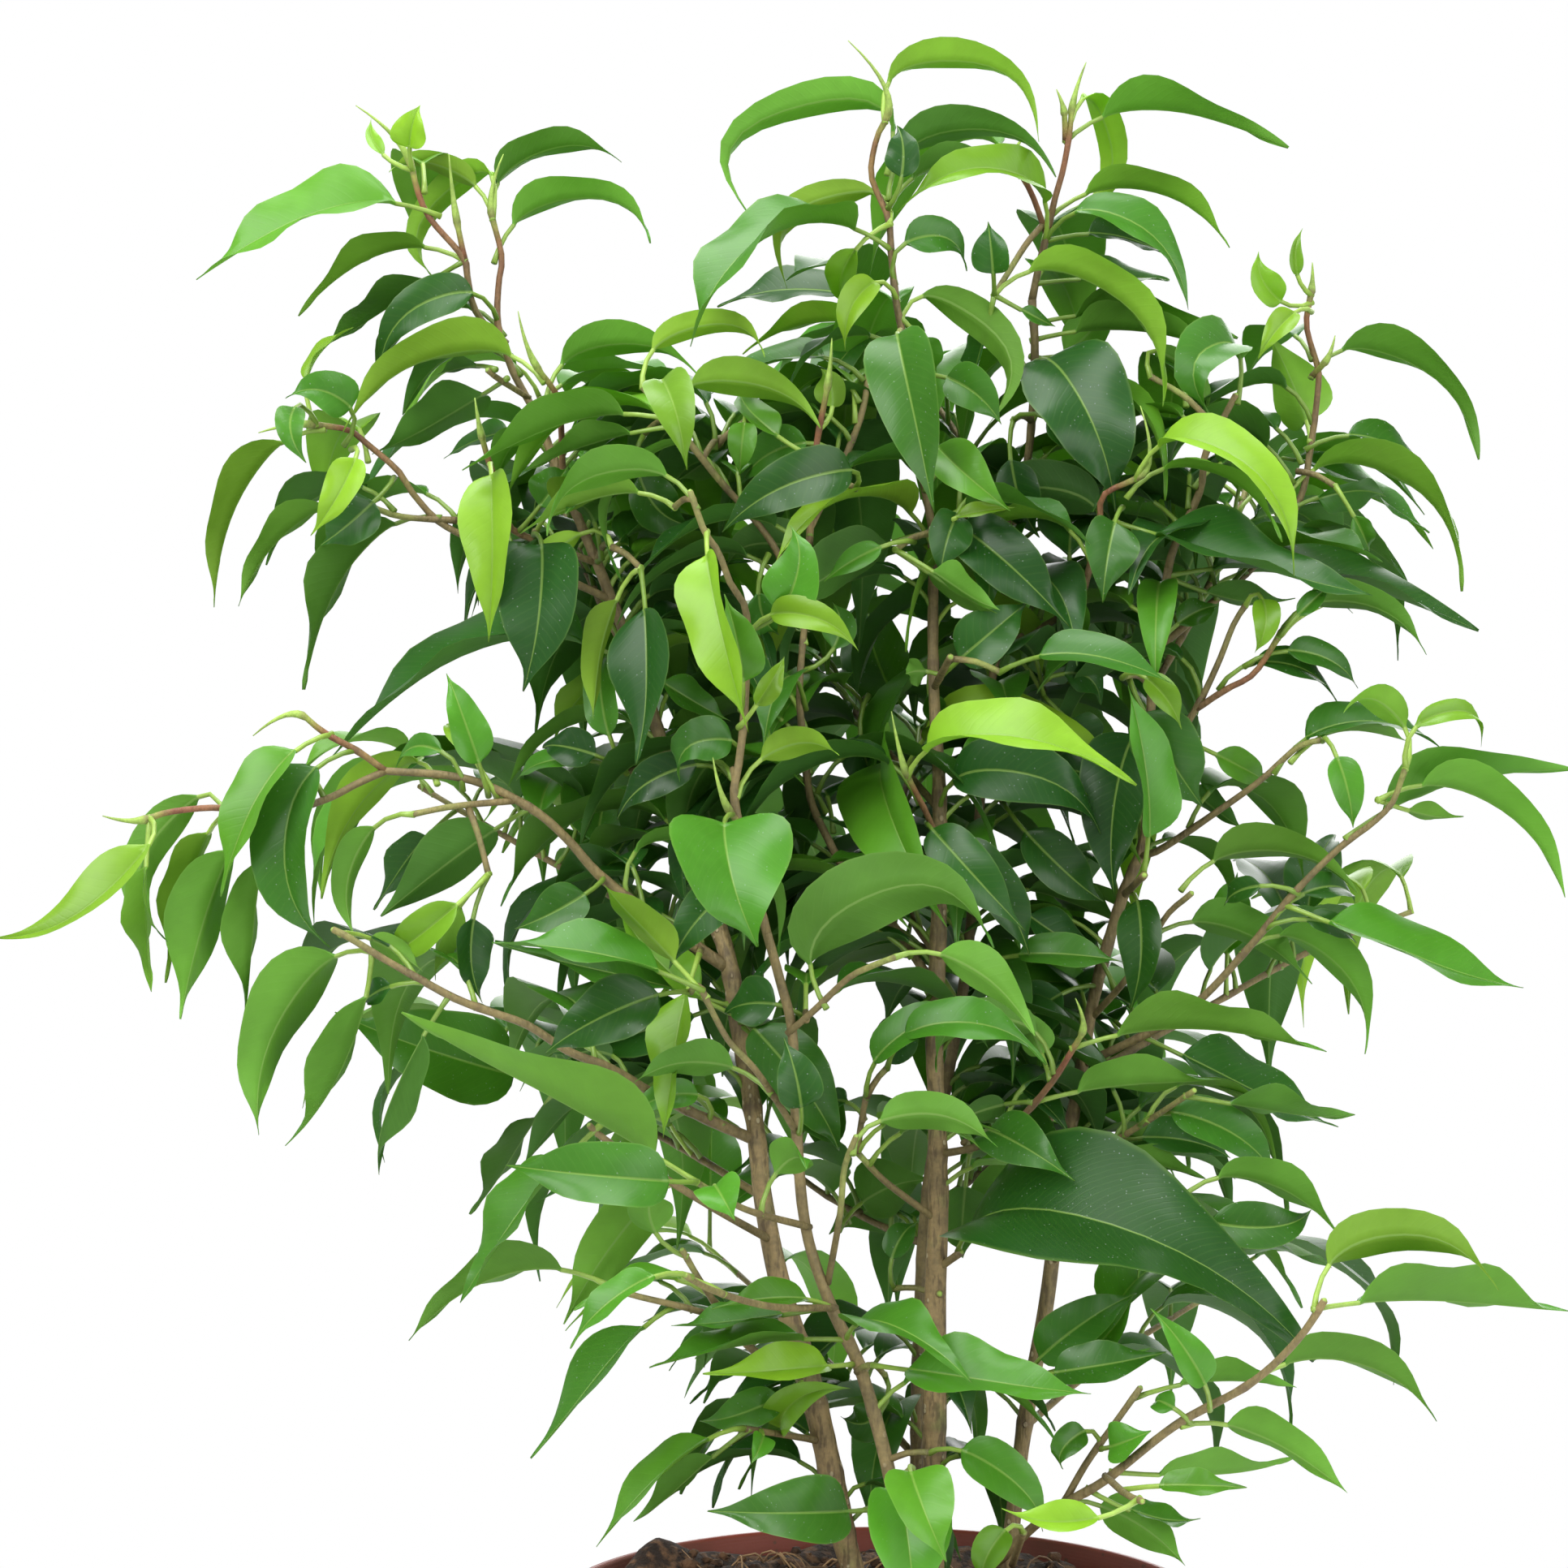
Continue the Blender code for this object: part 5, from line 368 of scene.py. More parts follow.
# Leaves read from the front. Each row is: base across and up, crown across and up, tip across and up,
# width seen (below 0 where the underside shows), how far the tip lies behind the base, age from 0 (old,
# dark) to 10 (young, lime), and the base's depth where it isn't the nearest twig's.
SEEN_LEAVES: tuple[tuple, ...] = (
    (-84, 360, -101, 369, -125, 347, 9, -4, 6), (-82, 350, -94, 357, -106, 341, -4, 4, 7),
    (-80, 350, -92, 348, -104, 335, -5, 10, 2), (-71, 342, -81, 350, -92, 332, 9, -4, 1),
    (-61, 330, -77, 341, -98, 320, -8, -8, 9), (-70, 330, -82, 328, -94, 316, -10, 12, 2),
    (-72, 331, -77, 335, -82, 331, -4, 14, 2), (-72, 360, -64, 376, -48, 370, -6, 5, 3),
    (-69, 353, -56, 368, -43, 355, -6, -5, 5), (-72, 360, -80, 372, -90, 368, -5, -6, 9),
    (-87, 370, -90, 378, -85, 381, 8, -6, 10), (-73, 362, -80, 369, -81, 349, -7, 6, 8),
    (-104, 322, -107, 333, -97, 339, 2, 3, 9), (-97, 321, -99, 331, -109, 326, 9, -8, 3),
    (-105, 318, -117, 319, -122, 288, -5, 0, 8), (-98, 306, -110, 307, -118, 288, -5, 3, 6),
    (-96, 319, -100, 317, -105, 302, 8, -8, 10), (-89, 313, -96, 311, -103, 300, 10, -3, 1),
    (-82, 302, -97, 305, -104, 273, -7, -6, 3), (-73, 315, -76, 305, -72, 282, 11, -12, 9),
    (-62, 319, -71, 323, -80, 315, 5, 8, 1), (-44, 319, -58, 328, -76, 312, -7, -6, 5),
    (-44, 317, -58, 321, -66, 313, -5, 3, 4), (-67, 304, -65, 311, -58, 314, 9, 14, 4, 10),
    (-64, 302, -64, 294, -66, 273, 16, -12, 0, -14), (-49, 300, -57, 304, -61, 285, -6, -8, 9, -22),
    (-41, 293, -51, 294, -52, 268, -6, -8, 9, -24), (-55, 282, -73, 288, -99, 258, 7, -6, 1, -8),
    (-70, 261, -74, 270, -80, 275, 8, -4, 5), (-103, 264, -117, 260, -120, 235, 8, -6, 6),
    (-97, 262, -114, 247, -101, 226, 12, -8, 2), (-76, 258, -81, 264, -89, 257, 5, 8, 3),
    (-70, 257, -75, 264, -80, 266, 5, 8, 9), (-81, 260, -92, 262, -103, 234, -7, 12, 9),
    (-51, 257, -59, 263, -67, 256, 5, 6, 4, -10), (-52, 258, -58, 266, -62, 262, 8, 8, 0, 0),
    (-53, 266, -55, 273, -50, 279, 7, 5, 4, -5), (-135, 248, -140, 246, -162, 226, 7, -6, 9),
    (-122, 252, -130, 255, -131, 227, -8, -4, 5), (-121, 247, -130, 245, -131, 219, -7, 6, 8),
    (-117, 246, -127, 240, -129, 212, -11, -8, 5), (-112, 248, -121, 230, -117, 212, -6, 4, 5),
    (-135, 247, -140, 235, -134, 217, 5, 8, 7), (-87, 250, -99, 246, -96, 228, -6, -4, 5),
    (-66, 250, -82, 245, -92, 231, -11, -4, 2), (-78, 251, -88, 247, -93, 232, 7, 8, 0),
    (-71, 234, -81, 236, -92, 223, 8, 6, 8, -30), (-96, 235, -93, 229, -85, 221, -5, 4, 6, -30),
    (-73, 229, -78, 226, -83, 219, -5, 8, 7, -28), (-94, 223, -110, 221, -114, 191, -12, -5, 5),
    (-95, 223, -104, 207, -110, 188, -7, 6, 4), (-84, 218, -89, 221, -95, 215, 5, 10, 0),
    (-61, 200, -80, 207, -101, 213, 19, -12, 3), (-35, 182, -58, 205, -90, 212, -6, -6, 6),
    (-66, 238, -72, 226, -74, 215, 7, 0, 0, -20), (-49, 241, -58, 238, -67, 229, 9, -6, 2, -25),
    (-33, 217, -54, 230, -72, 225, 7, -4, 3), (-32, 217, -40, 231, -51, 236, -7, -10, 9),
    (-36, 217, -48, 218, -61, 206, 12, -2, 1, -30), (-36, 185, -47, 207, -36, 222, 8, -8, 9),
    (-21, 198, -31, 208, -45, 200, -7, -6, 3), (-27, 249, -26, 242, -23, 226, 24, -14, 4),
    (-34, 183, -50, 187, -69, 185, 12, -6, 3), (-31, 190, -30, 184, -27, 175, 9, -10, 5, -50),
    (-22, 180, -18, 190, -14, 184, -9, -8, 4, -42), (-58, 188, -71, 180, -77, 159, 7, -2, 5, -40),
    (-60, 199, -71, 190, -75, 175, -6, 8, 2), (-80, 215, -88, 192, -94, 183, -4, 4, 2),
    (-51, 164, -70, 170, -87, 152, -6, -4, 5), (-44, 176, -52, 173, -58, 156, -12, 4, 6, -30),
    (-37, 168, -38, 175, -41, 182, -9, 4, 4), (-35, 165, -47, 166, -57, 151, 5, -6, 5),
    (-38, 157, -49, 157, -63, 130, 6, -8, 3), (-7, 152, -28, 156, -43, 147, 4, -2, 4),
    (-10, 157, -28, 160, -39, 155, 5, 6, 3), (-9, 157, -22, 164, -31, 158, 6, -12, 6),
    (-3, 149, -19, 152, -33, 146, 8, -14, 9), (-13, 143, -26, 143, -33, 138, 8, -4, 4),
    (-12, 136, -20, 142, -6, 143, 8, -12, 8), (-22, 137, -20, 133, -24, 130, 5, -8, 5),
    (-26, 136, -36, 137, -52, 114, 5, -8, 6), (-25, 136, -37, 131, -45, 118, -5, 4, 3),
    (-4, 121, -19, 124, -31, 121, 13, -12, 3, -40), (5, 127, 6, 120, 6, 103, 16, -14, 5, -48),
    (8, 132, 10, 125, 12, 112, 13, -16, 6, -52), (14, 133, 23, 133, 29, 119, 10, -12, 5, -30),
    (1, 378, 11, 393, 27, 374, -6, -4, 8), (-2, 369, -14, 385, -20, 358, -7, -4, 5),
    (0, 359, -6, 368, -15, 348, -7, -6, 9), (-7, 354, -22, 363, -33, 335, 6, -6, 4),
    (-5, 349, -19, 351, -30, 343, 7, 4, 0), (-8, 358, -9, 353, -6, 345, 7, 8, 8),
    (3, 348, 6, 360, 15, 350, 8, 4, 2), (2, 345, -4, 350, -6, 336, 7, -8, 10),
    (2, 338, -15, 344, -24, 334, -5, -4, 9), (-46, 332, -35, 343, -22, 334, -6, -4, 9),
    (-55, 328, -49, 341, -35, 330, -7, 4, 5), (-40, 325, -40, 333, -36, 314, 10, -12, 8),
    (-3, 331, -10, 338, -31, 327, 5, 6, 2), (4, 335, 3, 330, 10, 308, 15, -10, 3),
    (5, 340, 16, 347, 18, 323, -8, -5, 6), (13, 341, 15, 335, 15, 325, 5, 10, 0, 5),
    (6, 342, 9, 340, 10, 332, 6, 6, 4), (-37, 328, -24, 334, -13, 321, -8, -3, 8),
    (-11, 321, -12, 327, -11, 332, -7, -4, 8), (-12, 316, -20, 325, -26, 328, 6, 8, 6),
    (-35, 307, -48, 318, -61, 301, -7, -8, 4), (-40, 306, -49, 313, -66, 301, -5, 5, 7, -25),
    (-46, 319, -41, 314, -35, 304, 10, 8, 2, -5), (-33, 301, -36, 288, -24, 265, 10, -12, 9),
    (-16, 287, -19, 296, -17, 303, 11, -6, 4, -30), (-25, 270, -22, 281, -29, 290, 9, -8, 6),
    (-18, 282, -13, 290, -5, 280, 7, -8, 9, -38), (-20, 265, -19, 272, -18, 279, 5, -3, 9, -35),
    (-40, 286, -48, 280, -44, 259, 11, -6, 0, -22), (-42, 278, -35, 275, -28, 267, 6, 6, 3, -12),
    (0, 309, -7, 317, -29, 302, 11, -6, 1, -18), (9, 302, 0, 304, -17, 288, -11, -4, 2, -12),
    (7, 302, 15, 307, 25, 306, 3, -6, 9, -10), (-1, 297, 8, 299, 21, 287, -6, -4, 4, -14),
    (8, 267, -2, 278, 0, 292, 15, 6, 0), (-10, 276, -11, 283, -9, 289, 7, 4, 3, 0),
    (-24, 253, -20, 265, -9, 260, -7, -8, 9), (-28, 257, -38, 262, -48, 249, 8, 0, 0, -8),
    (3, 258, 0, 250, 13, 229, 17, -14, 6), (2, 364, 16, 381, 30, 367, -7, 4, 2),
    (2, 363, 1, 370, 3, 377, 7, 6, 0), (3, 363, 13, 374, 23, 370, -5, 8, 3),
    (30, 356, 25, 373, 4, 360, 7, -6, 8), (35, 374, 48, 385, 74, 371, -5, -3, 4),
    (35, 374, 43, 381, 34, 363, -7, 5, 9), (31, 360, 51, 369, 64, 354, -4, 3, 7),
    (32, 356, 44, 365, 55, 343, 7, -4, 3), (33, 355, 44, 360, 53, 352, 5, 6, 1),
    (22, 346, 39, 354, 51, 325, -7, -8, 8), (34, 334, 36, 342, 42, 348, -9, 2, 4),
    (30, 340, 52, 346, 65, 336, -5, -2, 4), (30, 338, 53, 343, 62, 334, -5, 8, 5),
    (31, 348, 49, 352, 53, 348, 4, 10, 2), (21, 346, 17, 353, 20, 359, 8, -6, 1),
    (21, 345, 26, 345, 32, 340, 3, 6, 3), (26, 333, 37, 330, 43, 306, 20, -12, 0),
    (46, 334, 53, 337, 60, 323, -5, 6, 5, 2), (62, 328, 61, 340, 62, 323, 12, -6, 3),
    (78, 343, 73, 343, 70, 334, 6, -8, 10), (79, 344, 74, 349, 70, 354, 7, -5, 8),
    (81, 331, 93, 340, 110, 315, -6, -3, 4), (80, 319, 79, 330, 72, 338, -13, 8, 7),
    (79, 317, 90, 323, 102, 311, 5, 6, 2), (77, 307, 93, 318, 105, 291, -5, -4, 7),
    (70, 316, 82, 318, 101, 301, 5, -3, 2), (77, 303, 86, 306, 93, 309, 7, 10, 2),
    (88, 309, 90, 305, 90, 299, 5, 6, 5, 8), (47, 312, 63, 323, 75, 294, 8, -12, 9),
    (46, 302, 59, 306, 91, 289, 8, -10, 1), (55, 293, 81, 302, 110, 282, 9, -6, 1),
    (55, 293, 66, 293, 77, 289, -5, 4, 2), (67, 291, 72, 292, 69, 280, 6, -6, 8),
    (76, 287, 87, 293, 99, 279, -6, -4, 4), (75, 286, 79, 291, 82, 291, 4, 5, 3),
    (69, 276, 79, 283, 87, 273, 6, 4, 2), (62, 273, 72, 281, 84, 270, 5, -4, 1),
    (72, 258, 86, 271, 103, 261, 6, 3, 2), (82, 264, 86, 264, 87, 248, 7, -4, 5),
    (97, 258, 97, 271, 86, 268, -7, -6, 7), (97, 259, 104, 271, 110, 262, 5, 5, 8),
    (86, 246, 111, 263, 128, 256, -8, 3, 3), (95, 251, 112, 258, 126, 234, -6, -5, 5),
    (95, 251, 102, 252, 108, 249, -4, 6, 6), (58, 235, 71, 248, 88, 235, -7, -5, 6),
    (76, 236, 70, 239, 64, 233, 5, 8, 1), (72, 230, 80, 239, 87, 233, 6, 10, 1),
    (77, 232, 91, 234, 118, 216, 9, -3, 5, -4), (11, 320, 16, 318, 24, 306, 10, -12, 6, -14),
    (23, 323, 28, 316, 29, 302, 9, 6, 0, 2), (22, 322, 31, 327, 39, 315, 8, -2, 1, 4),
    (24, 305, 32, 313, 42, 303, 8, 3, 1, 8), (22, 303, 17, 302, 11, 294, 9, -3, 1, -4),
    (46, 305, 46, 299, 41, 289, 11, -10, 2, -8), (14, 272, 14, 283, 27, 289, 11, -4, 1, -3),
    (30, 292, 33, 289, 36, 282, 6, -3, 6, 4), (44, 282, 53, 287, 62, 288, 6, 2, 3, 4),
    (27, 275, 38, 284, 53, 273, 7, -6, 2, -14), (43, 276, 51, 277, 55, 266, 6, -6, 8, -10),
    (43, 273, 53, 266, 59, 252, 14, 2, 2, -2), (53, 239, 55, 256, 45, 274, 9, -8, 4, -6),
    (5, 258, 17, 273, 47, 254, 7, -10, 10), (10, 254, 15, 262, 20, 265, 7, 6, 4, -6),
    (47, 252, 40, 261, 31, 258, 10, 3, 0, 4), (54, 224, 64, 234, 78, 218, -8, -6, 3),
    (68, 224, 84, 228, 88, 206, -7, -4, 4), (70, 230, 78, 233, 85, 226, 5, 4, 1),
    (-11, 216, -4, 236, 19, 224, -15, -6, 4), (3, 224, 16, 227, 27, 209, -8, -6, 5),
    (-10, 188, -2, 197, 21, 188, -8, -6, 5), (-2, 202, 4, 214, 18, 212, 7, -3, 3, -20),
    (28, 204, 19, 216, 12, 202, -8, -6, 3, -22), (27, 203, 31, 211, 26, 214, -7, 5, 4, -18),
    (16, 167, 39, 178, 79, 148, 24, -14, 0, -8), (27, 146, 36, 154, 47, 161, 8, -4, 3, -16),
    (28, 147, 38, 152, 50, 151, 7, -6, 4, -20), (1, 149, 17, 151, 39, 142, 11, -14, 5, -36),
    (-5, 154, 6, 160, 16, 144, 9, -14, 4), (2, 146, -2, 143, -7, 139, 8, 6, 2, -6),
    (37, 136, 34, 137, 34, 129, 6, -4, 4), (42, 132, 45, 138, 50, 136, 8, -5, 4),
    (57, 137, 54, 143, 51, 141, 5, 4, 3), (59, 144, 59, 153, 50, 158, 7, -6, 5, -38),
    (49, 141, 65, 149, 77, 143, -4, 4, 4, -34), (82, 156, 94, 177, 112, 161, -9, -6, 8),
    (82, 157, 102, 167, 128, 157, -7, 4, 5), (69, 142, 90, 153, 102, 137, -6, -4, 5),
    (58, 132, 68, 141, 86, 124, -7, -4, 5), (43, 128, 60, 132, 77, 130, -4, 3, 4),
    (42, 122, 55, 129, 67, 125, 5, -4, 6), (40, 123, 50, 123, 59, 119, 4, 4, 4),
    (31, 124, 39, 127, 56, 111, -9, -8, 4), (46, 119, 36, 123, 22, 121, 6, -4, 9),
    (19, 126, 20, 119, 19, 108, 7, -6, 7, -34), (37, 206, 62, 216, 82, 204, -6, -3, 6),
    (28, 196, 45, 205, 63, 200, -7, -6, 5), (49, 205, 67, 206, 84, 191, 10, 2, 1, 0),
    (58, 196, 75, 199, 88, 193, -5, 4, 3), (47, 195, 60, 198, 72, 182, 9, -6, 2),
    (55, 180, 68, 187, 85, 170, -6, -4, 4), (56, 174, 69, 178, 79, 177, 9, 3, 2),
    (56, 170, 73, 168, 84, 167, 3, 6, 3), (36, 184, 48, 189, 60, 182, -5, 3, 5, -8),
    (20, 189, 28, 192, 36, 182, 11, -8, 2), (-9, 172, -1, 183, 8, 182, -13, 4, 3, 12),
    (30, 185, 20, 181, 16, 170, -13, 4, 4, 8), (-2, 163, 0, 170, 7, 174, 6, 3, 2, 6),
    (-10, 189, -11, 200, -18, 208, 9, 3, 1, -20), (18, 258, 24, 265, 32, 256, 10, 4, 0, 8),
    (13, 252, 23, 261, 40, 246, 13, -6, 0), (45, 267, 42, 255, 42, 236, 15, -8, 0),
    (25, 249, 33, 246, 41, 234, 10, 2, 1, 4), (22, 236, 31, 239, 47, 228, -5, 2, 2, 4),
    (10, 243, 17, 247, 27, 223, 9, -6, 1), (28, 235, 33, 232, 42, 222, 7, 4, 0, 8),
    (36, 234, 44, 231, 46, 214, 9, -4, 1), (23, 219, 31, 223, 42, 220, 7, 6, 4),
    (24, 222, 33, 228, 44, 222, 7, -4, 3, 0), (30, 272, 36, 271, 41, 263, 8, 6, 1, 6),
    (16, 300, 21, 303, 34, 285, 12, -8, 0), (6, 299, -2, 301, -10, 293, 5, 6, 5),
    (4, 299, 6, 293, 9, 286, 9, 10, 1, 12), (-22, 297, -19, 291, -19, 284, 8, 8, 2),
    (-2, 273, 0, 266, 2, 256, 10, 8, 0, 12), (24, 272, 31, 279, 40, 270, 8, 2, 1, 8),
    (15, 278, 11, 275, 12, 267, 5, 4, 3, 4), (41, 301, 31, 314, 17, 302, -11, -2, 1, 6),
    (-13, 292, -22, 304, -28, 295, -10, 6, 2, 4), (-27, 321, -33, 320, -37, 312, -9, 6, 3, 4),
    (-11, 317, -18, 322, -25, 310, 9, 2, 3, 4), (-21, 326, -25, 326, -26, 313, 6, -4, 6, -8),
    (-41, 299, -46, 301, -50, 297, 4, 4, 1, 4), (58, 262, 63, 264, 71, 256, 7, 4, 6, 4),
    (54, 257, 60, 256, 67, 247, -5, 4, 1, 8), (38, 218, 30, 219, 25, 207, 11, 4, 0, 14),
    (27, 197, 20, 198, 14, 193, -5, 4, 2, 0), (38, 190, 50, 194, 64, 186, 7, 4, 1, 2),
    (-14, 212, -20, 219, -28, 213, 10, 6, 1, -8), (-31, 210, -17, 207, -8, 188, 12, 2, 2, -12),
    (-45, 206, -52, 208, -58, 204, -4, 4, 1, -18), (-30, 196, -36, 201, -46, 193, 6, -2, 4, -26),
    (-3, 194, -6, 199, -9, 195, 5, 6, 0, 6), (8, 214, 2, 214, 2, 204, 9, 4, 0, 6),
    (-9, 234, -15, 233, -21, 227, -5, 5, 2, -6), (-87, 370, -91, 373, -94, 378, 3, 5, 8),
    (-104, 322, -110, 327, -106, 315, 6, -8, 4), (79, 347, 78, 353, 78, 358, 3, -5, 8),
)


def unit(vector: Array) -> Array:
    """The vector at length 1."""
    return vector / norm(vector)


def units(rows: Array) -> Array:
    """Vectors in rows, each at length 1."""
    return rows / norm(rows, axis=1, keepdims=True)


def slimness(age: float) -> float:
    """A blade's width for its length, by its age."""
    return OLD_SLIMNESS + (YOUNG_SLIMNESS - OLD_SLIMNESS) * age / YOUNGEST


def placed(across: float, up: float, behind: float) -> Array:
    """The point `behind` the upright plane that hides (across, up) on it."""
    return EYE + (np.array((across, 0.0, up)) - EYE) * (behind - EYE[1]) / -EYE[1]


def as_seen(points: Array) -> Array:
    """Where points appear on the upright plane, as (across, up)."""
    return (EYE + (points - EYE) * (-EYE[1] / (points[..., 1:2] - EYE[1])))[..., [0, 2]]


def quadratic(end: Array, crown: Array, way: Array, count: int = 9) -> Array:
    """Points on the near-circular arc that leaves the crown along `way` and reaches the end.

    Args:
        end: Where the arc ends.
        crown: Where it starts.
        way: The unit direction in which it starts.
        count: How many points.

    Returns:
        The points of a quadratic curve whose middle knot lies on the starting direction, as far out as
        makes both halves equally long.
    """
    span = end - crown
    reach = norm(span)
    bend = max(LEAST_BEND, way @ span / reach)
    knee = crown + way * reach / (2 * bend)
    t = np.linspace(0, 1, count)[:, None]
    return (1 - t) ** 2 * crown + 2 * t * (1 - t) * knee + t**2 * end


def inside(spot: Array, outline: tuple) -> bool:
    """Whether a flat point lies inside a closed outline.

    Args:
        spot: The point.
        outline: The outline's corners.

    Returns:
        True inside.
    """
    x, y = np.array(outline, float).T
    next_x, next_y = np.roll(x, -1), np.roll(y, -1)
    level = (y > spot[1]) != (next_y > spot[1])
    crossing = x[level] + (spot[1] - y[level]) * (next_x - x)[level] / (next_y - y)[level]
    return (crossing > spot[0]).sum() % 2 == 1


def real_radius(routed: Array) -> Array:
    """The wood's radius for the radii of its route."""
    return np.interp(routed, ROUTED_RADII, REAL_RADII)


def smooth_path(points: Array, step: float) -> Array:
    """Points about `step` apart on the Catmull-Rom curve through the given ones.

    Args:
        points: The points that the curve runs through.
        step: The wanted distance between two points, in millimetres.

    Returns:
        The points of the curve, evenly spaced along it.
    """
    points = np.asarray(points, float)
    ends = np.vstack((2 * points[0] - points[1], points, 2 * points[-1] - points[-2]))
    t = np.linspace(0, 1, 12, endpoint=False)[:, None]
    pieces = []
    for a, b, c, d in zip(ends, ends[1:], ends[2:], ends[3:]):
        cubic = 2 * b + (c - a) * t + (2 * a - 5 * b + 4 * c - d) * t**2 + (3 * b - a - 3 * c + d) * t**3
        pieces.append(0.5 * cubic)
    dense = np.vstack((*pieces, points[-1]))
    along = np.concatenate(((0,), np.cumsum(norm(np.diff(dense, axis=0), axis=1))))
    stops = np.linspace(0, along[-1], max(2, int(round(along[-1] / step)) + 1))
    return np.column_stack([np.interp(stops, along, dense[:, axis]) for axis in range(3)])


def circle(radius: float, height: float, sides: int) -> Array:
    """A ring of points round the pot's axis."""
    turns = 2 * np.pi * np.arange(sides) / sides
    return np.column_stack((radius * np.cos(turns), radius * np.sin(turns), np.full(sides, height)))


def lofted(rings: list, tip: Array | None = None) -> Solid:
    """Points and triangles of the closed solid through rings of equal count, ending in a tip point.

    Args:
        rings: Rings of points, of equal count.
        tip: The last point, or None for a flat end.

    Returns:
        The solid's points and triangles.
    """
    count = len(rings[0])
    points = [point for ring in rings for point in ring]
    faces = [(0, k + 1, k) for k in range(1, count - 1)]
    for start in range(0, count * (len(rings) - 1), count):
        for k in range(count):
            a, b = start + k, start + (k + 1) % count
            faces += [(a, b, b + count), (a, b + count, a + count)]
    last = count * (len(rings) - 1)
    if tip is None:
        faces += [(last, last + k, last + k + 1) for k in range(1, count - 1)]
    else:
        points.append(tip)
        faces += [(last + k, last + (k + 1) % count, len(points) - 1) for k in range(count)]
    return np.array(points), faces


def blade_faces(start: Array | None, rings: list, tip: Array) -> Solid:
    """Points and triangles of a plain blade whose two faces are split along the same diagonals.

    Args:
        start: The stalk's first point, or None.
        rings: Sections of four points.
        tip: The blade's last point.

    Returns:
        The solid's points and triangles.
    """
    points = [point for ring in rings for point in ring] + [tip]
    faces = [(0, 1, 2), (0, 2, 3)]
    if start is not None:
        faces = [(k, (k + 1) % 4, len(points)) for k in range(4)]
        points.append(start)
    for base in range(0, 4 * (len(rings) - 1), 4):
        for edge, middle, turned in ((0, 1, False), (2, 1, True), (0, 3, True), (2, 3, False)):
            a, b, c, d = base + edge, base + middle, base + middle + 4, base + edge + 4
            pair = [(a, c, b), (a, d, c)]
            faces += [face[::-1] for face in pair] if turned else pair
    last = 4 * (len(rings) - 1)
    faces += [(last + (k + 1) % 4, last + k, 4 * len(rings)) for k in range(4)]
    return np.array(points), faces


def flat_outward(root: Array, crown: Array, tip: Array) -> Array:
    """The side to which a flat arc bulges at its crown: at right angles to it, and upwards if straight.

    Args:
        root: Where the arc starts, across and up.
        crown: Its crown.
        tip: Its end.

    Returns:
        A unit direction, across and up.
    """
    way = unit(unit(crown - root + 1e-6) + unit(tip - crown + 1e-6) + 1e-9)
    side = np.array((-way[1], way[0]))
    bulge = side @ (crown - (root + tip) / 2)
    if abs(bulge) < 1.0:
        bulge = side[1]
    return side if bulge > 0 else -side


class Twig:
    """A piece of wood: the points and radii of its line, and the spots where leaves may grow on it."""

    def __init__(self, stem: int, knots: Array, thick: float, thin: float,
                 spike: Array | None = None) -> None:
        """Lay the twig's line through its knots.

        Args:
            stem: The number of the rooted stem that it belongs to.
            knots: The points that it runs through.
            thick: Its radius at its base.
            thin: Its radius at its end.
            spike: The tip of its bud spike, or None.
        """
        self.stem = stem
        self.knots = np.asarray(knots, float)
        self.points = smooth_path(self.knots, TWIG_STEP)
        self.spike = spike
        self.kept_share = 1.0
        self.radii = np.linspace(thick, thin, len(self.points))
        lengths = norm(np.diff(self.points, axis=0), axis=1)
        self.along = np.concatenate(((0,), np.cumsum(lengths)))
        self.length = self.along[-1]
        stops = np.linspace(0, self.length, max(2, int(self.length / SPOT_STEP)))
        self.spots = self.at(stops)
        self.seen = as_seen(self.spots)
        self.spot_radii = np.interp(stops, self.along, self.radii)

    def at(self, distance: Array) -> Array:
        """The point, or points, at a distance along the twig."""
        return np.column_stack([np.interp(distance, self.along, self.points[:, k]) for k in range(3)])

    def direction(self, distance: float) -> Array:
        """The way the twig grows at a distance along it."""
        ends = self.at(np.clip((distance - WAY_REACH, distance + WAY_REACH), 0, self.length))
        return unit(ends[1] - ends[0])

    def tube(self, margin: float) -> Solid:
        """A four-sided tube round the twig, for testing what is clear of it.

        Args:
            margin: How much thicker than the twig.

        Returns:
            A closed solid.
        """
        rings = []
        for k, (point, radius) in enumerate(zip(self.points, self.radii)):
            way = unit(self.points[min(k + 1, len(self.points) - 1)] - self.points[max(k - 1, 0)])
            side = unit(np.cross(way, (0.3, 0.5, 0.8)))
            other = np.cross(way, side)
            rings.append([point + (radius * 1.2 + margin) * step for step in (side, other, -side, -other)])
        return lofted(rings, None if self.spike is None else self.spike)


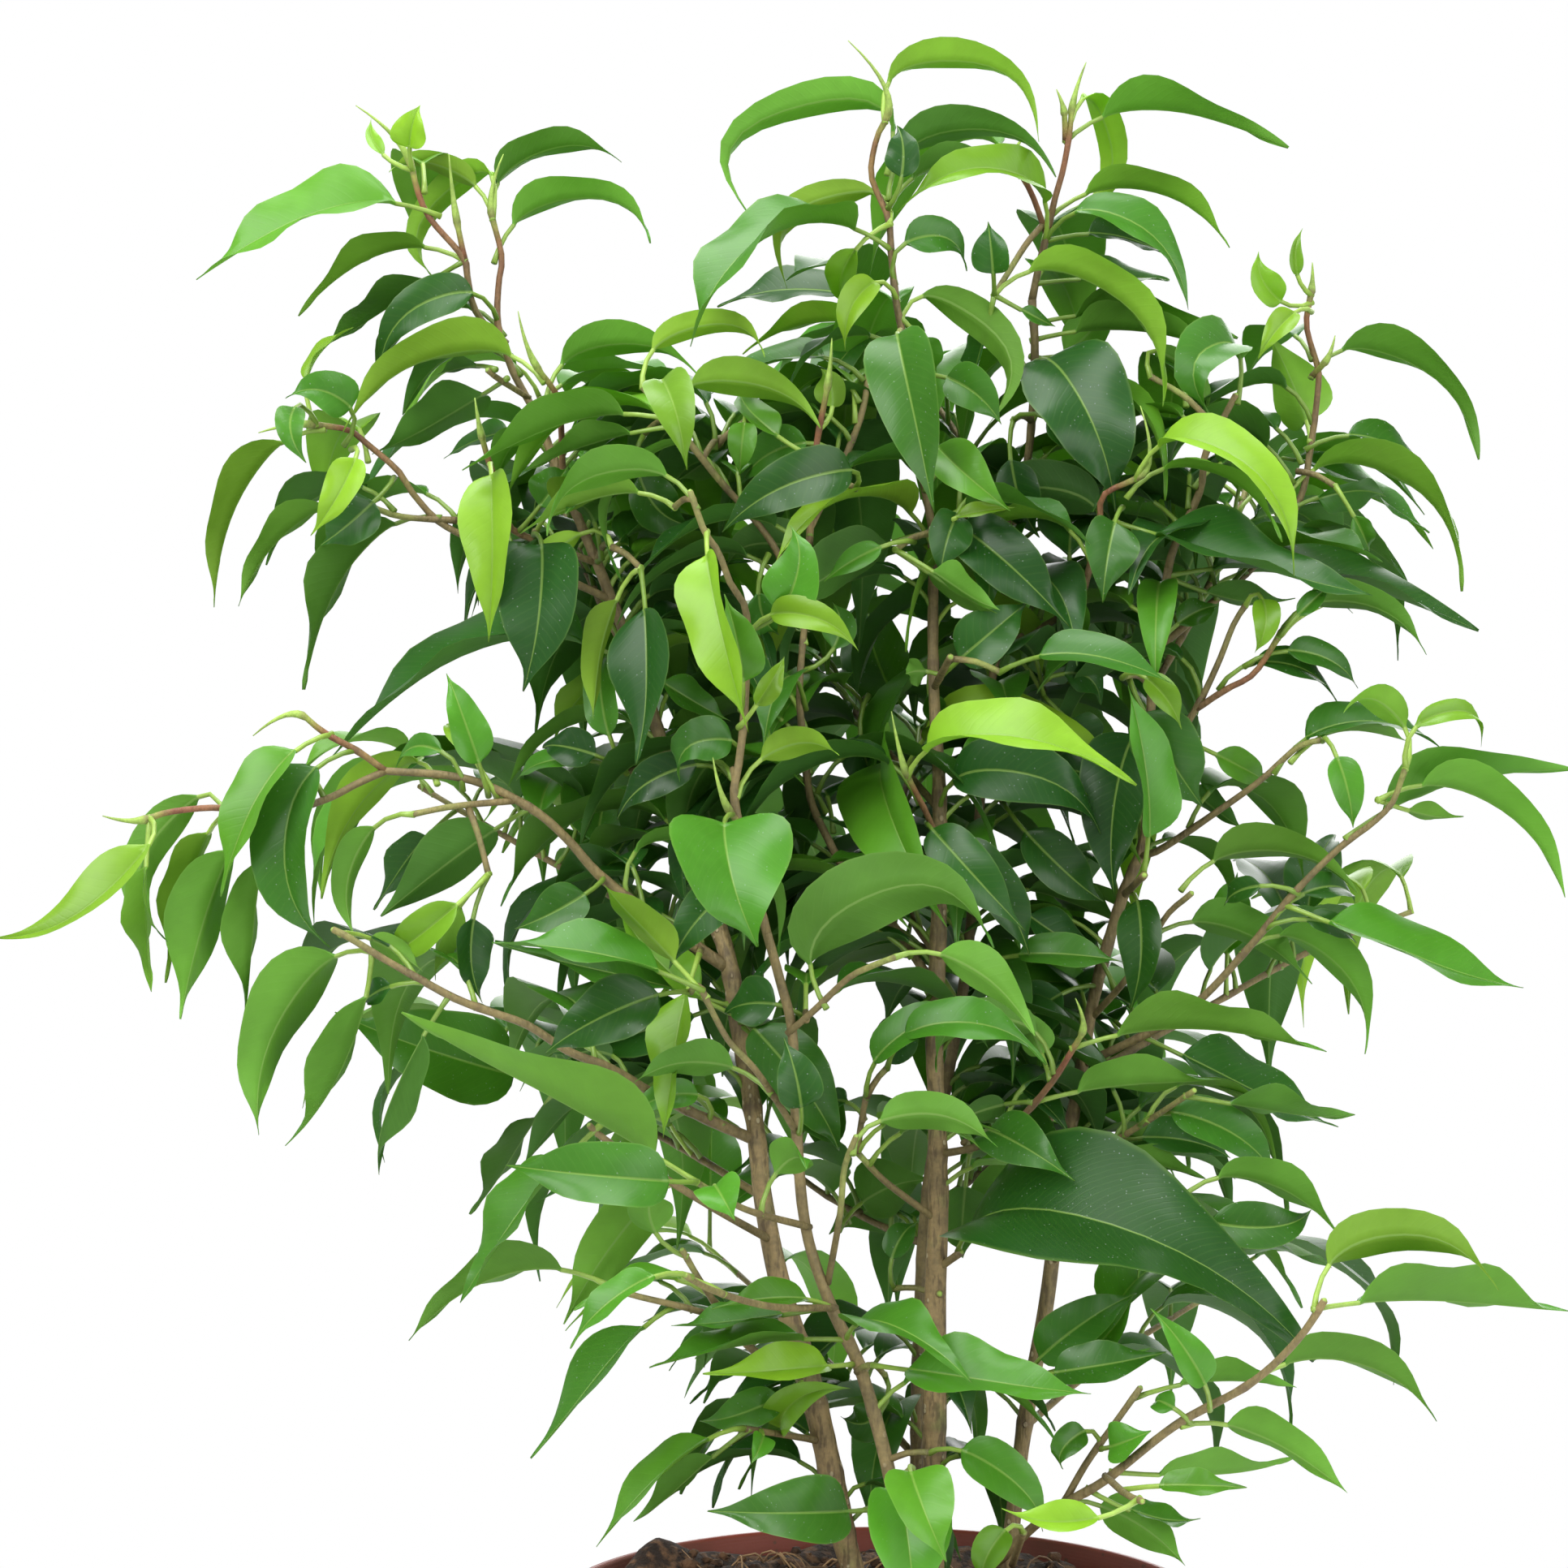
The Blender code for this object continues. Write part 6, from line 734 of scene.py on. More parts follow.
@dataclass
class Leaf:
    """One leaf: a curve from its root over its crown to its tip, and the blade that it carries."""

    stem: int
    root: Array
    crown: Array
    tip: Array
    normal: Array
    width: float
    age: float
    petiole: float = PETIOLE_LENGTH
    fold: float = 0.35
    plain: bool = False

    def __post_init__(self) -> None:
        """Lay the midrib as two near-circular arcs that meet in the crown, and measure it."""
        self.line = self.midrib(9)
        self.along = self.measured(self.line)

    def midrib(self, count: int) -> Array:
        """The midrib's points, `count` of them on either side of the crown.

        Args:
            count: How many points each half has.

        Returns:
            The points from root to tip.
        """
        before = self.crown - self.root
        after = self.tip - self.crown
        early = math.sqrt(norm(before))
        late = math.sqrt(norm(after))
        way = unit(before * late / early + after * early / late)
        return np.vstack((quadratic(self.root, self.crown, -way, count)[::-1],
                          quadratic(self.tip, self.crown, way, count)[1:]))

    @staticmethod
    def measured(line: Array) -> Array:
        """How far each point of a line lies along it."""
        steps = norm(np.diff(line, axis=0), axis=1)
        return np.concatenate(((0,), np.cumsum(steps)))

    @staticmethod
    def read_off(line: Array, along: Array, shares: Array) -> tuple[Array, Array]:
        """Points and unit directions of a line at shares of its length.

        Args:
            line: The line's points.
            along: How far each lies along it.
            shares: Where to read, from 0 to 1.

        Returns:
            The points and the directions there.
        """
        stops = np.asarray(shares, float) * along[-1]
        points = [np.interp(stops, along, line[:, k]) for k in range(3)]
        turns = np.gradient(line, along, axis=0)
        ways = np.column_stack([np.interp(stops, along, turns[:, k]) for k in range(3)])
        return np.column_stack(points), units(ways)

    def solid(self, margin: float = 0.0, whole: bool = True) -> Solid:
        """The leaf as its CAD solid has it, for testing what it touches.

        Args:
            margin: How much wider and thicker than the blade.
            whole: Whether the stalk is part of it.

        Returns:
            A closed solid: a diamond section carried along the midrib.
        """
        length = float(self.along[-1])
        stalk = min(self.petiole / length, LONGEST_STALK)
        middle = (self.along[len(self.along) // 2] / length - stalk) / (1 - stalk)
        crown = min(max(middle, CROWN_SHARES[0]), CROWN_SHARES[1])
        if self.plain:
            stations = (crown,)
        elif self.width > WIDE_BLADE:
            stations = (0.06, crown, crown + 0.28, crown + 0.46)
        else:
            stations = (crown, crown + 0.5 * (1 - crown))
        sections = [(stalk + (1 - stalk) * s, self.width / 2 * np.interp(s, *BLADE_OUTLINE),
                     BLADE_THICKNESS / 2, self.fold) for s in stations]
        if whole:
            sections.insert(0, (STALK_RING / length, STALK_HALF, STALK_HALF, 0.0))
        points, ways = self.read_off(self.line, self.along, [section[0] for section in sections] + [0.0, 1.0])
        across = unit(np.cross(self.tip - self.root, self.normal))
        rings = []
        for point, way, (_, half, thickness, fold) in zip(points, ways, sections):
            side = unit(across - way * (across @ way))
            rise = np.cross(side, way)
            half += margin
            lift = rise * half * math.sin(fold)
            spread = side * half * math.cos(fold)
            rings.append((point + spread + lift, point + rise * (thickness + margin),
                          point - spread + lift, point - rise * (thickness + margin)))
        start = points[-2] - ways[-2] * ROOT_SINK if whole else None
        return blade_faces(start, rings, points[-1] + ways[-1] * margin)


class Thicket:
    """What is already there: the solids that a new twig or leaf has to stay clear of."""

    def __init__(self) -> None:
        """Start with nothing."""
        self.low = np.zeros((MOST_SOLIDS, 3))
        self.high = np.zeros((MOST_SOLIDS, 3))
        self.trees = []
        self.stems = []

    def add(self, stem: int, solid: Solid) -> None:
        """Remember a solid that belongs to a stem.

        Args:
            stem: The stem's number.
            solid: The solid.
        """
        points, faces = solid
        self.low[len(self.trees)] = points.min(axis=0)
        self.high[len(self.trees)] = points.max(axis=0)
        self.trees.append(BVHTree.FromPolygons(points.tolist(), faces))
        self.stems.append(stem)

    def touched(self, solid: Solid, stem: int, own: bool) -> bool:
        """Whether a solid crosses a remembered one of its own stem, or of any other stem.

        Args:
            solid: The solid.
            stem: Its stem.
            own: Whether its own stem's solids count.

        Returns:
            True where it crosses one.
        """
        points, faces = solid
        count = len(self.trees)
        apart = (self.low[:count] > points.max(axis=0)) | (self.high[:count] < points.min(axis=0))
        near = [k for k in np.flatnonzero(~apart.any(axis=1)) if (self.stems[k] == stem) == own]
        if not near:
            return False
        tree = BVHTree.FromPolygons(points.tolist(), faces)
        return any(tree.overlap(self.trees[k]) for k in near)


class Plant:
    """The whole plant: its twigs and leaves, grown one after another and kept clear of each other."""

    def __init__(self) -> None:
        """Start with the pot's wall and the clump of soil."""
        self.twigs: list[Twig] = []
        self.leaves: list[Leaf] = []
        self.thicket = Thicket()
        self.clearance = CLEARANCE
        self.reach = HIDING_REACH
        self.gaps = ()
        self.box = None
        self.random = np.random.default_rng(SEED)
        foot = POT_HEIGHT - RIM_DEPTH
        wall = ((POT_BASE_RADIUS, 0), (POT_BODY_RADIUS, foot), (POT_RIM_RADIUS + 1, foot),
                (POT_RIM_RADIUS + 1, POT_HEIGHT + 1))
        self.thicket.add(-1, lofted([circle(radius, height, 24) for radius, height in wall]))
        clump = [(*CLUMP_PLACE, 0) + circle(2 * CLUMP_SPREAD, SOIL_LEVEL, 12),
                 (*CLUMP_PLACE, 0) + circle(CLUMP_SPREAD / 2, SOIL_LEVEL + CLUMP_HEIGHT + 4, 12)]
        self.thicket.add(-1, lofted(clump))

    def grow(self) -> None:
        """Grow what the solids have, and then the further leaves, which are too thin for the solids."""
        self.grow_stems()
        self.grow_seen_leaves(SEEN_LEAVES)
        marks = self.seen_marks()
        self.grow_filling_leaves(FILLING_LEAVES, marks, NODE_SPACING, NODE_APART)
        self.clearance, self.reach, self.gaps = THIN_CLEARANCE, NEAR_REACH, OPEN_GAPS
        self.grow_seen_leaves(NEARER_LEAVES)
        self.trim_bare_ends()
        count = len(self.thicket.trees)
        self.box = (self.thicket.low[:count].min(axis=0) - BOX_MARGIN,
                    self.thicket.high[:count].max(axis=0) + BOX_MARGIN)
        self.grow_filling_leaves(FURTHER_LEAVES, marks, FURTHER_SPACING, FURTHER_APART)

    def seen_marks(self) -> Array:
        """Where the leaves that are read from the front lie: across, up and depth of points on them.

        Returns:
            A row for each point.
        """
        shares = np.linspace(0.3, 1.0, 6)
        lines = [leaf.read_off(leaf.line, leaf.along, shares)[0] for leaf in self.leaves]
        return np.vstack([np.column_stack((as_seen(points), points[:, 1])) for points in lines])

    def add_twig(self, twig: Twig) -> None:
        """Grow a twig."""
        self.twigs.append(twig)
        self.thicket.add(twig.stem, twig.tube(0.0))

    def add_leaf(self, leaf: Leaf) -> None:
        """Grow a leaf."""
        self.leaves.append(leaf)
        self.thicket.add(leaf.stem, leaf.solid())

    def nearest_spot(self, stem: int, point: Array) -> Array:
        """The point on the wood of a stem that is nearest to a point."""
        spots = np.vstack([twig.spots for twig in self.twigs if twig.stem == stem])
        return spots[np.argmin(norm(spots - point, axis=1))]

    def grow_stems(self) -> None:
        """Grow every stem with its branches, along their routes."""
        for stem, routes in enumerate(STEMS.values()):
            for number, route in enumerate(routes):
                points = np.array([placed(*point) for point in route.points])
                if number:
                    points[0] = self.nearest_spot(stem, points[0])
                spike = placed(*route.spike) if route.spike else None
                self.add_twig(Twig(stem, points, route.thick, route.thin, spike))

    def candidates(self, across: float, up: float, behind: float | None) -> list[tuple[float, int, int]]:
        """The best root on each twig for a leaf whose base shows at (across, up), nearest first.

        Args:
            across: Where the base shows.
            up: Where the base shows.
            behind: Its depth, or None for any.

        Returns:
            The cost, the twig and its spot, for each root.
        """
        found = []
        for number, twig in enumerate(self.twigs):
            apart = norm(twig.seen - (across, up), axis=1)
            cost = apart + THICK_COST * np.maximum(twig.spot_radii - 1.0, 0)
            if behind is not None:
                cost = cost + DEPTH_COST * np.abs(twig.spots[:, 1] - behind)
            best = int(np.argmin(cost))
            found.append((float(cost[best]), number, best))
        return sorted(found)[:ROOT_CHOICES]

    def root_for(self, across: float, up: float, behind: float | None = None
                 ) -> tuple[int | None, Array | None]:
        """A root on the nearest twig, or on a new twiglet where the nearest is too far off.

        Args:
            across: Where the leaf's base shows.
            up: Where the leaf's base shows.
            behind: How deep it stands, or None for the depth of the nearest twig.

        Returns:
            The stem and the root point, or None twice where no twig can carry the leaf.
        """
        for _, number, best in self.candidates(across, up, behind):
            twig = self.twigs[number]
            spot = twig.spots[best]
            depth = spot[1] if behind is None else behind
            base = placed(across, up, depth)
            if norm(base - spot) < PETIOLE_REACH:
                return twig.stem, spot
            end = base + unit(spot - base) * TWIGLET_SHORT
            middle = (spot + end) / 2 + UP * TWIGLET_ARCH * norm(end - spot)
            twiglet = Twig(twig.stem, (spot, middle, end), TWIGLET_THICK, TWIGLET_THIN)
            if not self.thicket.touched(twiglet.tube(CLEARANCE), twig.stem, own=False):
                self.add_twig(twiglet)
                return twig.stem, end
        return None, None

    def fits(self, leaf: Leaf, strict: bool = True) -> bool:
        """Whether a leaf is clear of other stems and, if strict, of its own stem's leaves and wood.

        Args:
            leaf: The leaf.
            strict: Whether its own stem counts too.

        Returns:
            True where it is clear.
        """
        if self.thicket.touched(leaf.solid(self.clearance), leaf.stem, own=False):
            return False
        blade = leaf.solid(self.clearance, whole=False)
        return not (strict and self.thicket.touched(blade, leaf.stem, own=True))

    def seen_leaf(self, row: tuple, stem: int, root: Array, shift: tuple, size: float) -> Leaf:
        """A leaf as it is read from the front, swung in depth and moved a little where it must be.

        Args:
            row: A row of SEEN_LEAVES.
            stem: The stem that it grows on.
            root: Where it grows from.
            shift: How far its tip swings back, sideways and up.
            size: How large it is against the row.

        Returns:
            The leaf. Its blade is turned until it shows as wide as the row says, and its midrib lies
            below the row's crown, because the crown is the upper edge of what is seen.
        """
        crown_x, crown_z, tip_x, tip_z, seen, reach, age = row[2:9]
        swing, side, lift = shift
        toward = 1.0 if seen > 0 else -1.0
        flat_root = as_seen(root)
        flat_crown = flat_root + (np.array((crown_x, crown_z)) - flat_root) * size
        flat_tip = flat_root + (np.array((tip_x + side, tip_z + lift)) - flat_root) * size
        tip = placed(*flat_tip, root[1] + (reach + swing) * size)
        middle = (root + tip) / 2
        view = unit(EYE - middle)
        length = norm(tip - root) * ARCH_LENGTH
        width = max(slimness(age) * max(length - PETIOLE_LENGTH, LEAST_BLADE), abs(seen) * size)
        roll = math.asin(min(FULL_TURN_SHARE, abs(seen) * size / width))
        fold = OLD_FOLD + FOLD_WITH_AGE * age
        flat_arch = flat_outward(flat_root, flat_crown, flat_tip)
        arch = np.array((flat_arch[0], 0.0, flat_arch[1]))
        arch = unit(arch - view * (arch @ view))
        rise = norm(flat_crown - (flat_root + flat_tip) / 2)
        least, most = (share * length for share in BULGE_SHARES)
        bulge = min(max(rise * math.tan(roll), least), most) * math.sin(roll)
        crown = placed(*flat_crown, middle[1] - toward * bulge)
        normal = arch * math.cos(roll) + toward * view * math.sin(roll)
        edge_over_rib = width / 2 * (math.cos(fold) * math.sin(roll) + math.sin(fold) * math.cos(roll))
        widest, spread = NARROW_BLADES
        narrow = min(1.0, max(LEAST_DROP, (widest - abs(seen)) / spread))
        crown = crown - arch * edge_over_rib * CROWN_DROP * narrow
        return Leaf(stem, root, crown, tip, normal, width, age, fold=fold)

    def grow_seen_leaves(self, rows: tuple[tuple, ...]) -> None:
        """Grow leaves that are read from the front, one for each row.

        Args:
            rows: Rows as in SEEN_LEAVES.
        """
        shifts = [(swing, side, lift) for swing in SWINGS for side, lift in NUDGES]
        shifts.sort(key=lambda shift: abs(shift[0]) / 4 + abs(shift[1]) + abs(shift[2]))
        for row in rows:
            stem, root = self.root_for(*row[:2], *row[9:])
            if stem is None:
                continue
            tries = ((size, strict, shift) for strict in (True, False) for size in SEEN_SIZES
                     for shift in shifts)
            for size, strict, shift in tries:
                leaf = self.seen_leaf(row, stem, root, shift, size)
                if self.fits(leaf, strict):
                    self.add_leaf(leaf)
                    break

    def in_the_crown(self, points: Array, marks: Array) -> bool:
        """Whether every point lies behind a leaf that is seen near it, or in a gap of the closed crown.

        Args:
            points: Points on a leaf.
            marks: Where the leaves seen from the front lie.

        Returns:
            True where the crown hides them all.
        """
        for spot, point in zip(as_seen(points), points):
            near = norm(marks[:, :2] - spot, axis=1) < self.reach
            if near.any():
                hidden = marks[near, 2].min() + BEHIND_MARKS < point[1]
            else:
                hidden = point[1] > CROWN_FRONT and inside(spot, CLOSED_CROWN)
            if not hidden:
                return False
        return not any(inside(spot, gap) for gap in self.gaps for spot in as_seen(points))

    @staticmethod
    def filling_leaf(twig: Twig, distance: float, azimuth: float, droop: float, size: float) -> tuple:
        """A leaf by rule: it leaves the twig at an azimuth round it, arches over and hangs.

        Args:
            twig: The twig that carries it.
            distance: How far along the twig.
            azimuth: The angle round the twig.
            droop: How far its tip hangs, as an angle.
            size: Its size against the usual one.

        Returns:
            Its root, crown, tip and normal.
        """
        root = twig.at([distance])[0]
        way = twig.direction(distance)
        first = unit(np.cross(way, (0.2, 0.9, 0.4)))
        second = np.cross(way, first)
        out = first * math.cos(azimuth) + second * math.sin(azimuth)
        level = unit((out + way * FORWARD) * (1, 1, LEVELLING))
        length = FILLING_LENGTH * size
        crown = root + unit(level + UP * CROWN_RISE) * length * CROWN_REACH
        tip = root + unit(level * math.cos(droop) - UP * math.sin(droop)) * length * TIP_REACH
        return root, crown, tip, unit(crown - (root + tip) / 2)

    def grow_filling_leaves(self, wanted: int, marks: Array, spacing: float, apart: float) -> None:
        """Grow leaves by rule at the nodes of every twig, behind those read from the front.

        Args:
            wanted: How many leaves at most.
            marks: Where the leaves that are read from the front lie.
            spacing: How far apart the nodes are.
            apart: How far a leaf's root has to be from every other.
        """
        taken = np.array([leaf.root for leaf in self.leaves])
        plan = []
        for number, twig in enumerate(self.twigs):
            start = BARE_TRUNK if twig.radii[0] > THICK_WOOD else BARE_TWIG
            turn = self.random.uniform(0, 2 * math.pi)
            for k, stop in enumerate(np.arange(start, twig.length + 2.0, spacing)):
                draw = self.random.uniform(size=5)
                plan.append((number, min(stop, twig.length), turn + DIVERGENCE * k, draw))
        depths = [self.twigs[item[0]].at([item[1]])[0][1] + DEPTH_SCATTER * item[3][4] for item in plan]
        grown = 0
        for number, distance, azimuth, draw in (plan[k] for k in np.argsort(depths)[::-1]):
            if grown >= wanted:
                break
            twig = self.twigs[number]
            root = twig.at([distance])[0]
            bare = distance > twig.kept_share * twig.length or root[2] < POT_HEIGHT + LOWEST_ROOT
            if bare or norm(taken - root, axis=1).min() < apart:
                continue
            size = FILLING_SIZES[0] + FILLING_SIZES[1] * draw[0]
            droop = math.radians(FILLING_DROOPS[0] + FILLING_DROOPS[1] * draw[1])
            age = min(YOUNGEST, FILLING_AGE * draw[2] ** 2 * (distance / twig.length))
            leaf = self.first_fit(twig, distance, azimuth, droop, size, age, marks)
            if leaf:
                self.add_leaf(leaf)
                taken = np.vstack((taken, leaf.root))
                grown += 1
        LOG.info("filling leaves: %d of %d", grown, wanted)

    def first_fit(self, twig: Twig, distance: float, azimuth: float, droop: float, size: float, age: float,
                  marks: Array) -> Leaf | None:
        """The first of a fixed list of turns, droops and sizes at which a filling leaf is clear.

        Args:
            twig: The twig that carries it.
            distance: How far along the twig.
            azimuth: The angle round the twig that is tried first.
            droop: How far its tip hangs, as an angle.
            size: Its size against the usual one.
            age: From 0, old and dark, to 10, young and lime.
            marks: Where the leaves that are seen from the front lie.

        Returns:
            The leaf, or None where none fits.
        """
        for shrink in FILLING_SHRINKS:
            for turn in FILLING_TURNS:
                for dip in FILLING_DIPS:
                    root, crown, tip, normal = self.filling_leaf(
                        twig, distance, azimuth + math.radians(turn), droop + math.radians(dip),
                        size * shrink)
                    width = slimness(age) * (FILLING_LENGTH * size * shrink - PETIOLE_LENGTH)
                    leaf = Leaf(twig.stem, root, crown, tip, normal, width, age, plain=True)
                    points = leaf.read_off(leaf.line, leaf.along, SHARES_HIDDEN)[0]
                    if self.box:
                        points = np.vstack((points, leaf.solid(whole=False)[0]))
                        if (points < self.box[0]).any() or (points > self.box[1]).any():
                            continue
                    if self.in_the_crown(points, marks) and self.fits(leaf):
                        return leaf
        return None

    def trim_bare_ends(self) -> None:
        """Cut every twig that ends without a bud where its last leaf or side twig leaves it."""
        for twig in list(self.twigs):
            if twig.spike is not None:
                continue
            others = [other for other in self.twigs if other.stem == twig.stem and other is not twig]
            roots = [leaf.root for leaf in self.leaves if leaf.stem == twig.stem]
            roots += [other.points[0] for other in others]
            apart = norm(np.array(roots)[:, None] - twig.spots[None], axis=2)
            on_it = apart.min(axis=1) < ON_TWIG
            if not on_it.any():
                self.twigs.remove(twig)
                continue
            last = apart[on_it].argmin(axis=1).max() / (len(twig.spots) - 1) * twig.length
            if last < twig.length - BARE_END:
                twig.kept_share = (last + BARE_END / 2) / twig.length


class Shading:
    """Adds nodes to one node tree and links them."""

    def __init__(self, tree: bpy.types.NodeTree) -> None:
        """Start on a tree."""
        self.tree = tree

    def plug(self, socket: bpy.types.NodeSocket, value: object) -> None:
        """Link a socket's input to another socket, or set it to a value.

        Args:
            socket: The input.
            value: A socket or a value.
        """
        if isinstance(value, bpy.types.NodeSocket):
            self.tree.links.new(value, socket)
        elif isinstance(value, tuple) and len(value) == 3 and socket.type == "RGBA":
            socket.default_value = (*value, 1.0)
        else:
            socket.default_value = value

    def add(self, kind: str, inputs: dict | None = None, **settings: object) -> bpy.types.Node:
        """A node of a kind, with its inputs plugged in by name or number and its settings made.

        Args:
            kind: The node's type without the word ShaderNode.
            inputs: What goes into its sockets.
            settings: Its properties.

        Returns:
            The node.
        """
        node = self.tree.nodes.new(f"ShaderNode{kind}")
        for name, value in settings.items():
            setattr(node, name, value)
        for name, value in (inputs or {}).items():
            self.plug(node.inputs[name], value)
        return node

    def math(self, operation: str, *values: object, clamp: bool = False) -> Socket:
        """The result of a Math node."""
        return self.add("Math", dict(enumerate(values)), operation=operation, use_clamp=clamp).outputs[0]

    def times(self, *values: object) -> Socket:
        """The product of two or more numbers."""
        return reduce(lambda first, second: self.math("MULTIPLY", first, second), values)

    def plus(self, first: object, second: object, clamp: bool = False) -> Socket:
        """The sum of two numbers."""
        return self.math("ADD", first, second, clamp=clamp)

    def minus(self, *values: object) -> Socket:
        """The first number less all the others."""
        return reduce(lambda first, second: self.math("SUBTRACT", first, second), values)

    def off_middle(self, value: object) -> Socket:
        """How far a number is from 0.5."""
        return self.math("ABSOLUTE", self.minus(value, 0.5))

    def mix(self, share: object, first: object, second: object, blend: str = "MIX") -> Socket:
        """Two colours mixed by a share.

        Args:
            share: How much of the second.
            first: A colour.
            second: A colour.
            blend: How they are mixed.

        Returns:
            The mixed colour.
        """
        node = self.add("Mix", data_type="RGBA", blend_type=blend)
        for number, value in ((0, share), (6, first), (7, second)):
            self.plug(node.inputs[number], value)
        return node.outputs[2]

    def over(self, body: object, *layers: tuple) -> object:
        """A colour under layers, each given as its mask, its strength and its colour.

        Args:
            body: The colour below.
            layers: A mask, a strength and a colour each.

        Returns:
            The colour that shows.
        """
        for mask, strength, colour in layers:
            body = self.mix(self.times(mask, strength), body, colour)
        return body

    def dimmed(self, colour: object, gain: object) -> Socket:
        """A colour times a number."""
        grey = self.add("CombineColor", {0: gain, 1: gain, 2: gain}).outputs[0]
        return self.mix(1.0, colour, grey, "MULTIPLY")

    def step(self, value: object, low: float, high: float) -> Socket:
        """0 below `low`, 1 above `high` and smooth between them. It falls where `low` is the higher.

        Args:
            value: The number.
            low: Where the step starts.
            high: Where it ends.

        Returns:
            A number from 0 to 1.
        """
        falling = low > high
        inputs = {0: value, 1: min(low, high), 2: max(low, high), 3: float(falling), 4: float(not falling)}
        return self.add("MapRange", inputs, interpolation_type="SMOOTHSTEP").outputs[0]

    def noise(self, vector: object, scale: float, detail: float = 2.0) -> Socket:
        """Soft noise from 0 to 1."""
        return self.add("TexNoise", {"Vector": vector, "Scale": scale, "Detail": detail}).outputs["Fac"]

    def value(self, name: str) -> Socket:
        """A number that the piece's mesh carries."""
        return self.add("Attribute", attribute_name=name).outputs["Fac"]

    def place(self) -> Socket:
        """The place on the object, in metres."""
        return self.add("TexCoord").outputs["Object"]

    def stretched(self, place: object, factors: object) -> Socket:
        """A place times a factor along each axis."""
        return self.add("VectorMath", {0: place, 1: factors}, operation="MULTIPLY").outputs[0]

    def bump(self, height: object, distance: float, strength: float = 1.0) -> Socket:
        """A normal that shows a height, whose full range is `distance` metres deep."""
        return self.add("Bump", {"Height": height, "Distance": distance, "Strength": strength}).outputs[0]

    def blend(self, share: object, first: Socket, second: Socket) -> Socket:
        """Two shaders mixed by a share."""
        return self.add("MixShader", {0: share, 1: first, 2: second}).outputs[0]


@dataclass
class Effect:
    """A node group that several materials share, built the first time that it is wanted."""

    name: str
    inputs: tuple[tuple[str, str, object], ...]
    outputs: tuple[tuple[str, str], ...]

    def fill(self, s: Shading, given: dict) -> tuple:
        """Lay the nodes between the group's inputs and outputs, and return what the outputs get."""
        raise NotImplementedError

    def tree(self) -> bpy.types.NodeTree:
        """The group, built once.

        Returns:
            The group's nodes.
        """
        found = bpy.data.node_groups.get(self.name)
        if found:
            return found
        made = bpy.data.node_groups.new(self.name, "ShaderNodeTree")
        for name, kind, start in self.inputs:
            made.interface.new_socket(name, in_out="INPUT", socket_type=kind).default_value = start
        for name, kind in self.outputs:
            made.interface.new_socket(name, in_out="OUTPUT", socket_type=kind)
        inside = Shading(made)
        given = made.nodes.new("NodeGroupInput").outputs
        results = made.nodes.new("NodeGroupOutput").inputs
        for socket, value in zip(results, self.fill(inside, given)):
            inside.plug(socket, value)
        return made

    def use(self, s: Shading, **values: object) -> dict:
        """Place the group in a material.

        Args:
            s: The material's shading.
            values: What goes into the group's inputs, with _ for a space in a name.

        Returns:
            The group's outputs by name.
        """
        node = s.tree.nodes.new("ShaderNodeGroup")
        node.node_tree = self.tree()
        for name, value in values.items():
            s.plug(node.inputs[name.replace("_", " ")], value)
        return {socket.name: socket for socket in node.outputs}


FLOAT = "NodeSocketFloat"
COLOUR = "NodeSocketColor"
VECTOR = "NodeSocketVector"


class LeafVeins(Effect):
    """A leaf's midrib, its fine side veins and its pale edge, from the leaf's own map in decimetres."""

    LEAN = 0.62
    BEND = 0.035
    WANDER = 0.8

    def __init__(self) -> None:
        """Name the group and its sockets."""
        super().__init__("leaf_veins", (("Spacing", FLOAT, 1.7), ("Rib width", FLOAT, 0.3)),
                         (("Rib", FLOAT), ("Side veins", FLOAT), ("Edge", FLOAT)))

    def fill(self, s: Shading, given: dict) -> tuple:
        """The rib is where the map's u is near its middle. Side veins are lines of v less u, curved.

        Args:
            s: The group's shading.
            given: Its inputs: the side veins' spacing and the rib's width, in millimetres.

        Returns:
            The masks of the rib, the side veins and the edge.
        """
        uv = s.add("UVMap", uv_map="blade").outputs[0]
        parts = s.add("SeparateXYZ", {0: uv})
        off = s.times(s.off_middle(parts.outputs[0]), BLADE_MAP)
        along = s.times(parts.outputs[1], BLADE_MAP)
        reach = s.value("reach")
        margin = s.value("margin")
        width = s.times(given["Rib width"], s.step(reach, 1.25, 0.0))
        rib = s.math("DIVIDE", off, s.plus(width, 0.05))
        bent = s.times(s.math("POWER", off, 2.0), self.BEND)
        wander = s.times(s.noise(uv, 30.0), self.WANDER)
        phase = s.plus(s.minus(along, s.times(off, self.LEAN), bent), wander)
        ridge = s.off_middle(s.math("FRACT", s.math("DIVIDE", phase, given["Spacing"])))
        fading = s.times(s.step(margin, 1.0, 0.75), s.step(reach, 1.0, 0.8))
        return (s.step(rib, 1.0, 0.45), s.times(s.step(ridge, 0.18, 0.0), fading),
                s.step(margin, 0.93, 1.0))


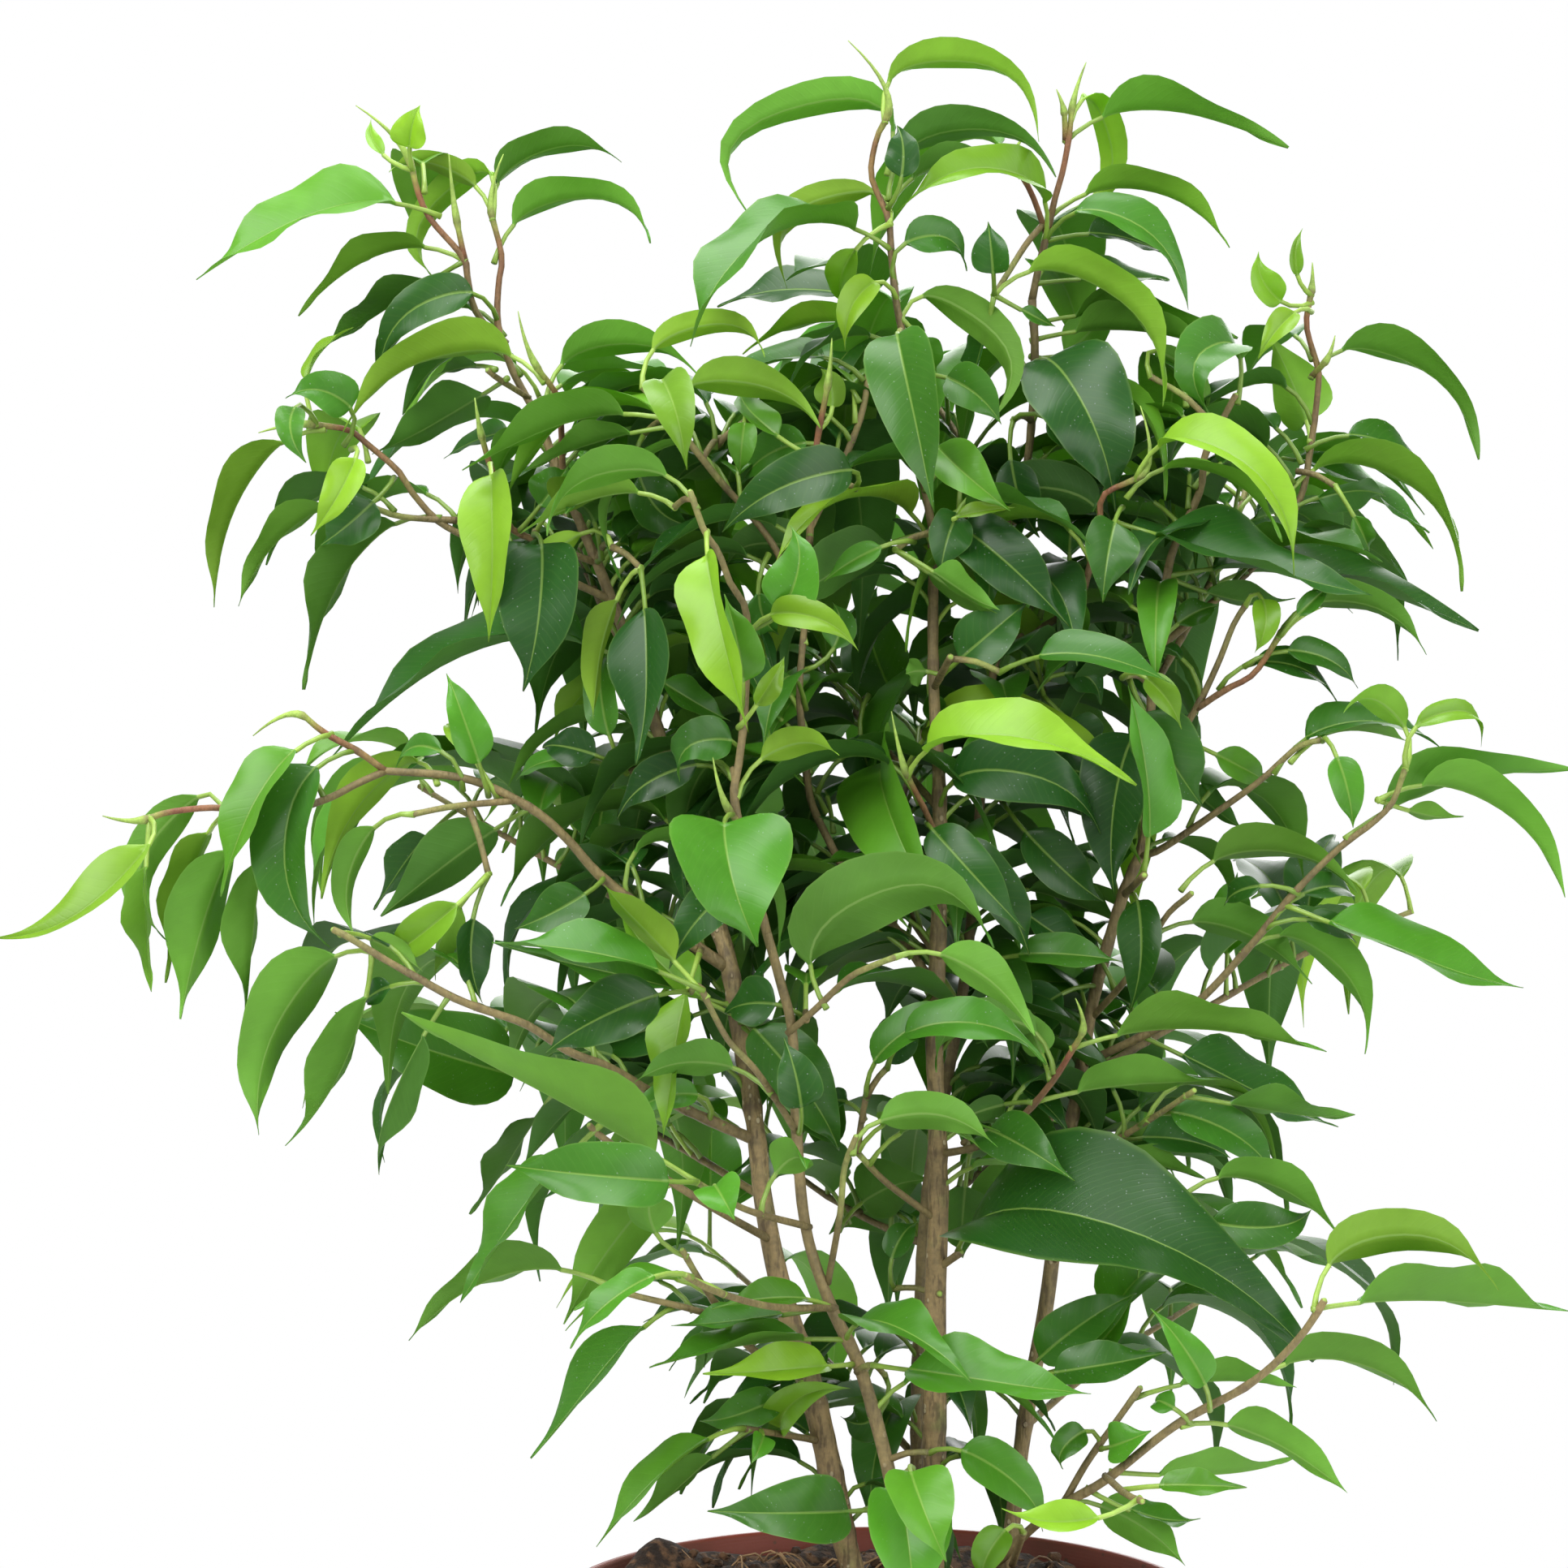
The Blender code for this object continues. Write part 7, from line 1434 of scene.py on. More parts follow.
class Mottling(Effect):
    """A colour that varies softly from place to place, broad and fine at once."""

    def __init__(self) -> None:
        """Name the group and its sockets."""
        super().__init__("mottling", (("Colour", COLOUR, (0.5, 0.5, 0.5, 1.0)), ("Broad", FLOAT, 60.0),
                                      ("Depth", FLOAT, 0.3)), (("Colour", COLOUR), ("Height", FLOAT)))

    def fill(self, s: Shading, given: dict) -> tuple:
        """Two scales of noise, six times apart, make the colour brighter and darker.

        Args:
            s: The group's shading.
            given: Its inputs: the colour, the broad noise's scale and how deep it goes.

        Returns:
            The mottled colour, and the noise as a height.
        """
        place = s.place()
        scaled = s.add("VectorMath", {0: place, "Scale": given["Broad"]}, operation="SCALE").outputs[0]
        both = s.plus(s.noise(scaled, 1.0), s.times(s.noise(scaled, 6.0), 0.6))
        gain = s.plus(s.times(s.minus(both, 0.8), given["Depth"], 2.0), 1.0)
        return s.dimmed(given["Colour"], gain), both


class Specks(Effect):
    """Small separate specks, such as dust, lime spots or lenticels."""

    def __init__(self) -> None:
        """Name the group and its sockets."""
        super().__init__("specks", (("Density", FLOAT, 400.0), ("Size", FLOAT, 0.2), ("Share", FLOAT, 0.5),
                                    ("Stretch", VECTOR, (1.0, 1.0, 1.0))), (("Mask", FLOAT),))

    def fill(self, s: Shading, given: dict) -> tuple:
        """Round cells of a Voronoi pattern, of which only a random share is kept.

        Args:
            s: The group's shading.
            given: Its inputs: the cells' density, the specks' size, the share kept and the stretch.

        Returns:
            The specks' mask.
        """
        place = s.stretched(s.place(), given["Stretch"])
        cells = s.add("TexVoronoi", {"Vector": place, "Scale": given["Density"]})
        near = s.math("DIVIDE", cells.outputs["Distance"], given["Size"])
        pick = s.add("SeparateColor", {0: cells.outputs["Color"]}).outputs[0]
        kept = s.math("LESS_THAN", pick, given["Share"])
        return (s.times(s.step(near, 1.0, 0.6), kept),)


LEAF_VEINS = LeafVeins()
MOTTLING = Mottling()
SPECKS = Specks()


@dataclass(frozen=True)
class Finish:
    """One material: a Principled shader, whose sockets get values from the piece's place and mesh."""

    name: str

    def coat(self, s: Shading) -> dict:
        """What the shader's sockets get, by their names."""
        raise NotImplementedError

    def surface(self, s: Shading, skin: Socket, coat: dict) -> Socket:
        """What is seen of it: here the shader's skin alone."""
        return skin

    def material(self) -> bpy.types.Material:
        """The finish as a new material.

        Returns:
            The material.
        """
        made = bpy.data.materials.new(self.name)
        made.use_nodes = True
        made.node_tree.nodes.clear()
        s = Shading(made.node_tree)
        coat = self.coat(s)
        shader = s.add("BsdfPrincipled", coat)
        s.add("OutputMaterial", {0: self.surface(s, shader.outputs[0], coat)})
        return made


@dataclass(frozen=True)
class BladeFinish(Finish):
    """One face of the leaves: its colours from old to young, its veins, its gloss and its glow."""

    old: Colour
    middle: Colour
    young: Colour
    vein: Colour
    vein_share: float
    side_share: float
    roughness: float
    gloss: float
    glow: float
    glow_colour: Colour
    relief: float
    specks: float
    dust: Colour = (0.5, 0.55, 0.5)
    spot: Colour = (0.01, 0.012, 0.008)

    def coat(self, s: Shading) -> dict:
        """A glossy skin with veins and a pale edge, and dust and dark spots on the old leaves.

        Args:
            s: The material's shading.

        Returns:
            The sockets' values.
        """
        age = s.value("age")
        aged = s.mix(s.step(age, 0.0, 0.5), self.old, self.middle)
        tint = s.mix(s.step(age, 0.48, 1.0), aged, self.young)
        veins = LEAF_VEINS.use(s, Spacing=1.7, Rib_width=0.34)
        mottled = MOTTLING.use(s, Colour=tint, Broad=55.0, Depth=0.2)
        body = s.dimmed(mottled["Colour"], s.plus(0.78, s.times(s.value("tone"), 0.44)))
        pale = s.mix(0.45, body, self.vein)
        body = s.over(body, (veins["Side veins"], self.side_share, pale), (veins["Edge"], 0.4, pale),
                      (veins["Rib"], self.vein_share, self.vein))
        oldness = s.step(age, 0.65, 0.2)
        dust = SPECKS.use(s, Density=1300.0, Size=0.2, Share=0.22)
        spots = SPECKS.use(s, Density=130.0, Size=0.1, Share=0.1)
        dusty = s.times(dust["Mask"], oldness, self.specks)
        body = s.mix(dusty, body, self.dust)
        body = s.mix(s.times(spots["Mask"], oldness, self.specks), body, self.spot)
        rough = s.plus(self.roughness, s.times(mottled["Height"], 0.08))
        ridges = s.plus(veins["Rib"], s.times(veins["Side veins"], 0.35))
        return {"Base Color": body, "Roughness": s.plus(rough, s.times(dusty, 0.3)),
                "Normal": s.bump(s.times(ridges, -1.0), self.relief), "Specular IOR Level": self.gloss}

    def surface(self, s: Shading, skin: Socket, coat: dict) -> Socket:
        """The skin over a body that lets light through.

        Args:
            s: The material's shading.
            skin: The glossy skin.
            coat: The sockets' values.

        Returns:
            The whole surface.
        """
        through = s.mix(0.5, coat["Base Color"], self.glow_colour)
        body = s.add("BsdfTranslucent", {"Color": through, "Normal": coat["Normal"]})
        return s.blend(self.glow, skin, body.outputs[0])


UPPER_FACE = BladeFinish(
    name="leaf_upper_face", old=(0.015, 0.074, 0.01), middle=(0.068, 0.24, 0.016), young=(0.22, 0.41, 0.02),
    vein=(0.28, 0.44, 0.09), vein_share=0.5, side_share=0.07, roughness=0.28, gloss=0.4, glow=0.26,
    glow_colour=(0.4, 0.8, 0.04), relief=0.00002, specks=0.3)
UNDER_FACE = BladeFinish(
    name="leaf_under_face", old=(0.062, 0.175, 0.036), middle=(0.15, 0.35, 0.045), young=(0.28, 0.46, 0.04),
    vein=(0.3, 0.46, 0.13), vein_share=0.6, side_share=0.07, roughness=0.5, gloss=0.25, glow=0.45,
    glow_colour=(0.5, 0.9, 0.05), relief=-0.00003, specks=0.0)


@dataclass(frozen=True)
class StalkFinish(Finish):
    """The leaf stalks: yellow-green, lighter on young leaves."""

    name: str = "leaf_stalk"
    green: Colour = (0.14, 0.24, 0.03)
    young: Colour = (0.26, 0.4, 0.06)

    def coat(self, s: Shading) -> dict:
        """A smooth, softly mottled skin.

        Args:
            s: The material's shading.

        Returns:
            The sockets' values.
        """
        tint = s.mix(s.step(s.value("age"), 0.1, 0.9), self.green, self.young)
        mottled = MOTTLING.use(s, Colour=tint, Broad=160.0, Depth=0.3)
        return {"Base Color": mottled["Colour"], "Roughness": 0.42}


@dataclass(frozen=True)
class BarkFinish(Finish):
    """The wood: green tips, red-brown twigs and grey-brown trunks with pale lenticels and node rings."""

    name: str = "fig_bark"
    tip: Colour = (0.24, 0.36, 0.06)
    twig: Colour = (0.17, 0.13, 0.05)
    branch: Colour = (0.2, 0.15, 0.062)
    trunk: Colour = (0.27, 0.19, 0.085)
    lenticel: Colour = (0.52, 0.44, 0.27)
    moss: Colour = (0.1, 0.17, 0.03)
    shoot: Colour = (0.19, 0.045, 0.025)
    furrow: Colour = (0.06, 0.04, 0.02)
    ring: Colour = (0.1, 0.065, 0.035)

    def coat(self, s: Shading) -> dict:
        """Bark whose colour follows the wood's radius in millimetres, with fine ridges along it.

        Args:
            s: The material's shading.

        Returns:
            The sockets' values.
        """
        girth = s.value("girth")
        place = s.place()
        patch = s.noise(place, 90.0, 3.0)
        wavering = s.plus(girth, s.times(s.minus(patch, 0.5), 0.35))
        tint = self.tip
        for low, high, colour in ((0.35, 0.6, self.twig), (0.7, 1.1, self.branch), (1.2, 2.2, self.trunk)):
            tint = s.mix(s.step(wavering, low, high), tint, colour)
        mossy = s.times(s.step(patch, 0.56, 0.66), s.step(girth, 1.2, 2.2))
        tint = s.over(tint, (mossy, 0.45, self.moss), (s.value("shoot"), 0.75, self.shoot))
        tint = s.mix(s.value("fresh"), tint, self.tip)
        streak = s.noise(s.stretched(place, (1.0, 1.0, 0.22)), 1100.0, 3.0)
        dark = s.times(s.step(streak, 0.5, 0.36), s.step(girth, 0.7, 1.6))
        mottled = MOTTLING.use(s, Colour=s.over(tint, (dark, 0.6, self.furrow)), Broad=240.0, Depth=0.6)
        dots = SPECKS.use(s, Density=620.0, Size=0.3, Share=0.35, Stretch=(1.0, 1.0, 0.7))
        dotted = s.times(dots["Mask"], s.step(girth, 0.9, 1.6))
        body = s.over(mottled["Colour"], (dotted, 0.75, self.lenticel),
                      (s.step(s.value("node"), 0.45, 0.9), 0.5, self.ring))
        return {"Base Color": body, "Roughness": s.plus(0.5, s.times(mottled["Height"], 0.2)),
                "Normal": s.bump(s.plus(streak, s.times(dotted, 0.6)), 0.00045)}


@dataclass(frozen=True)
class PlasticFinish(Finish):
    """The pot's thin terracotta-red plastic, satin, with fine moulding lines, a little soil dust, and painted
    shade inside.
    """

    name: str = "terracotta_plastic"
    colour: Colour = (0.25, 0.038, 0.022)
    # Soil dust near the rim, and also the colour of the painted shade on the inner wall.
    dust: Colour = (0.12, 0.055, 0.035)
    lines_per_metre: float = 1400.0

    def coat(self, s: Shading) -> dict:
        """Dyed plastic: mottled a little, finely pitted, dusty near its rim, and with painted shade inside.

        Args:
            s: The material's shading.

        Returns:
            The sockets' values.
        """
        place = s.place()
        mottled = MOTTLING.use(s, Colour=self.colour, Broad=30.0, Depth=0.12)
        height = s.add("SeparateXYZ", {0: place}).outputs[2]
        ridges = s.step(s.off_middle(s.math("FRACT", s.times(height, self.lines_per_metre))), 0.0, 0.5)
        specks = SPECKS.use(s, Density=450.0, Size=0.25, Share=0.3)
        streak = s.step(s.noise(place, 45.0, 4.0), 0.5, 0.68)
        patchy = s.math("MAXIMUM", s.times(streak, 0.5), specks["Mask"])
        dirty = s.times(patchy, s.step(height, 0.07, 0.105), 0.6)
        # Painted shade: the whole inner wall is mixed 0.35 towards the dust colour, on top of the dust near
        # the rim.
        dust_and_shade = s.plus(dirty, s.times(s.value("inside"), 0.35), clamp=True)
        rough = s.plus(0.36, s.times(dust_and_shade, 0.35))
        pits = s.plus(s.noise(place, 2600.0, 1.0), s.times(ridges, 0.4))
        return {"Base Color": s.mix(dust_and_shade, mottled["Colour"], self.dust),
                "Roughness": s.plus(rough, s.times(mottled["Height"], 0.06)),
                "Normal": s.bump(pits, 0.00006, 0.7)}


@dataclass(frozen=True)
class PeatFinish(Finish):
    """The potting soil: near-black peat with brown crumbs."""

    name: str = "peat"
    dark: Colour = (0.022, 0.011, 0.006)
    brown: Colour = (0.15, 0.075, 0.035)

    def coat(self, s: Shading) -> dict:
        """Matte crumbs of two browns with deep relief.

        Args:
            s: The material's shading.

        Returns:
            The sockets' values.
        """
        place = s.place()
        grain = s.noise(place, 420.0, 5.0)
        tint = s.mix(s.step(grain, 0.45, 0.68), self.dark, self.brown)
        mottled = MOTTLING.use(s, Colour=tint, Broad=80.0, Depth=0.6)
        height = s.plus(grain, s.times(s.noise(place, 1900.0, 3.0), 0.5))
        return {"Base Color": s.over(mottled["Colour"], (s.value("tone"), 0.7, self.brown)),
                "Roughness": 0.92, "Normal": s.bump(height, 0.0009)}


@dataclass(frozen=True)
class FibreFinish(Finish):
    """The rootlets and straws in the peat."""

    name: str = "root_fibre"
    pale: Colour = (0.5, 0.31, 0.15)
    dark: Colour = (0.13, 0.07, 0.035)

    def coat(self, s: Shading) -> dict:
        """Dull tan strands, each with a tone of its own.

        Args:
            s: The material's shading.

        Returns:
            The sockets' values.
        """
        tint = s.mix(s.value("tone"), self.dark, self.pale)
        mottled = MOTTLING.use(s, Colour=tint, Broad=300.0, Depth=0.4)
        return {"Base Color": mottled["Colour"], "Roughness": 0.8}


@dataclass(frozen=True)
class StudioFinish(Finish):
    """The studio's white floor, which fades into the white around it."""

    name: str = "studio_white"
    white: Colour = (0.9, 0.9, 0.9)
    fades_from: float = 0.16
    fades_to: float = 0.42

    def coat(self, s: Shading) -> dict:
        """Plain matte white."""
        return {"Base Color": self.white, "Roughness": 0.9}

    def surface(self, s: Shading, skin: Socket, coat: dict) -> Socket:
        """The skin, which turns into pure white away from the middle.

        Args:
            s: The material's shading.
            skin: The matte skin.
            coat: The sockets' values.

        Returns:
            The whole surface.
        """
        away = s.add("VectorMath", {0: s.place()}, operation="LENGTH").outputs["Value"]
        glowing = s.add("Emission", {"Color": (1.0, 1.0, 1.0), "Strength": 1.0})
        return s.blend(s.step(away, self.fades_from, self.fades_to), skin, glowing.outputs[0])


@dataclass
class Skin:
    """Points, faces and surface values gathered for one piece that is made of closed tubes."""

    points: list = field(default_factory=list)
    faces: list = field(default_factory=list)
    slots: list = field(default_factory=list)
    values: dict = field(default_factory=dict)
    count: int = 0

    def add_tube(self, rings: Array, slots: Array | int, splits: Array | None = None,
                 **values: Array | float) -> None:
        """Add a closed tube through rings.

        Args:
            rings: Points in millimetres, shaped (rings, points round each, 3).
            slots: The material number of each quad, shaped (rings - 1, points round each), or one number.
            splits: For each place round the tube, whether its quads are split from their first to their
                third point, or else from the second to the fourth. None leaves the quads whole.
            values: Named numbers for the points, shaped as the rings or broadcast to them.
        """
        number, around = rings.shape[:2]
        ring, place = np.meshgrid(np.arange(number - 1), np.arange(around), indexing="ij")
        a = self.count + ring * around + place
        b = self.count + ring * around + (place + 1) % around
        c, d = b + around, a + around
        filled = np.broadcast_to(slots, (number - 1, around)).reshape(-1)
        if splits is None:
            self.faces += np.stack((a, b, c, d), axis=-1).reshape(-1, 4).tolist()
        else:
            first = np.stack((a, b, np.where(splits, c, d)), axis=-1)
            second = np.stack((np.where(splits, a, b), c, d), axis=-1)
            self.faces += np.stack((first, second), axis=-2).reshape(-1, 3).tolist()
            filled = filled.repeat(2)
        ends = self.count + np.arange(around)
        self.faces += [ends[::-1].tolist(), (ends + (number - 1) * around).tolist()]
        self.slots += [*filled.tolist(), int(filled[0]), int(filled[-1])]
        self.points.append(rings.reshape(-1, 3))
        for name, value in values.items():
            spread = np.broadcast_to(value, (number, around)).reshape(-1)
            self.values.setdefault(name, []).append(spread)
        self.count += number * around

    def piece(self, name: str, materials: list[bpy.types.Material], crease: str = "") -> bpy.types.Object:
        """The object with the gathered surface, in metres, smooth but along its creases.

        Args:
            name: The piece's name.
            materials: The materials by number.
            crease: The value that is 1 at points between which an edge stays sharp.

        Returns:
            The object, linked into the scene, with its faces outwards.
        """
        mesh = bpy.data.meshes.new(name)
        mesh.from_pydata((np.vstack(self.points) * MM).tolist(), [], self.faces)
        mesh.polygons.foreach_set("material_index", self.slots)
        mesh.polygons.foreach_set("use_smooth", [True] * len(self.faces))
        for material in materials:
            mesh.materials.append(material)
        numbers = {key: np.concatenate(parts) for key, parts in self.values.items()}
        if "u" in numbers:
            corner = np.empty(len(mesh.loops), np.int32)
            mesh.loops.foreach_get("vertex_index", corner)
            layer = mesh.uv_layers.new(name="blade")
            flat = np.column_stack((numbers.pop("u")[corner], numbers.pop("v")[corner]))
            layer.data.foreach_set("uv", flat.ravel().astype(np.float32))
        if crease:
            ends = np.empty(len(mesh.edges) * 2, np.int32)
            mesh.edges.foreach_get("vertices", ends)
            sharp = (numbers.pop(crease)[ends.reshape(-1, 2)] > 0.5).all(axis=1)
            mesh.attributes.new("sharp_edge", "BOOLEAN", "EDGE").data.foreach_set("value", sharp)
        for key, value in numbers.items():
            mesh.attributes.new(key, "FLOAT", "POINT").data.foreach_set("value", value.astype(np.float32))
        turn_outwards(mesh)
        return shown(name, mesh)


def shown(name: str, data: bpy.types.ID | None) -> bpy.types.Object:
    """A new object in the scene.

    Args:
        name: Its name.
        data: Its mesh, lamp or camera.

    Returns:
        The object.
    """
    made = bpy.data.objects.new(name, data)
    bpy.context.scene.collection.objects.link(made)
    return made


def turn_outwards(mesh: bpy.types.Mesh) -> None:
    """Point every face of a mesh of closed bodies outwards.

    Args:
        mesh: The mesh.
    """
    work = bmesh.new()
    work.from_mesh(mesh)
    bmesh.ops.recalc_face_normals(work, faces=work.faces)
    work.to_mesh(mesh)
    work.free()
    mesh.update()


def full_turn(count: int) -> Array:
    """Angles, evenly spaced over a full turn."""
    return np.linspace(0, 2 * np.pi, count, endpoint=False)


def swept_rings(points: Array, radii: Array, sides: int) -> Array:
    """Round sections carried along a path.

    Args:
        points: The path.
        radii: The radius at each point, or at each point and side.
        sides: How many points a section has.

    Returns:
        The sections' points, shaped (points, sides, 3). Each stands at right angles to the path, turned
        from one fixed direction that the path doesn't run in.
    """
    ways = units(np.gradient(points, axis=0))
    fixed = np.eye(3)[np.argmin(np.abs(ways.mean(axis=0)))]
    side = units(np.cross(ways, fixed))
    other = np.cross(ways, side)
    turns = full_turn(sides)[None, :, None]
    around = side[:, None] * np.cos(turns) + other[:, None] * np.sin(turns)
    return points[:, None] + around * np.broadcast_to(np.reshape(radii, (len(points), -1)),
                                                      (len(points), sides))[..., None]


@dataclass
class Foliage:
    """The leaves of one stem, each a closed thin blade with its stalk."""

    stations: tuple = (0.0, 0.025, 0.06, 0.1, 0.15, 0.21, 0.28, 0.35, 0.43, 0.51, 0.59, 0.66, 0.72, 0.78,
                       0.84, 0.89, 0.94, 0.985)
    halves: tuple = (0.06, 0.3, 0.55, 0.74, 0.88, 0.97, 1.0, 0.995, 0.95, 0.86, 0.73, 0.58, 0.43, 0.28,
                     0.155, 0.09, 0.05, 0.02)
    columns: tuple = (-1.0, -0.68, -0.34, 0.0, 0.34, 0.68, 1.0)
    stalk_stations: tuple = (0.3, 0.7)
    stalk_girths: tuple = (1.35, 1.0, 0.92)
    blade_girth: float = 0.95
    stalk_radius: float = 0.46
    thickness: float = 0.34
    rim_thickness: float = 0.04
    thins_below: float = 1.2
    wave: float = 0.04
    waves: float = 1.3
    curl: float = 0.22
    flick: float = 0.05
    flick_start: float = 0.62
    flick_spread: float = 0.14
    extra_fold: tuple = (0.5, 0.25)

    def rings(self, leaf: Leaf, draw: Array) -> tuple[Array, Array, Array, Array]:
        """A leaf's sections: three of its stalk, then those of its blade.

        Args:
            leaf: The leaf.
            draw: Four random numbers of its own, from 0 to 1.

        Returns:
            The points, shaped (sections, points round each, 3), the share across (-1 to 1) and the half
            width of each section's points, and how far each section lies along the leaf in millimetres.
        """
        line = leaf.midrib(25)
        along = leaf.measured(line)
        length = along[-1]
        stalk = min(leaf.petiole / length, LONGEST_STALK)
        s = np.array(self.stations)
        before = np.array(self.stalk_stations) * stalk
        shares = np.concatenate(((-ROOT_SINK / length,), before, stalk + (1 - stalk) * s))
        points, ways = leaf.read_off(line, along, np.clip(shares, 0, 1))
        points[0] += ways[0] * shares[0] * length
        across = unit(np.cross(leaf.tip - leaf.root, leaf.normal))
        side = units(across - ways * (ways @ across)[:, None])
        rise = np.cross(side, ways)
        tipping = np.maximum(0, shares - self.flick_start) ** 2 / self.flick_spread
        lift = self.flick * (0.2 + draw[2]) * length * tipping
        points = points + rise * lift[:, None]
        half = leaf.width / 2 * np.array(self.halves)
        half[0] = self.stalk_radius
        at_base, at_tip = self.extra_fold
        fold = leaf.fold * (1 + at_base * (1 - s) ** 3 + at_tip * s**2)
        t = np.array(self.columns)
        lean = np.abs(t) * (1 + self.curl - self.curl * (1 + draw[3]) * np.abs(t))
        phase = 2 * np.pi * ((self.waves + draw[1]) * s + draw[2])
        waves = self.wave * (1 + draw[0]) * leaf.width * np.sin(phase) * np.sin(np.pi * s) ** 0.5
        up = half[:, None] * np.sin(fold)[:, None] * lean + waves[:, None] * t * np.abs(t) ** 1.5
        out = half[:, None] * np.cos(fold)[:, None] * t
        body = np.where(np.abs(t) < 0.99, 1.0, 0.0) * np.minimum(1, half / self.thins_below)[:, None]
        thick = np.maximum(self.thickness * body, self.rim_thickness) / 2
        top = np.stack((out, up + thick), axis=-1)
        bottom = np.stack((out, up - thick), axis=-1)[:, -2:0:-1]
        blade = np.concatenate((top, bottom), axis=1)
        turns = np.pi - full_turn(2 * len(t) - 2)
        round_section = np.stack((np.cos(turns), np.sin(turns)), axis=-1) * self.stalk_radius
        blade[0] = round_section * self.blade_girth
        flat = np.concatenate(([round_section * girth for girth in self.stalk_girths], blade))
        solid = points[:, None] + side[:, None] * flat[..., :1] + rise[:, None] * flat[..., 1:]
        halves = np.concatenate((np.full(len(self.stalk_girths), self.stalk_radius), half))
        return solid, np.concatenate((t, t[-2:0:-1])), halves, shares * length

    def build(self, name: str, leaves: list[Leaf], draws: Array, materials: list) -> bpy.types.Object:
        """The piece with all these leaves.

        Args:
            name: The piece's name.
            leaves: The leaves.
            draws: Random numbers from 0 to 1, five for each leaf.
            materials: The upper face's, the under face's and the stalk's material.

        Returns:
            The object. Both faces of a blade are split along the same lines, which run outwards from the
            midrib, so they never cross. The midrib and the rim stay sharp.
        """
        skin = Skin()
        stalks = len(self.stalk_girths)
        middle = len(self.columns) // 2
        around = 4 * middle
        slots = np.zeros((len(self.stations) + stalks - 1, around), int)
        slots[:, 2 * middle:] = 1
        slots[:stalks] = 2
        place = np.arange(around)
        splits = (place // middle) % 2 == 1
        crease = (place % middle == 0) & (place != 3 * middle)
        reach = np.concatenate((np.zeros(stalks), self.stations))[:, None]
        for leaf, draw in zip(leaves, draws):
            rings, share, halves, along = self.rings(leaf, draw)
            skin.add_tube(
                rings, slots, splits, u=0.5 + share * halves[:, None] / BLADE_MAP,
                v=along[:, None] / BLADE_MAP, age=min(1.0, leaf.age / YOUNGEST), tone=draw[4],
                margin=np.abs(share), reach=reach, crease=crease * (reach > 0.02))
        return skin.piece(name, materials, crease="crease")


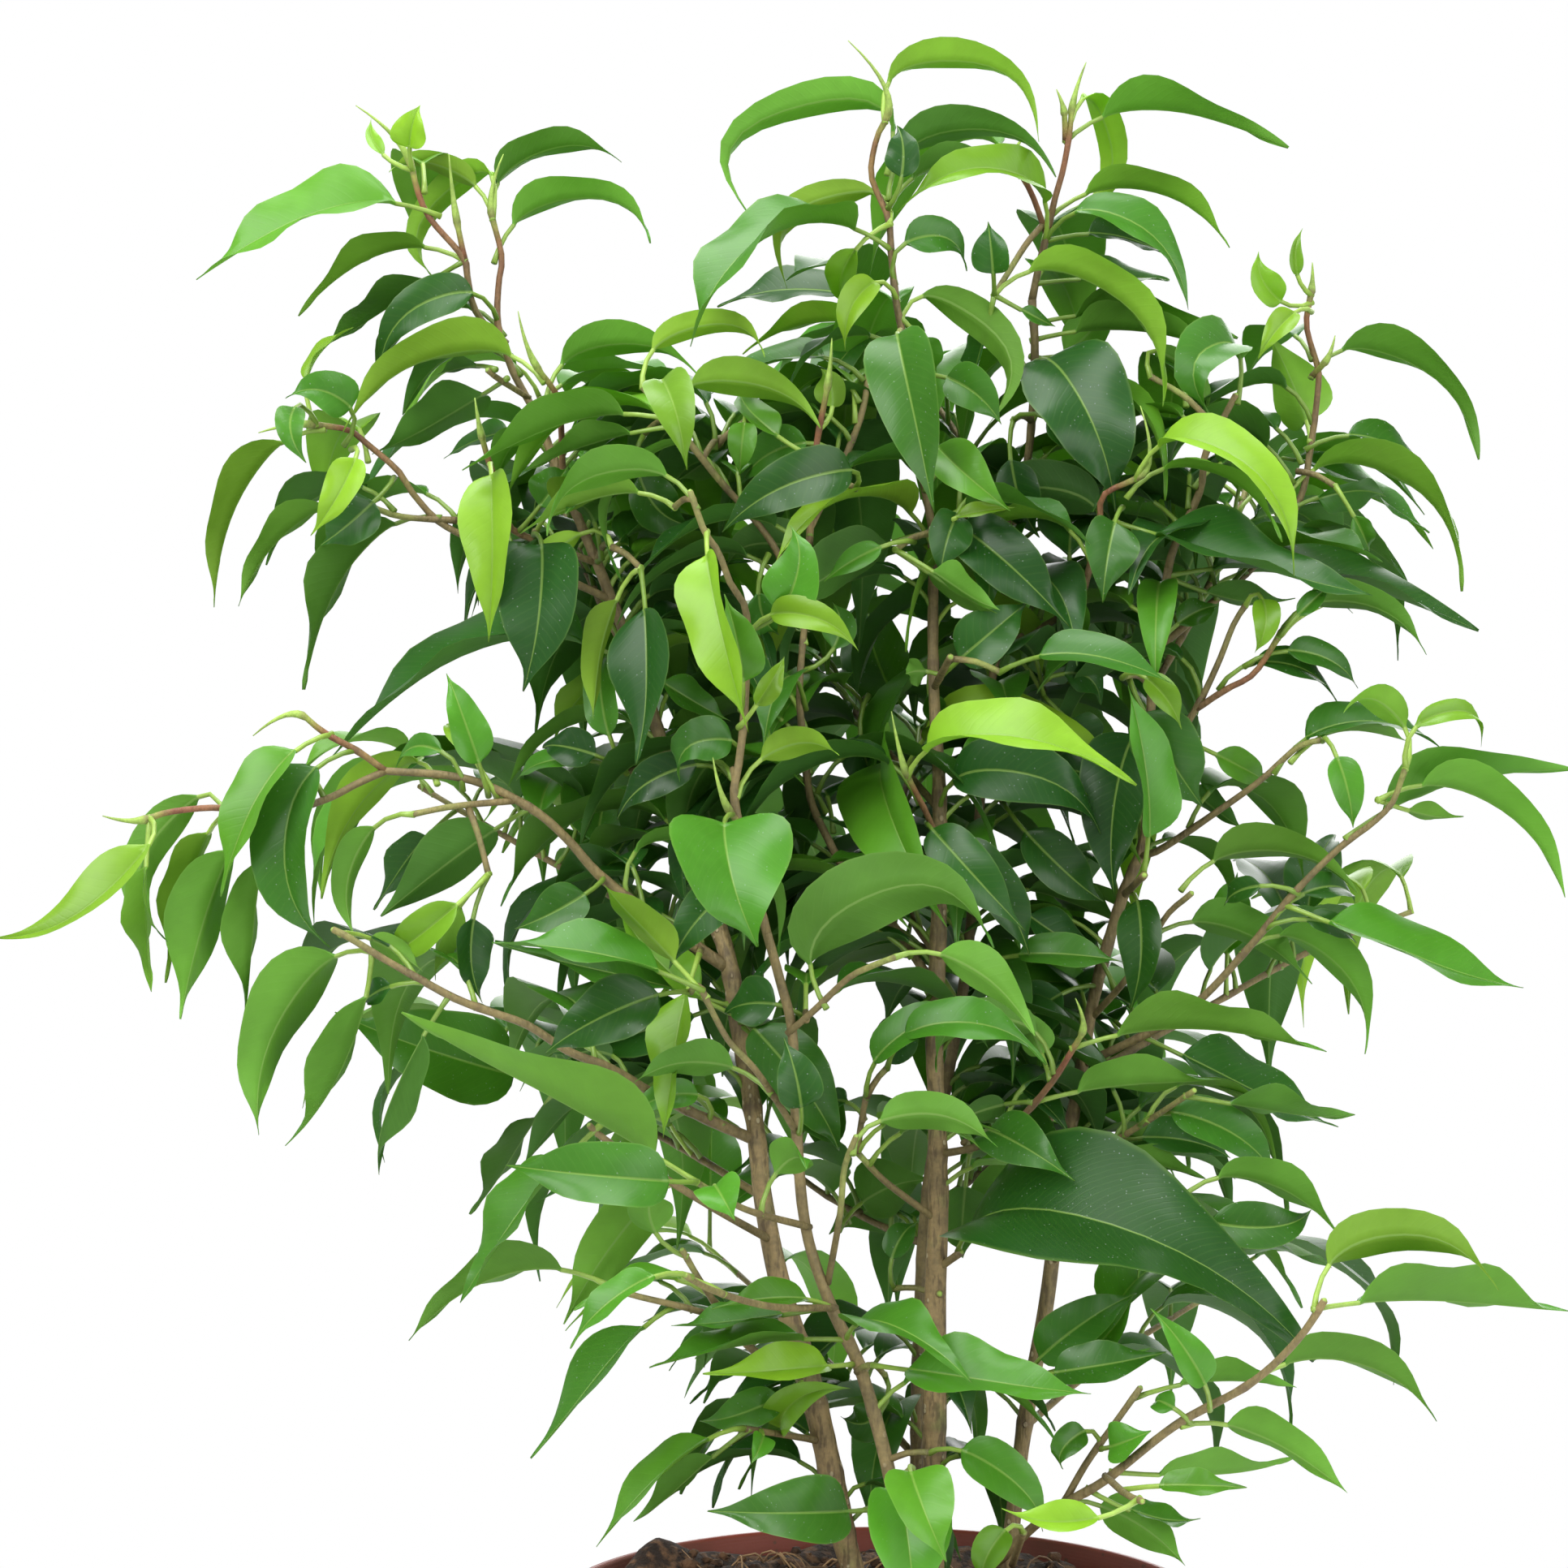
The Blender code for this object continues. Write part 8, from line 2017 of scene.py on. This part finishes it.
@dataclass
class Wood:
    """The wood of one stem: every twig a smooth tapering tube with swollen nodes, and its bud spike."""

    step: float = 2.2
    node_swell: float = 0.16
    node_reach: float = 1.3
    roughness: float = 0.05
    rough_from: float = 1.0
    spike_radius: float = 0.62
    spike_swell: float = 0.25
    spike_tip: float = 0.09
    shoot_reach: float = 24.0
    end_length: float = 0.7
    end_taper: float = 0.35
    sides: int = 14
    twig_sides: int = 8

    def course(self, twig: Twig) -> tuple[Array, Array]:
        """The twig's smooth path and the radius along it, cut where its last leaf leaves it.

        Args:
            twig: The twig.

        Returns:
            The points and the radii.
        """
        points = smooth_path(twig.knots, self.step)
        share = np.linspace(0, 1, len(points))
        radii = real_radius(twig.radii[0] + (twig.radii[-1] - twig.radii[0]) * share)
        if twig.kept_share < 1.0:
            kept = max(2, int(round(twig.kept_share * len(points))))
            points, radii = points[:kept], radii[:kept]
        return points, radii

    def spike(self, points: Array, radii: Array, tip: Array) -> tuple[Array, Array, Array]:
        """The twig's path lengthened by its bud spike: a long, narrow, pointed sheath.

        Args:
            points: The twig's path.
            radii: Its radii.
            tip: The spike's tip.

        Returns:
            The lengthened path and radii, and how green each point is, from 0 to 1.
        """
        s = np.linspace(0, 1, 9)[1:]
        start = points[-1]
        knee = start + unit(points[-1] - points[-2]) * norm(tip - start) * 0.4
        t = s[:, None]
        sheath = (1 - t) ** 2 * start + 2 * t * (1 - t) * knee + t**2 * tip
        girth = self.spike_radius * (1 + self.spike_swell * np.sin(np.pi * np.minimum(s / 0.5, 1.0)))
        thin = girth * (1 - s) ** 0.9 + self.spike_tip
        fresh = np.concatenate((np.zeros(len(points) - 2), (0.3, 0.7), np.minimum(1, s * 4)))
        return np.vstack((points, sheath)), np.concatenate((radii, thin)), fresh

    def build(self, name: str, twigs: list[Twig], roots: Array, draws: Array, bark: bpy.types.Material
              ) -> bpy.types.Object:
        """The piece with all the wood of a stem.

        Args:
            name: The piece's name.
            twigs: Its twigs, the rooted one first.
            roots: Where its leaves grow from.
            draws: One random number from 0 to 1 for each twig.
            bark: The material.

        Returns:
            The object.
        """
        skin = Skin()
        for twig, draw in zip(twigs, draws):
            points, radii = self.course(twig)
            count = len(points)
            if twig.spike is not None:
                shoot = np.clip(1.2 - np.arange(count)[::-1] * self.step / self.shoot_reach, 0, 1)
                points, radii, fresh = self.spike(points, radii, twig.spike)
            else:
                shoot = np.zeros(count)
                last = unit(points[-1] - points[-2]) * radii[-1] * self.end_length
                points = np.vstack((points, points[-1] + last))
                radii = np.append(radii, radii[-1] * self.end_taper)
                fresh = np.zeros(len(points))
            shoot = np.pad(shoot, (0, len(points) - count))
            near = norm(points[:, None] - roots[None], axis=2).min(axis=1)
            node = np.exp(-((near / self.node_reach) ** 2))
            sides = self.sides if twig.radii[0] > THICK_WOOD else self.twig_sides
            turns = full_turn(sides)
            along = np.arange(len(points))[:, None]
            lumps = np.sin(3 * turns + along * 0.31 + 9 * draw) + np.sin(2 * turns - along * 0.17 + 5 * draw)
            rough = 1 + self.roughness * lumps * (radii[:, None] > self.rough_from)
            rings = swept_rings(points, (radii * (1 + self.node_swell * node))[:, None] * rough, sides)
            skin.add_tube(rings, 0, girth=radii[:, None], fresh=fresh[:, None], node=node[:, None],
                          shoot=shoot[:, None])
        return skin.piece(name, [bark])


def soil_height(x: Array, y: Array) -> Array:
    """The height of the uneven soil at places: two crossed waves and the clump, as the solid has it.

    Args:
        x: Where the places lie across.
        y: Where they lie behind.

    Returns:
        Their heights.
    """
    ripple = np.sin(x * 0.21 + 1.3) * np.cos(y * 0.17 - 0.4) + 0.6 * np.sin(x * 0.43 - y * 0.37)
    apart = np.hypot(x - CLUMP_PLACE[0], y - CLUMP_PLACE[1])
    return SOIL_LEVEL + SOIL_ROUGHNESS * ripple + CLUMP_HEIGHT * np.exp(-((apart / CLUMP_SPREAD) ** 2))


def inner_radius(height: float) -> float:
    """The radius inside the pot's wall at a height."""
    share = (height - BASE_CHAMFER) / (POT_HEIGHT - RIM_DEPTH - BASE_CHAMFER)
    return POT_BASE_RADIUS + (POT_BODY_RADIUS - POT_BASE_RADIUS) * min(share, 1.0) - POT_WALL


class Relief:
    """A smooth random height over the plane, the same each time."""

    CELLS = 128

    def __init__(self, seed: int, cell: float) -> None:
        """Draw a grid of heights, `cell` millimetres apart."""
        self.heights = np.random.default_rng(seed).uniform(-1, 1, (self.CELLS, self.CELLS))
        self.cell = cell

    def at(self, x: Array, y: Array) -> Array:
        """The height at places: the four nearest grid heights, eased into each other.

        Args:
            x: Where the places lie across.
            y: Where the places lie behind.

        Returns:
            Heights from -1 to 1.
        """
        u, v = x / self.cell + self.CELLS // 2, y / self.cell + self.CELLS // 2
        i, j = np.floor(u).astype(int), np.floor(v).astype(int)
        a, b = u - i, v - j
        a, b = a * a * (3 - 2 * a), b * b * (3 - 2 * b)
        h = self.heights
        i, j = i % (self.CELLS - 1), j % (self.CELLS - 1)
        near = h[i, j] * (1 - a) + h[i + 1, j] * a
        far = h[i, j + 1] * (1 - a) + h[i + 1, j + 1] * a
        return near * (1 - b) + far * b


@dataclass
class RootBall:
    """The soil: a root ball under a crumbly top, with loose crumbs and rootlets on it."""

    sides: int = 160
    rings: int = 64
    crumbs: int = 620
    fibres: int = 260
    seed: int = 7
    mouth: float = POT_BODY_RADIUS - POT_WALL
    reliefs: tuple = ((6.0, 0.9), (2.4, 0.7), (1.1, 0.35))
    edge: float = 4.0
    crumb_size: tuple = (0.35, 1.5)
    fibre_reach: tuple = (2.5, 6.5)
    fibre_radius: tuple = (0.1, 0.16)

    def height(self, x: Array, y: Array) -> Array:
        """The soil's crumbly height: the solid's height with three finer reliefs on it.

        Args:
            x: Where the places lie across.
            y: Where they lie behind.

        Returns:
            Their heights.
        """
        coarse, middle, fine = (Relief(self.seed + k, cell).at(x, y) * depth
                                for k, (cell, depth) in enumerate(self.reliefs))
        inside = np.clip((self.mouth - np.hypot(x, y)) / self.edge, 0.3, 1)
        return soil_height(x, y) + (coarse + np.abs(middle) + fine - 0.3) * inside

    def ball(self, peat: bpy.types.Material) -> bpy.types.Object:
        """The closed root ball: up the wall from the floor, then in over the crumbly top to the middle.

        Args:
            peat: Its material.

        Returns:
            The object.
        """
        wall = [circle(inner_radius(h) - GAP, h, self.sides)
                for h in np.linspace(POT_FLOOR + GAP, SOIL_LEVEL - 5, 6)]
        radii = (self.mouth - 2 * GAP) * np.linspace(1, 0.004, self.rings)
        top = np.array([circle(radius, 0.0, self.sides) for radius in radii])
        top[..., 2] = self.height(top[..., 0], top[..., 1])
        skin = Skin()
        skin.add_tube(np.concatenate((wall, top)), 0, tone=0.0)
        return skin.piece("soil_top", [peat])

    def strewn(self, stream: int, count: int, margin: float) -> Iterator[tuple[float, float, Array]]:
        """Random places on the soil.

        Args:
            stream: Which stream of random numbers they come from.
            count: How many.
            margin: How far they keep from the wall.

        Yields:
            The place across and behind, and eight random numbers, of which the place took two.
        """
        for draw in np.random.default_rng(self.seed + stream).uniform(size=(count, 8)):
            radius, angle = (self.mouth - margin) * math.sqrt(draw[0]), 2 * math.pi * draw[1]
            yield radius * math.cos(angle), radius * math.sin(angle), draw

    def loose(self, peat: bpy.types.Material) -> bpy.types.Object:
        """Crumbs that lie on the soil: lumpy little bodies of four rings, each turned its own way.

        Args:
            peat: Their material.

        Returns:
            The object.
        """
        skin = Skin()
        turns = full_turn(6)
        levels = np.array((-0.9, -0.35, 0.35, 0.9))[:, None]
        for x, y, draw in self.strewn(3, self.crumbs, 3.0):
            size = self.crumb_size[0] + self.crumb_size[1] * draw[2] ** 3
            z = float(self.height(np.array(x), np.array(y)))
            girth = np.sqrt(1 - levels**2) * (1 + 0.35 * np.sin(turns * 2 + draw[3] * 9 + levels * 3))
            tall = np.broadcast_to(levels * (0.5 + 0.4 * draw[6]), girth.shape)
            wide = girth * (0.6 + 0.4 * draw[5])
            body = np.stack((girth * np.cos(turns + draw[4]), wide * np.sin(turns + draw[4]), tall), axis=-1)
            skin.add_tube(body * size + (x, y, z + size * 0.25), 0, tone=draw[7] ** 2)
        return skin.piece("soil_crumbs", [peat])

    def straws(self, fibre: bpy.types.Material) -> bpy.types.Object:
        """Rootlets that lie on the soil and dip into it: thin bent strands of four sides.

        Args:
            fibre: Their material.

        Returns:
            The object.
        """
        skin = Skin()
        s = np.linspace(-1, 1, 8)
        for x, y, draw in self.strewn(4, self.fibres, 9.0):
            heading = 2 * math.pi * draw[2]
            length = self.fibre_reach[0] + self.fibre_reach[1] * draw[3]
            bend = (draw[4] - 0.5) * 0.9
            xs = x + length * (s * math.cos(heading) - bend * s**2 * math.sin(heading))
            ys = y + length * (s * math.sin(heading) + bend * s**2 * math.cos(heading))
            zs = self.height(xs, ys) + 0.35 + (0.4 + 1.4 * draw[5]) * (1 - s**2) - 0.5 * s**4
            thin = self.fibre_radius[0] + self.fibre_radius[1] * draw[6]
            rings = swept_rings(np.stack((xs, ys, zs), axis=-1), np.full((8, 1), thin), 4)
            skin.add_tube(rings, 0, tone=draw[7])
        return skin.piece("soil_rootlets", [fibre])


@dataclass
class NurseryPot:
    """The thin plastic pot: a turned wall with a stepped rim, and drain holes cut through its floor."""

    sides: int = 144

    def profile(self) -> tuple[Array, Array]:
        """The half section from the middle of the inner floor, over the rim, to the middle of the base.

        Returns:
            Its (radius, height) points, and 1 for those that are on the inside.
        """
        foot, top, rim, wall = POT_HEIGHT - RIM_DEPTH, POT_HEIGHT, POT_RIM_RADIUS, POT_WALL
        floor, low = POT_FLOOR, inner_radius(POT_FLOOR)
        inside = [(1.0, floor), (14, floor), (26, floor), (low - 1.2, floor), (low - 0.3, floor + 0.3),
                  (low + 0.1, floor + 1.2)]
        inside += [(inner_radius(h), h) for h in (20, 40, 60, 80, foot - 0.5)]
        inside += [(POT_BODY_RADIUS - wall + 0.5, foot + 1.4), (rim - wall - 0.9, foot + 2.8),
                   (rim - wall - 0.7, foot + 3.6), (rim - wall, top - 0.6)]
        lip = [(rim - wall * 0.75, top - 0.1), (rim - wall / 2, top), (rim - wall * 0.2, top - 0.1),
               (rim, top - 0.7), (rim - 0.05, top - 1.8), (rim - 0.35, top - 2.4), (rim - 0.6, foot + 1.0),
               (rim - 0.8, foot + 0.3), (rim - 1.2, foot), (POT_BODY_RADIUS + 0.5, foot),
               (POT_BODY_RADIUS, foot - 0.5)]
        slope = (POT_BODY_RADIUS - POT_BASE_RADIUS) / (foot - BASE_CHAMFER)
        outside = [(POT_BODY_RADIUS - slope * (foot - h), h) for h in (foot - 2, 74, 56, 38, 20, 6)]
        base = POT_BASE_RADIUS
        outside += [(base + 0.1, 2.6), (base - 0.25, 1.3), (base - 0.9, 0.45), (base - BASE_CHAMFER, 0.0),
                    (30, 0.0), (16, 0.0), (1.0, 0.0)]
        points = np.array(inside + lip + outside, float)
        return points, np.concatenate((np.ones(len(inside)), np.zeros(len(lip) + len(outside))))

    def build(self, plastic: bpy.types.Material) -> bpy.types.Object:
        """The pot, turned round its axis and pierced.

        Args:
            plastic: Its material.

        Returns:
            The object.
        """
        profile, inside = self.profile()
        skin = Skin()
        rings = np.array([circle(radius, height, self.sides) for radius, height in profile])
        # The inside value marks the inner wall, which the plastic darkens with painted shade.
        skin.add_tube(rings, 0, inside=inside[:, None])
        pot = skin.piece("nursery_pot", [plastic])
        for k in range(DRAIN_HOLES):
            self.pierce(pot, 2 * math.pi * (k + 0.5) / DRAIN_HOLES)
        return pot

    @staticmethod
    def pierce(pot: bpy.types.Object, angle: float) -> None:
        """Cut one drain hole through the floor.

        Args:
            pot: The pot.
            angle: Where the hole is round the axis.
        """
        place = (DRAIN_CIRCLE * MM * math.cos(angle), DRAIN_CIRCLE * MM * math.sin(angle), 0.0)
        bpy.ops.mesh.primitive_cylinder_add(vertices=40, radius=DRAIN_RADIUS * MM, depth=0.02, location=place)
        cutter = bpy.context.object
        hole = pot.modifiers.new("hole", "BOOLEAN")
        hole.operation = "DIFFERENCE"
        hole.object = cutter
        graph = bpy.context.evaluated_depsgraph_get()
        pierced = bpy.data.meshes.new_from_object(pot.evaluated_get(graph))
        pot.modifiers.clear()
        pot.data = pierced
        bpy.data.objects.remove(cutter)


class Side(Enum):
    """Where a lamp stands: its place in metres, its size, its power in watts."""

    KEY = ((-0.55, -0.8, 0.85), 0.8, 15.0)
    FILL = ((0.85, -0.75, 0.35), 0.9, 8.0)
    TOP = ((0.0, 0.0, 1.25), 0.8, 14.0)
    BACK = ((0.25, 0.95, 0.7), 0.9, 10.0)


@dataclass
class Studio:
    """The white studio: a floor that fades into the white surroundings, soft lamps and the camera."""

    floor_radius: float = 0.44
    floor_sides: int = 96
    surround: float = 0.56
    centre: tuple = (-0.01, 0.0, 0.24)
    sensor: float = 36.0
    clipping: tuple = (0.01, 20.0)

    def floor(self) -> None:
        """A flat white disc that takes the pot's soft shadow and fades into the white at its edge."""
        mesh = bpy.data.meshes.new("studio_floor")
        points = circle(self.floor_radius, 0.0, self.floor_sides).tolist()
        mesh.from_pydata(points, [], [list(range(self.floor_sides))])
        mesh.materials.append(StudioFinish().material())
        shown("studio_floor", mesh)

    def world(self) -> None:
        """White surroundings: pure white to the camera, softer as a light."""
        world = bpy.data.worlds.new("studio_surround")
        world.use_nodes = True
        world.node_tree.nodes.clear()
        s = Shading(world.node_tree)
        lit, seen = (s.add("Background", {0: (1.0, 1.0, 1.0), 1: strength}).outputs[0]
                     for strength in (self.surround, 1.0))
        ray = s.add("LightPath").outputs["Is Camera Ray"]
        s.add("OutputWorld", {0: s.blend(ray, lit, seen)})
        bpy.context.scene.world = world

    def lamps(self) -> None:
        """Square soft lamps, each turned to the plant."""
        for side in Side:
            place, size, power = side.value
            lamp = bpy.data.lights.new(f"lamp_{side.name.lower()}", "AREA")
            lamp.size = size
            lamp.energy = power
            made = shown(lamp.name, lamp)
            made.location = place
            aim = np.array(self.centre) - np.array(place)
            made.rotation_euler = (math.atan2(math.hypot(aim[0], aim[1]), -aim[2]), 0.0,
                                   math.atan2(-aim[0], aim[1]))

    def camera(self) -> None:
        """The camera at the eye, level, looking along +Y with the photograph's field of view."""
        data = bpy.data.cameras.new("view")
        data.sensor_width = self.sensor
        data.lens = self.sensor * -EYE[1] / FRAME_WIDTH
        data.clip_start, data.clip_end = self.clipping
        made = shown("view", data)
        made.location = EYE * MM
        made.rotation_euler = (math.radians(90), 0.0, 0.0)
        bpy.context.scene.camera = made

    def build(self) -> None:
        """The whole studio, and plain colours with no film look."""
        self.floor()
        self.world()
        self.lamps()
        self.camera()
        bpy.context.scene.view_settings.view_transform = "Standard"


def dress(piece: bpy.types.Object, node: str) -> None:
    """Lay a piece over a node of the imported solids, and report it.

    Args:
        piece: The piece.
        node: The node that it replaces.
    """
    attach(piece, "root")
    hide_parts(node)
    LOG.info("%s: %d faces", piece.name, len(piece.data.polygons))


def dress_pot() -> None:
    """Lay the pot and the soil over their nodes."""
    dress(NurseryPot().build(PlasticFinish().material()), "pot")
    ball = RootBall()
    peat = PeatFinish().material()
    for piece in (ball.ball(peat), ball.loose(peat), ball.straws(FibreFinish().material())):
        dress(piece, "soil")


def dress_plant() -> None:
    """Grow the plant and lay its wood and leaves over each stem's node."""
    plant = Plant()
    plant.grow()
    leaf_draws = np.random.default_rng(SEED + 1).uniform(size=(len(plant.leaves), 5))
    twig_draws = np.random.default_rng(SEED + 2).uniform(size=len(plant.twigs))
    blades = [UPPER_FACE.material(), UNDER_FACE.material(), StalkFinish().material()]
    bark = BarkFinish().material()
    for number, name in enumerate(STEMS):
        mine = [k for k, leaf in enumerate(plant.leaves) if leaf.stem == number]
        leaves = [plant.leaves[k] for k in mine]
        dress(Foliage().build(name.replace("stem", "leaves"), leaves, leaf_draws[mine], blades),
              name)
        own = [k for k, twig in enumerate(plant.twigs) if twig.stem == number]
        roots = np.array([leaf.root for leaf in leaves])
        dress(Wood().build(name.replace("stem", "wood"), [plant.twigs[k] for k in own], roots,
                           twig_draws[own], bark), name)


def main() -> None:
    """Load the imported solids, dress the pot and the plant, and set up the studio."""
    logging.basicConfig(level=logging.INFO, format="%(name)s: %(message)s")
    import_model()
    dress_pot()
    dress_plant()
    Studio().build()


if __name__ == "__main__":
    main()
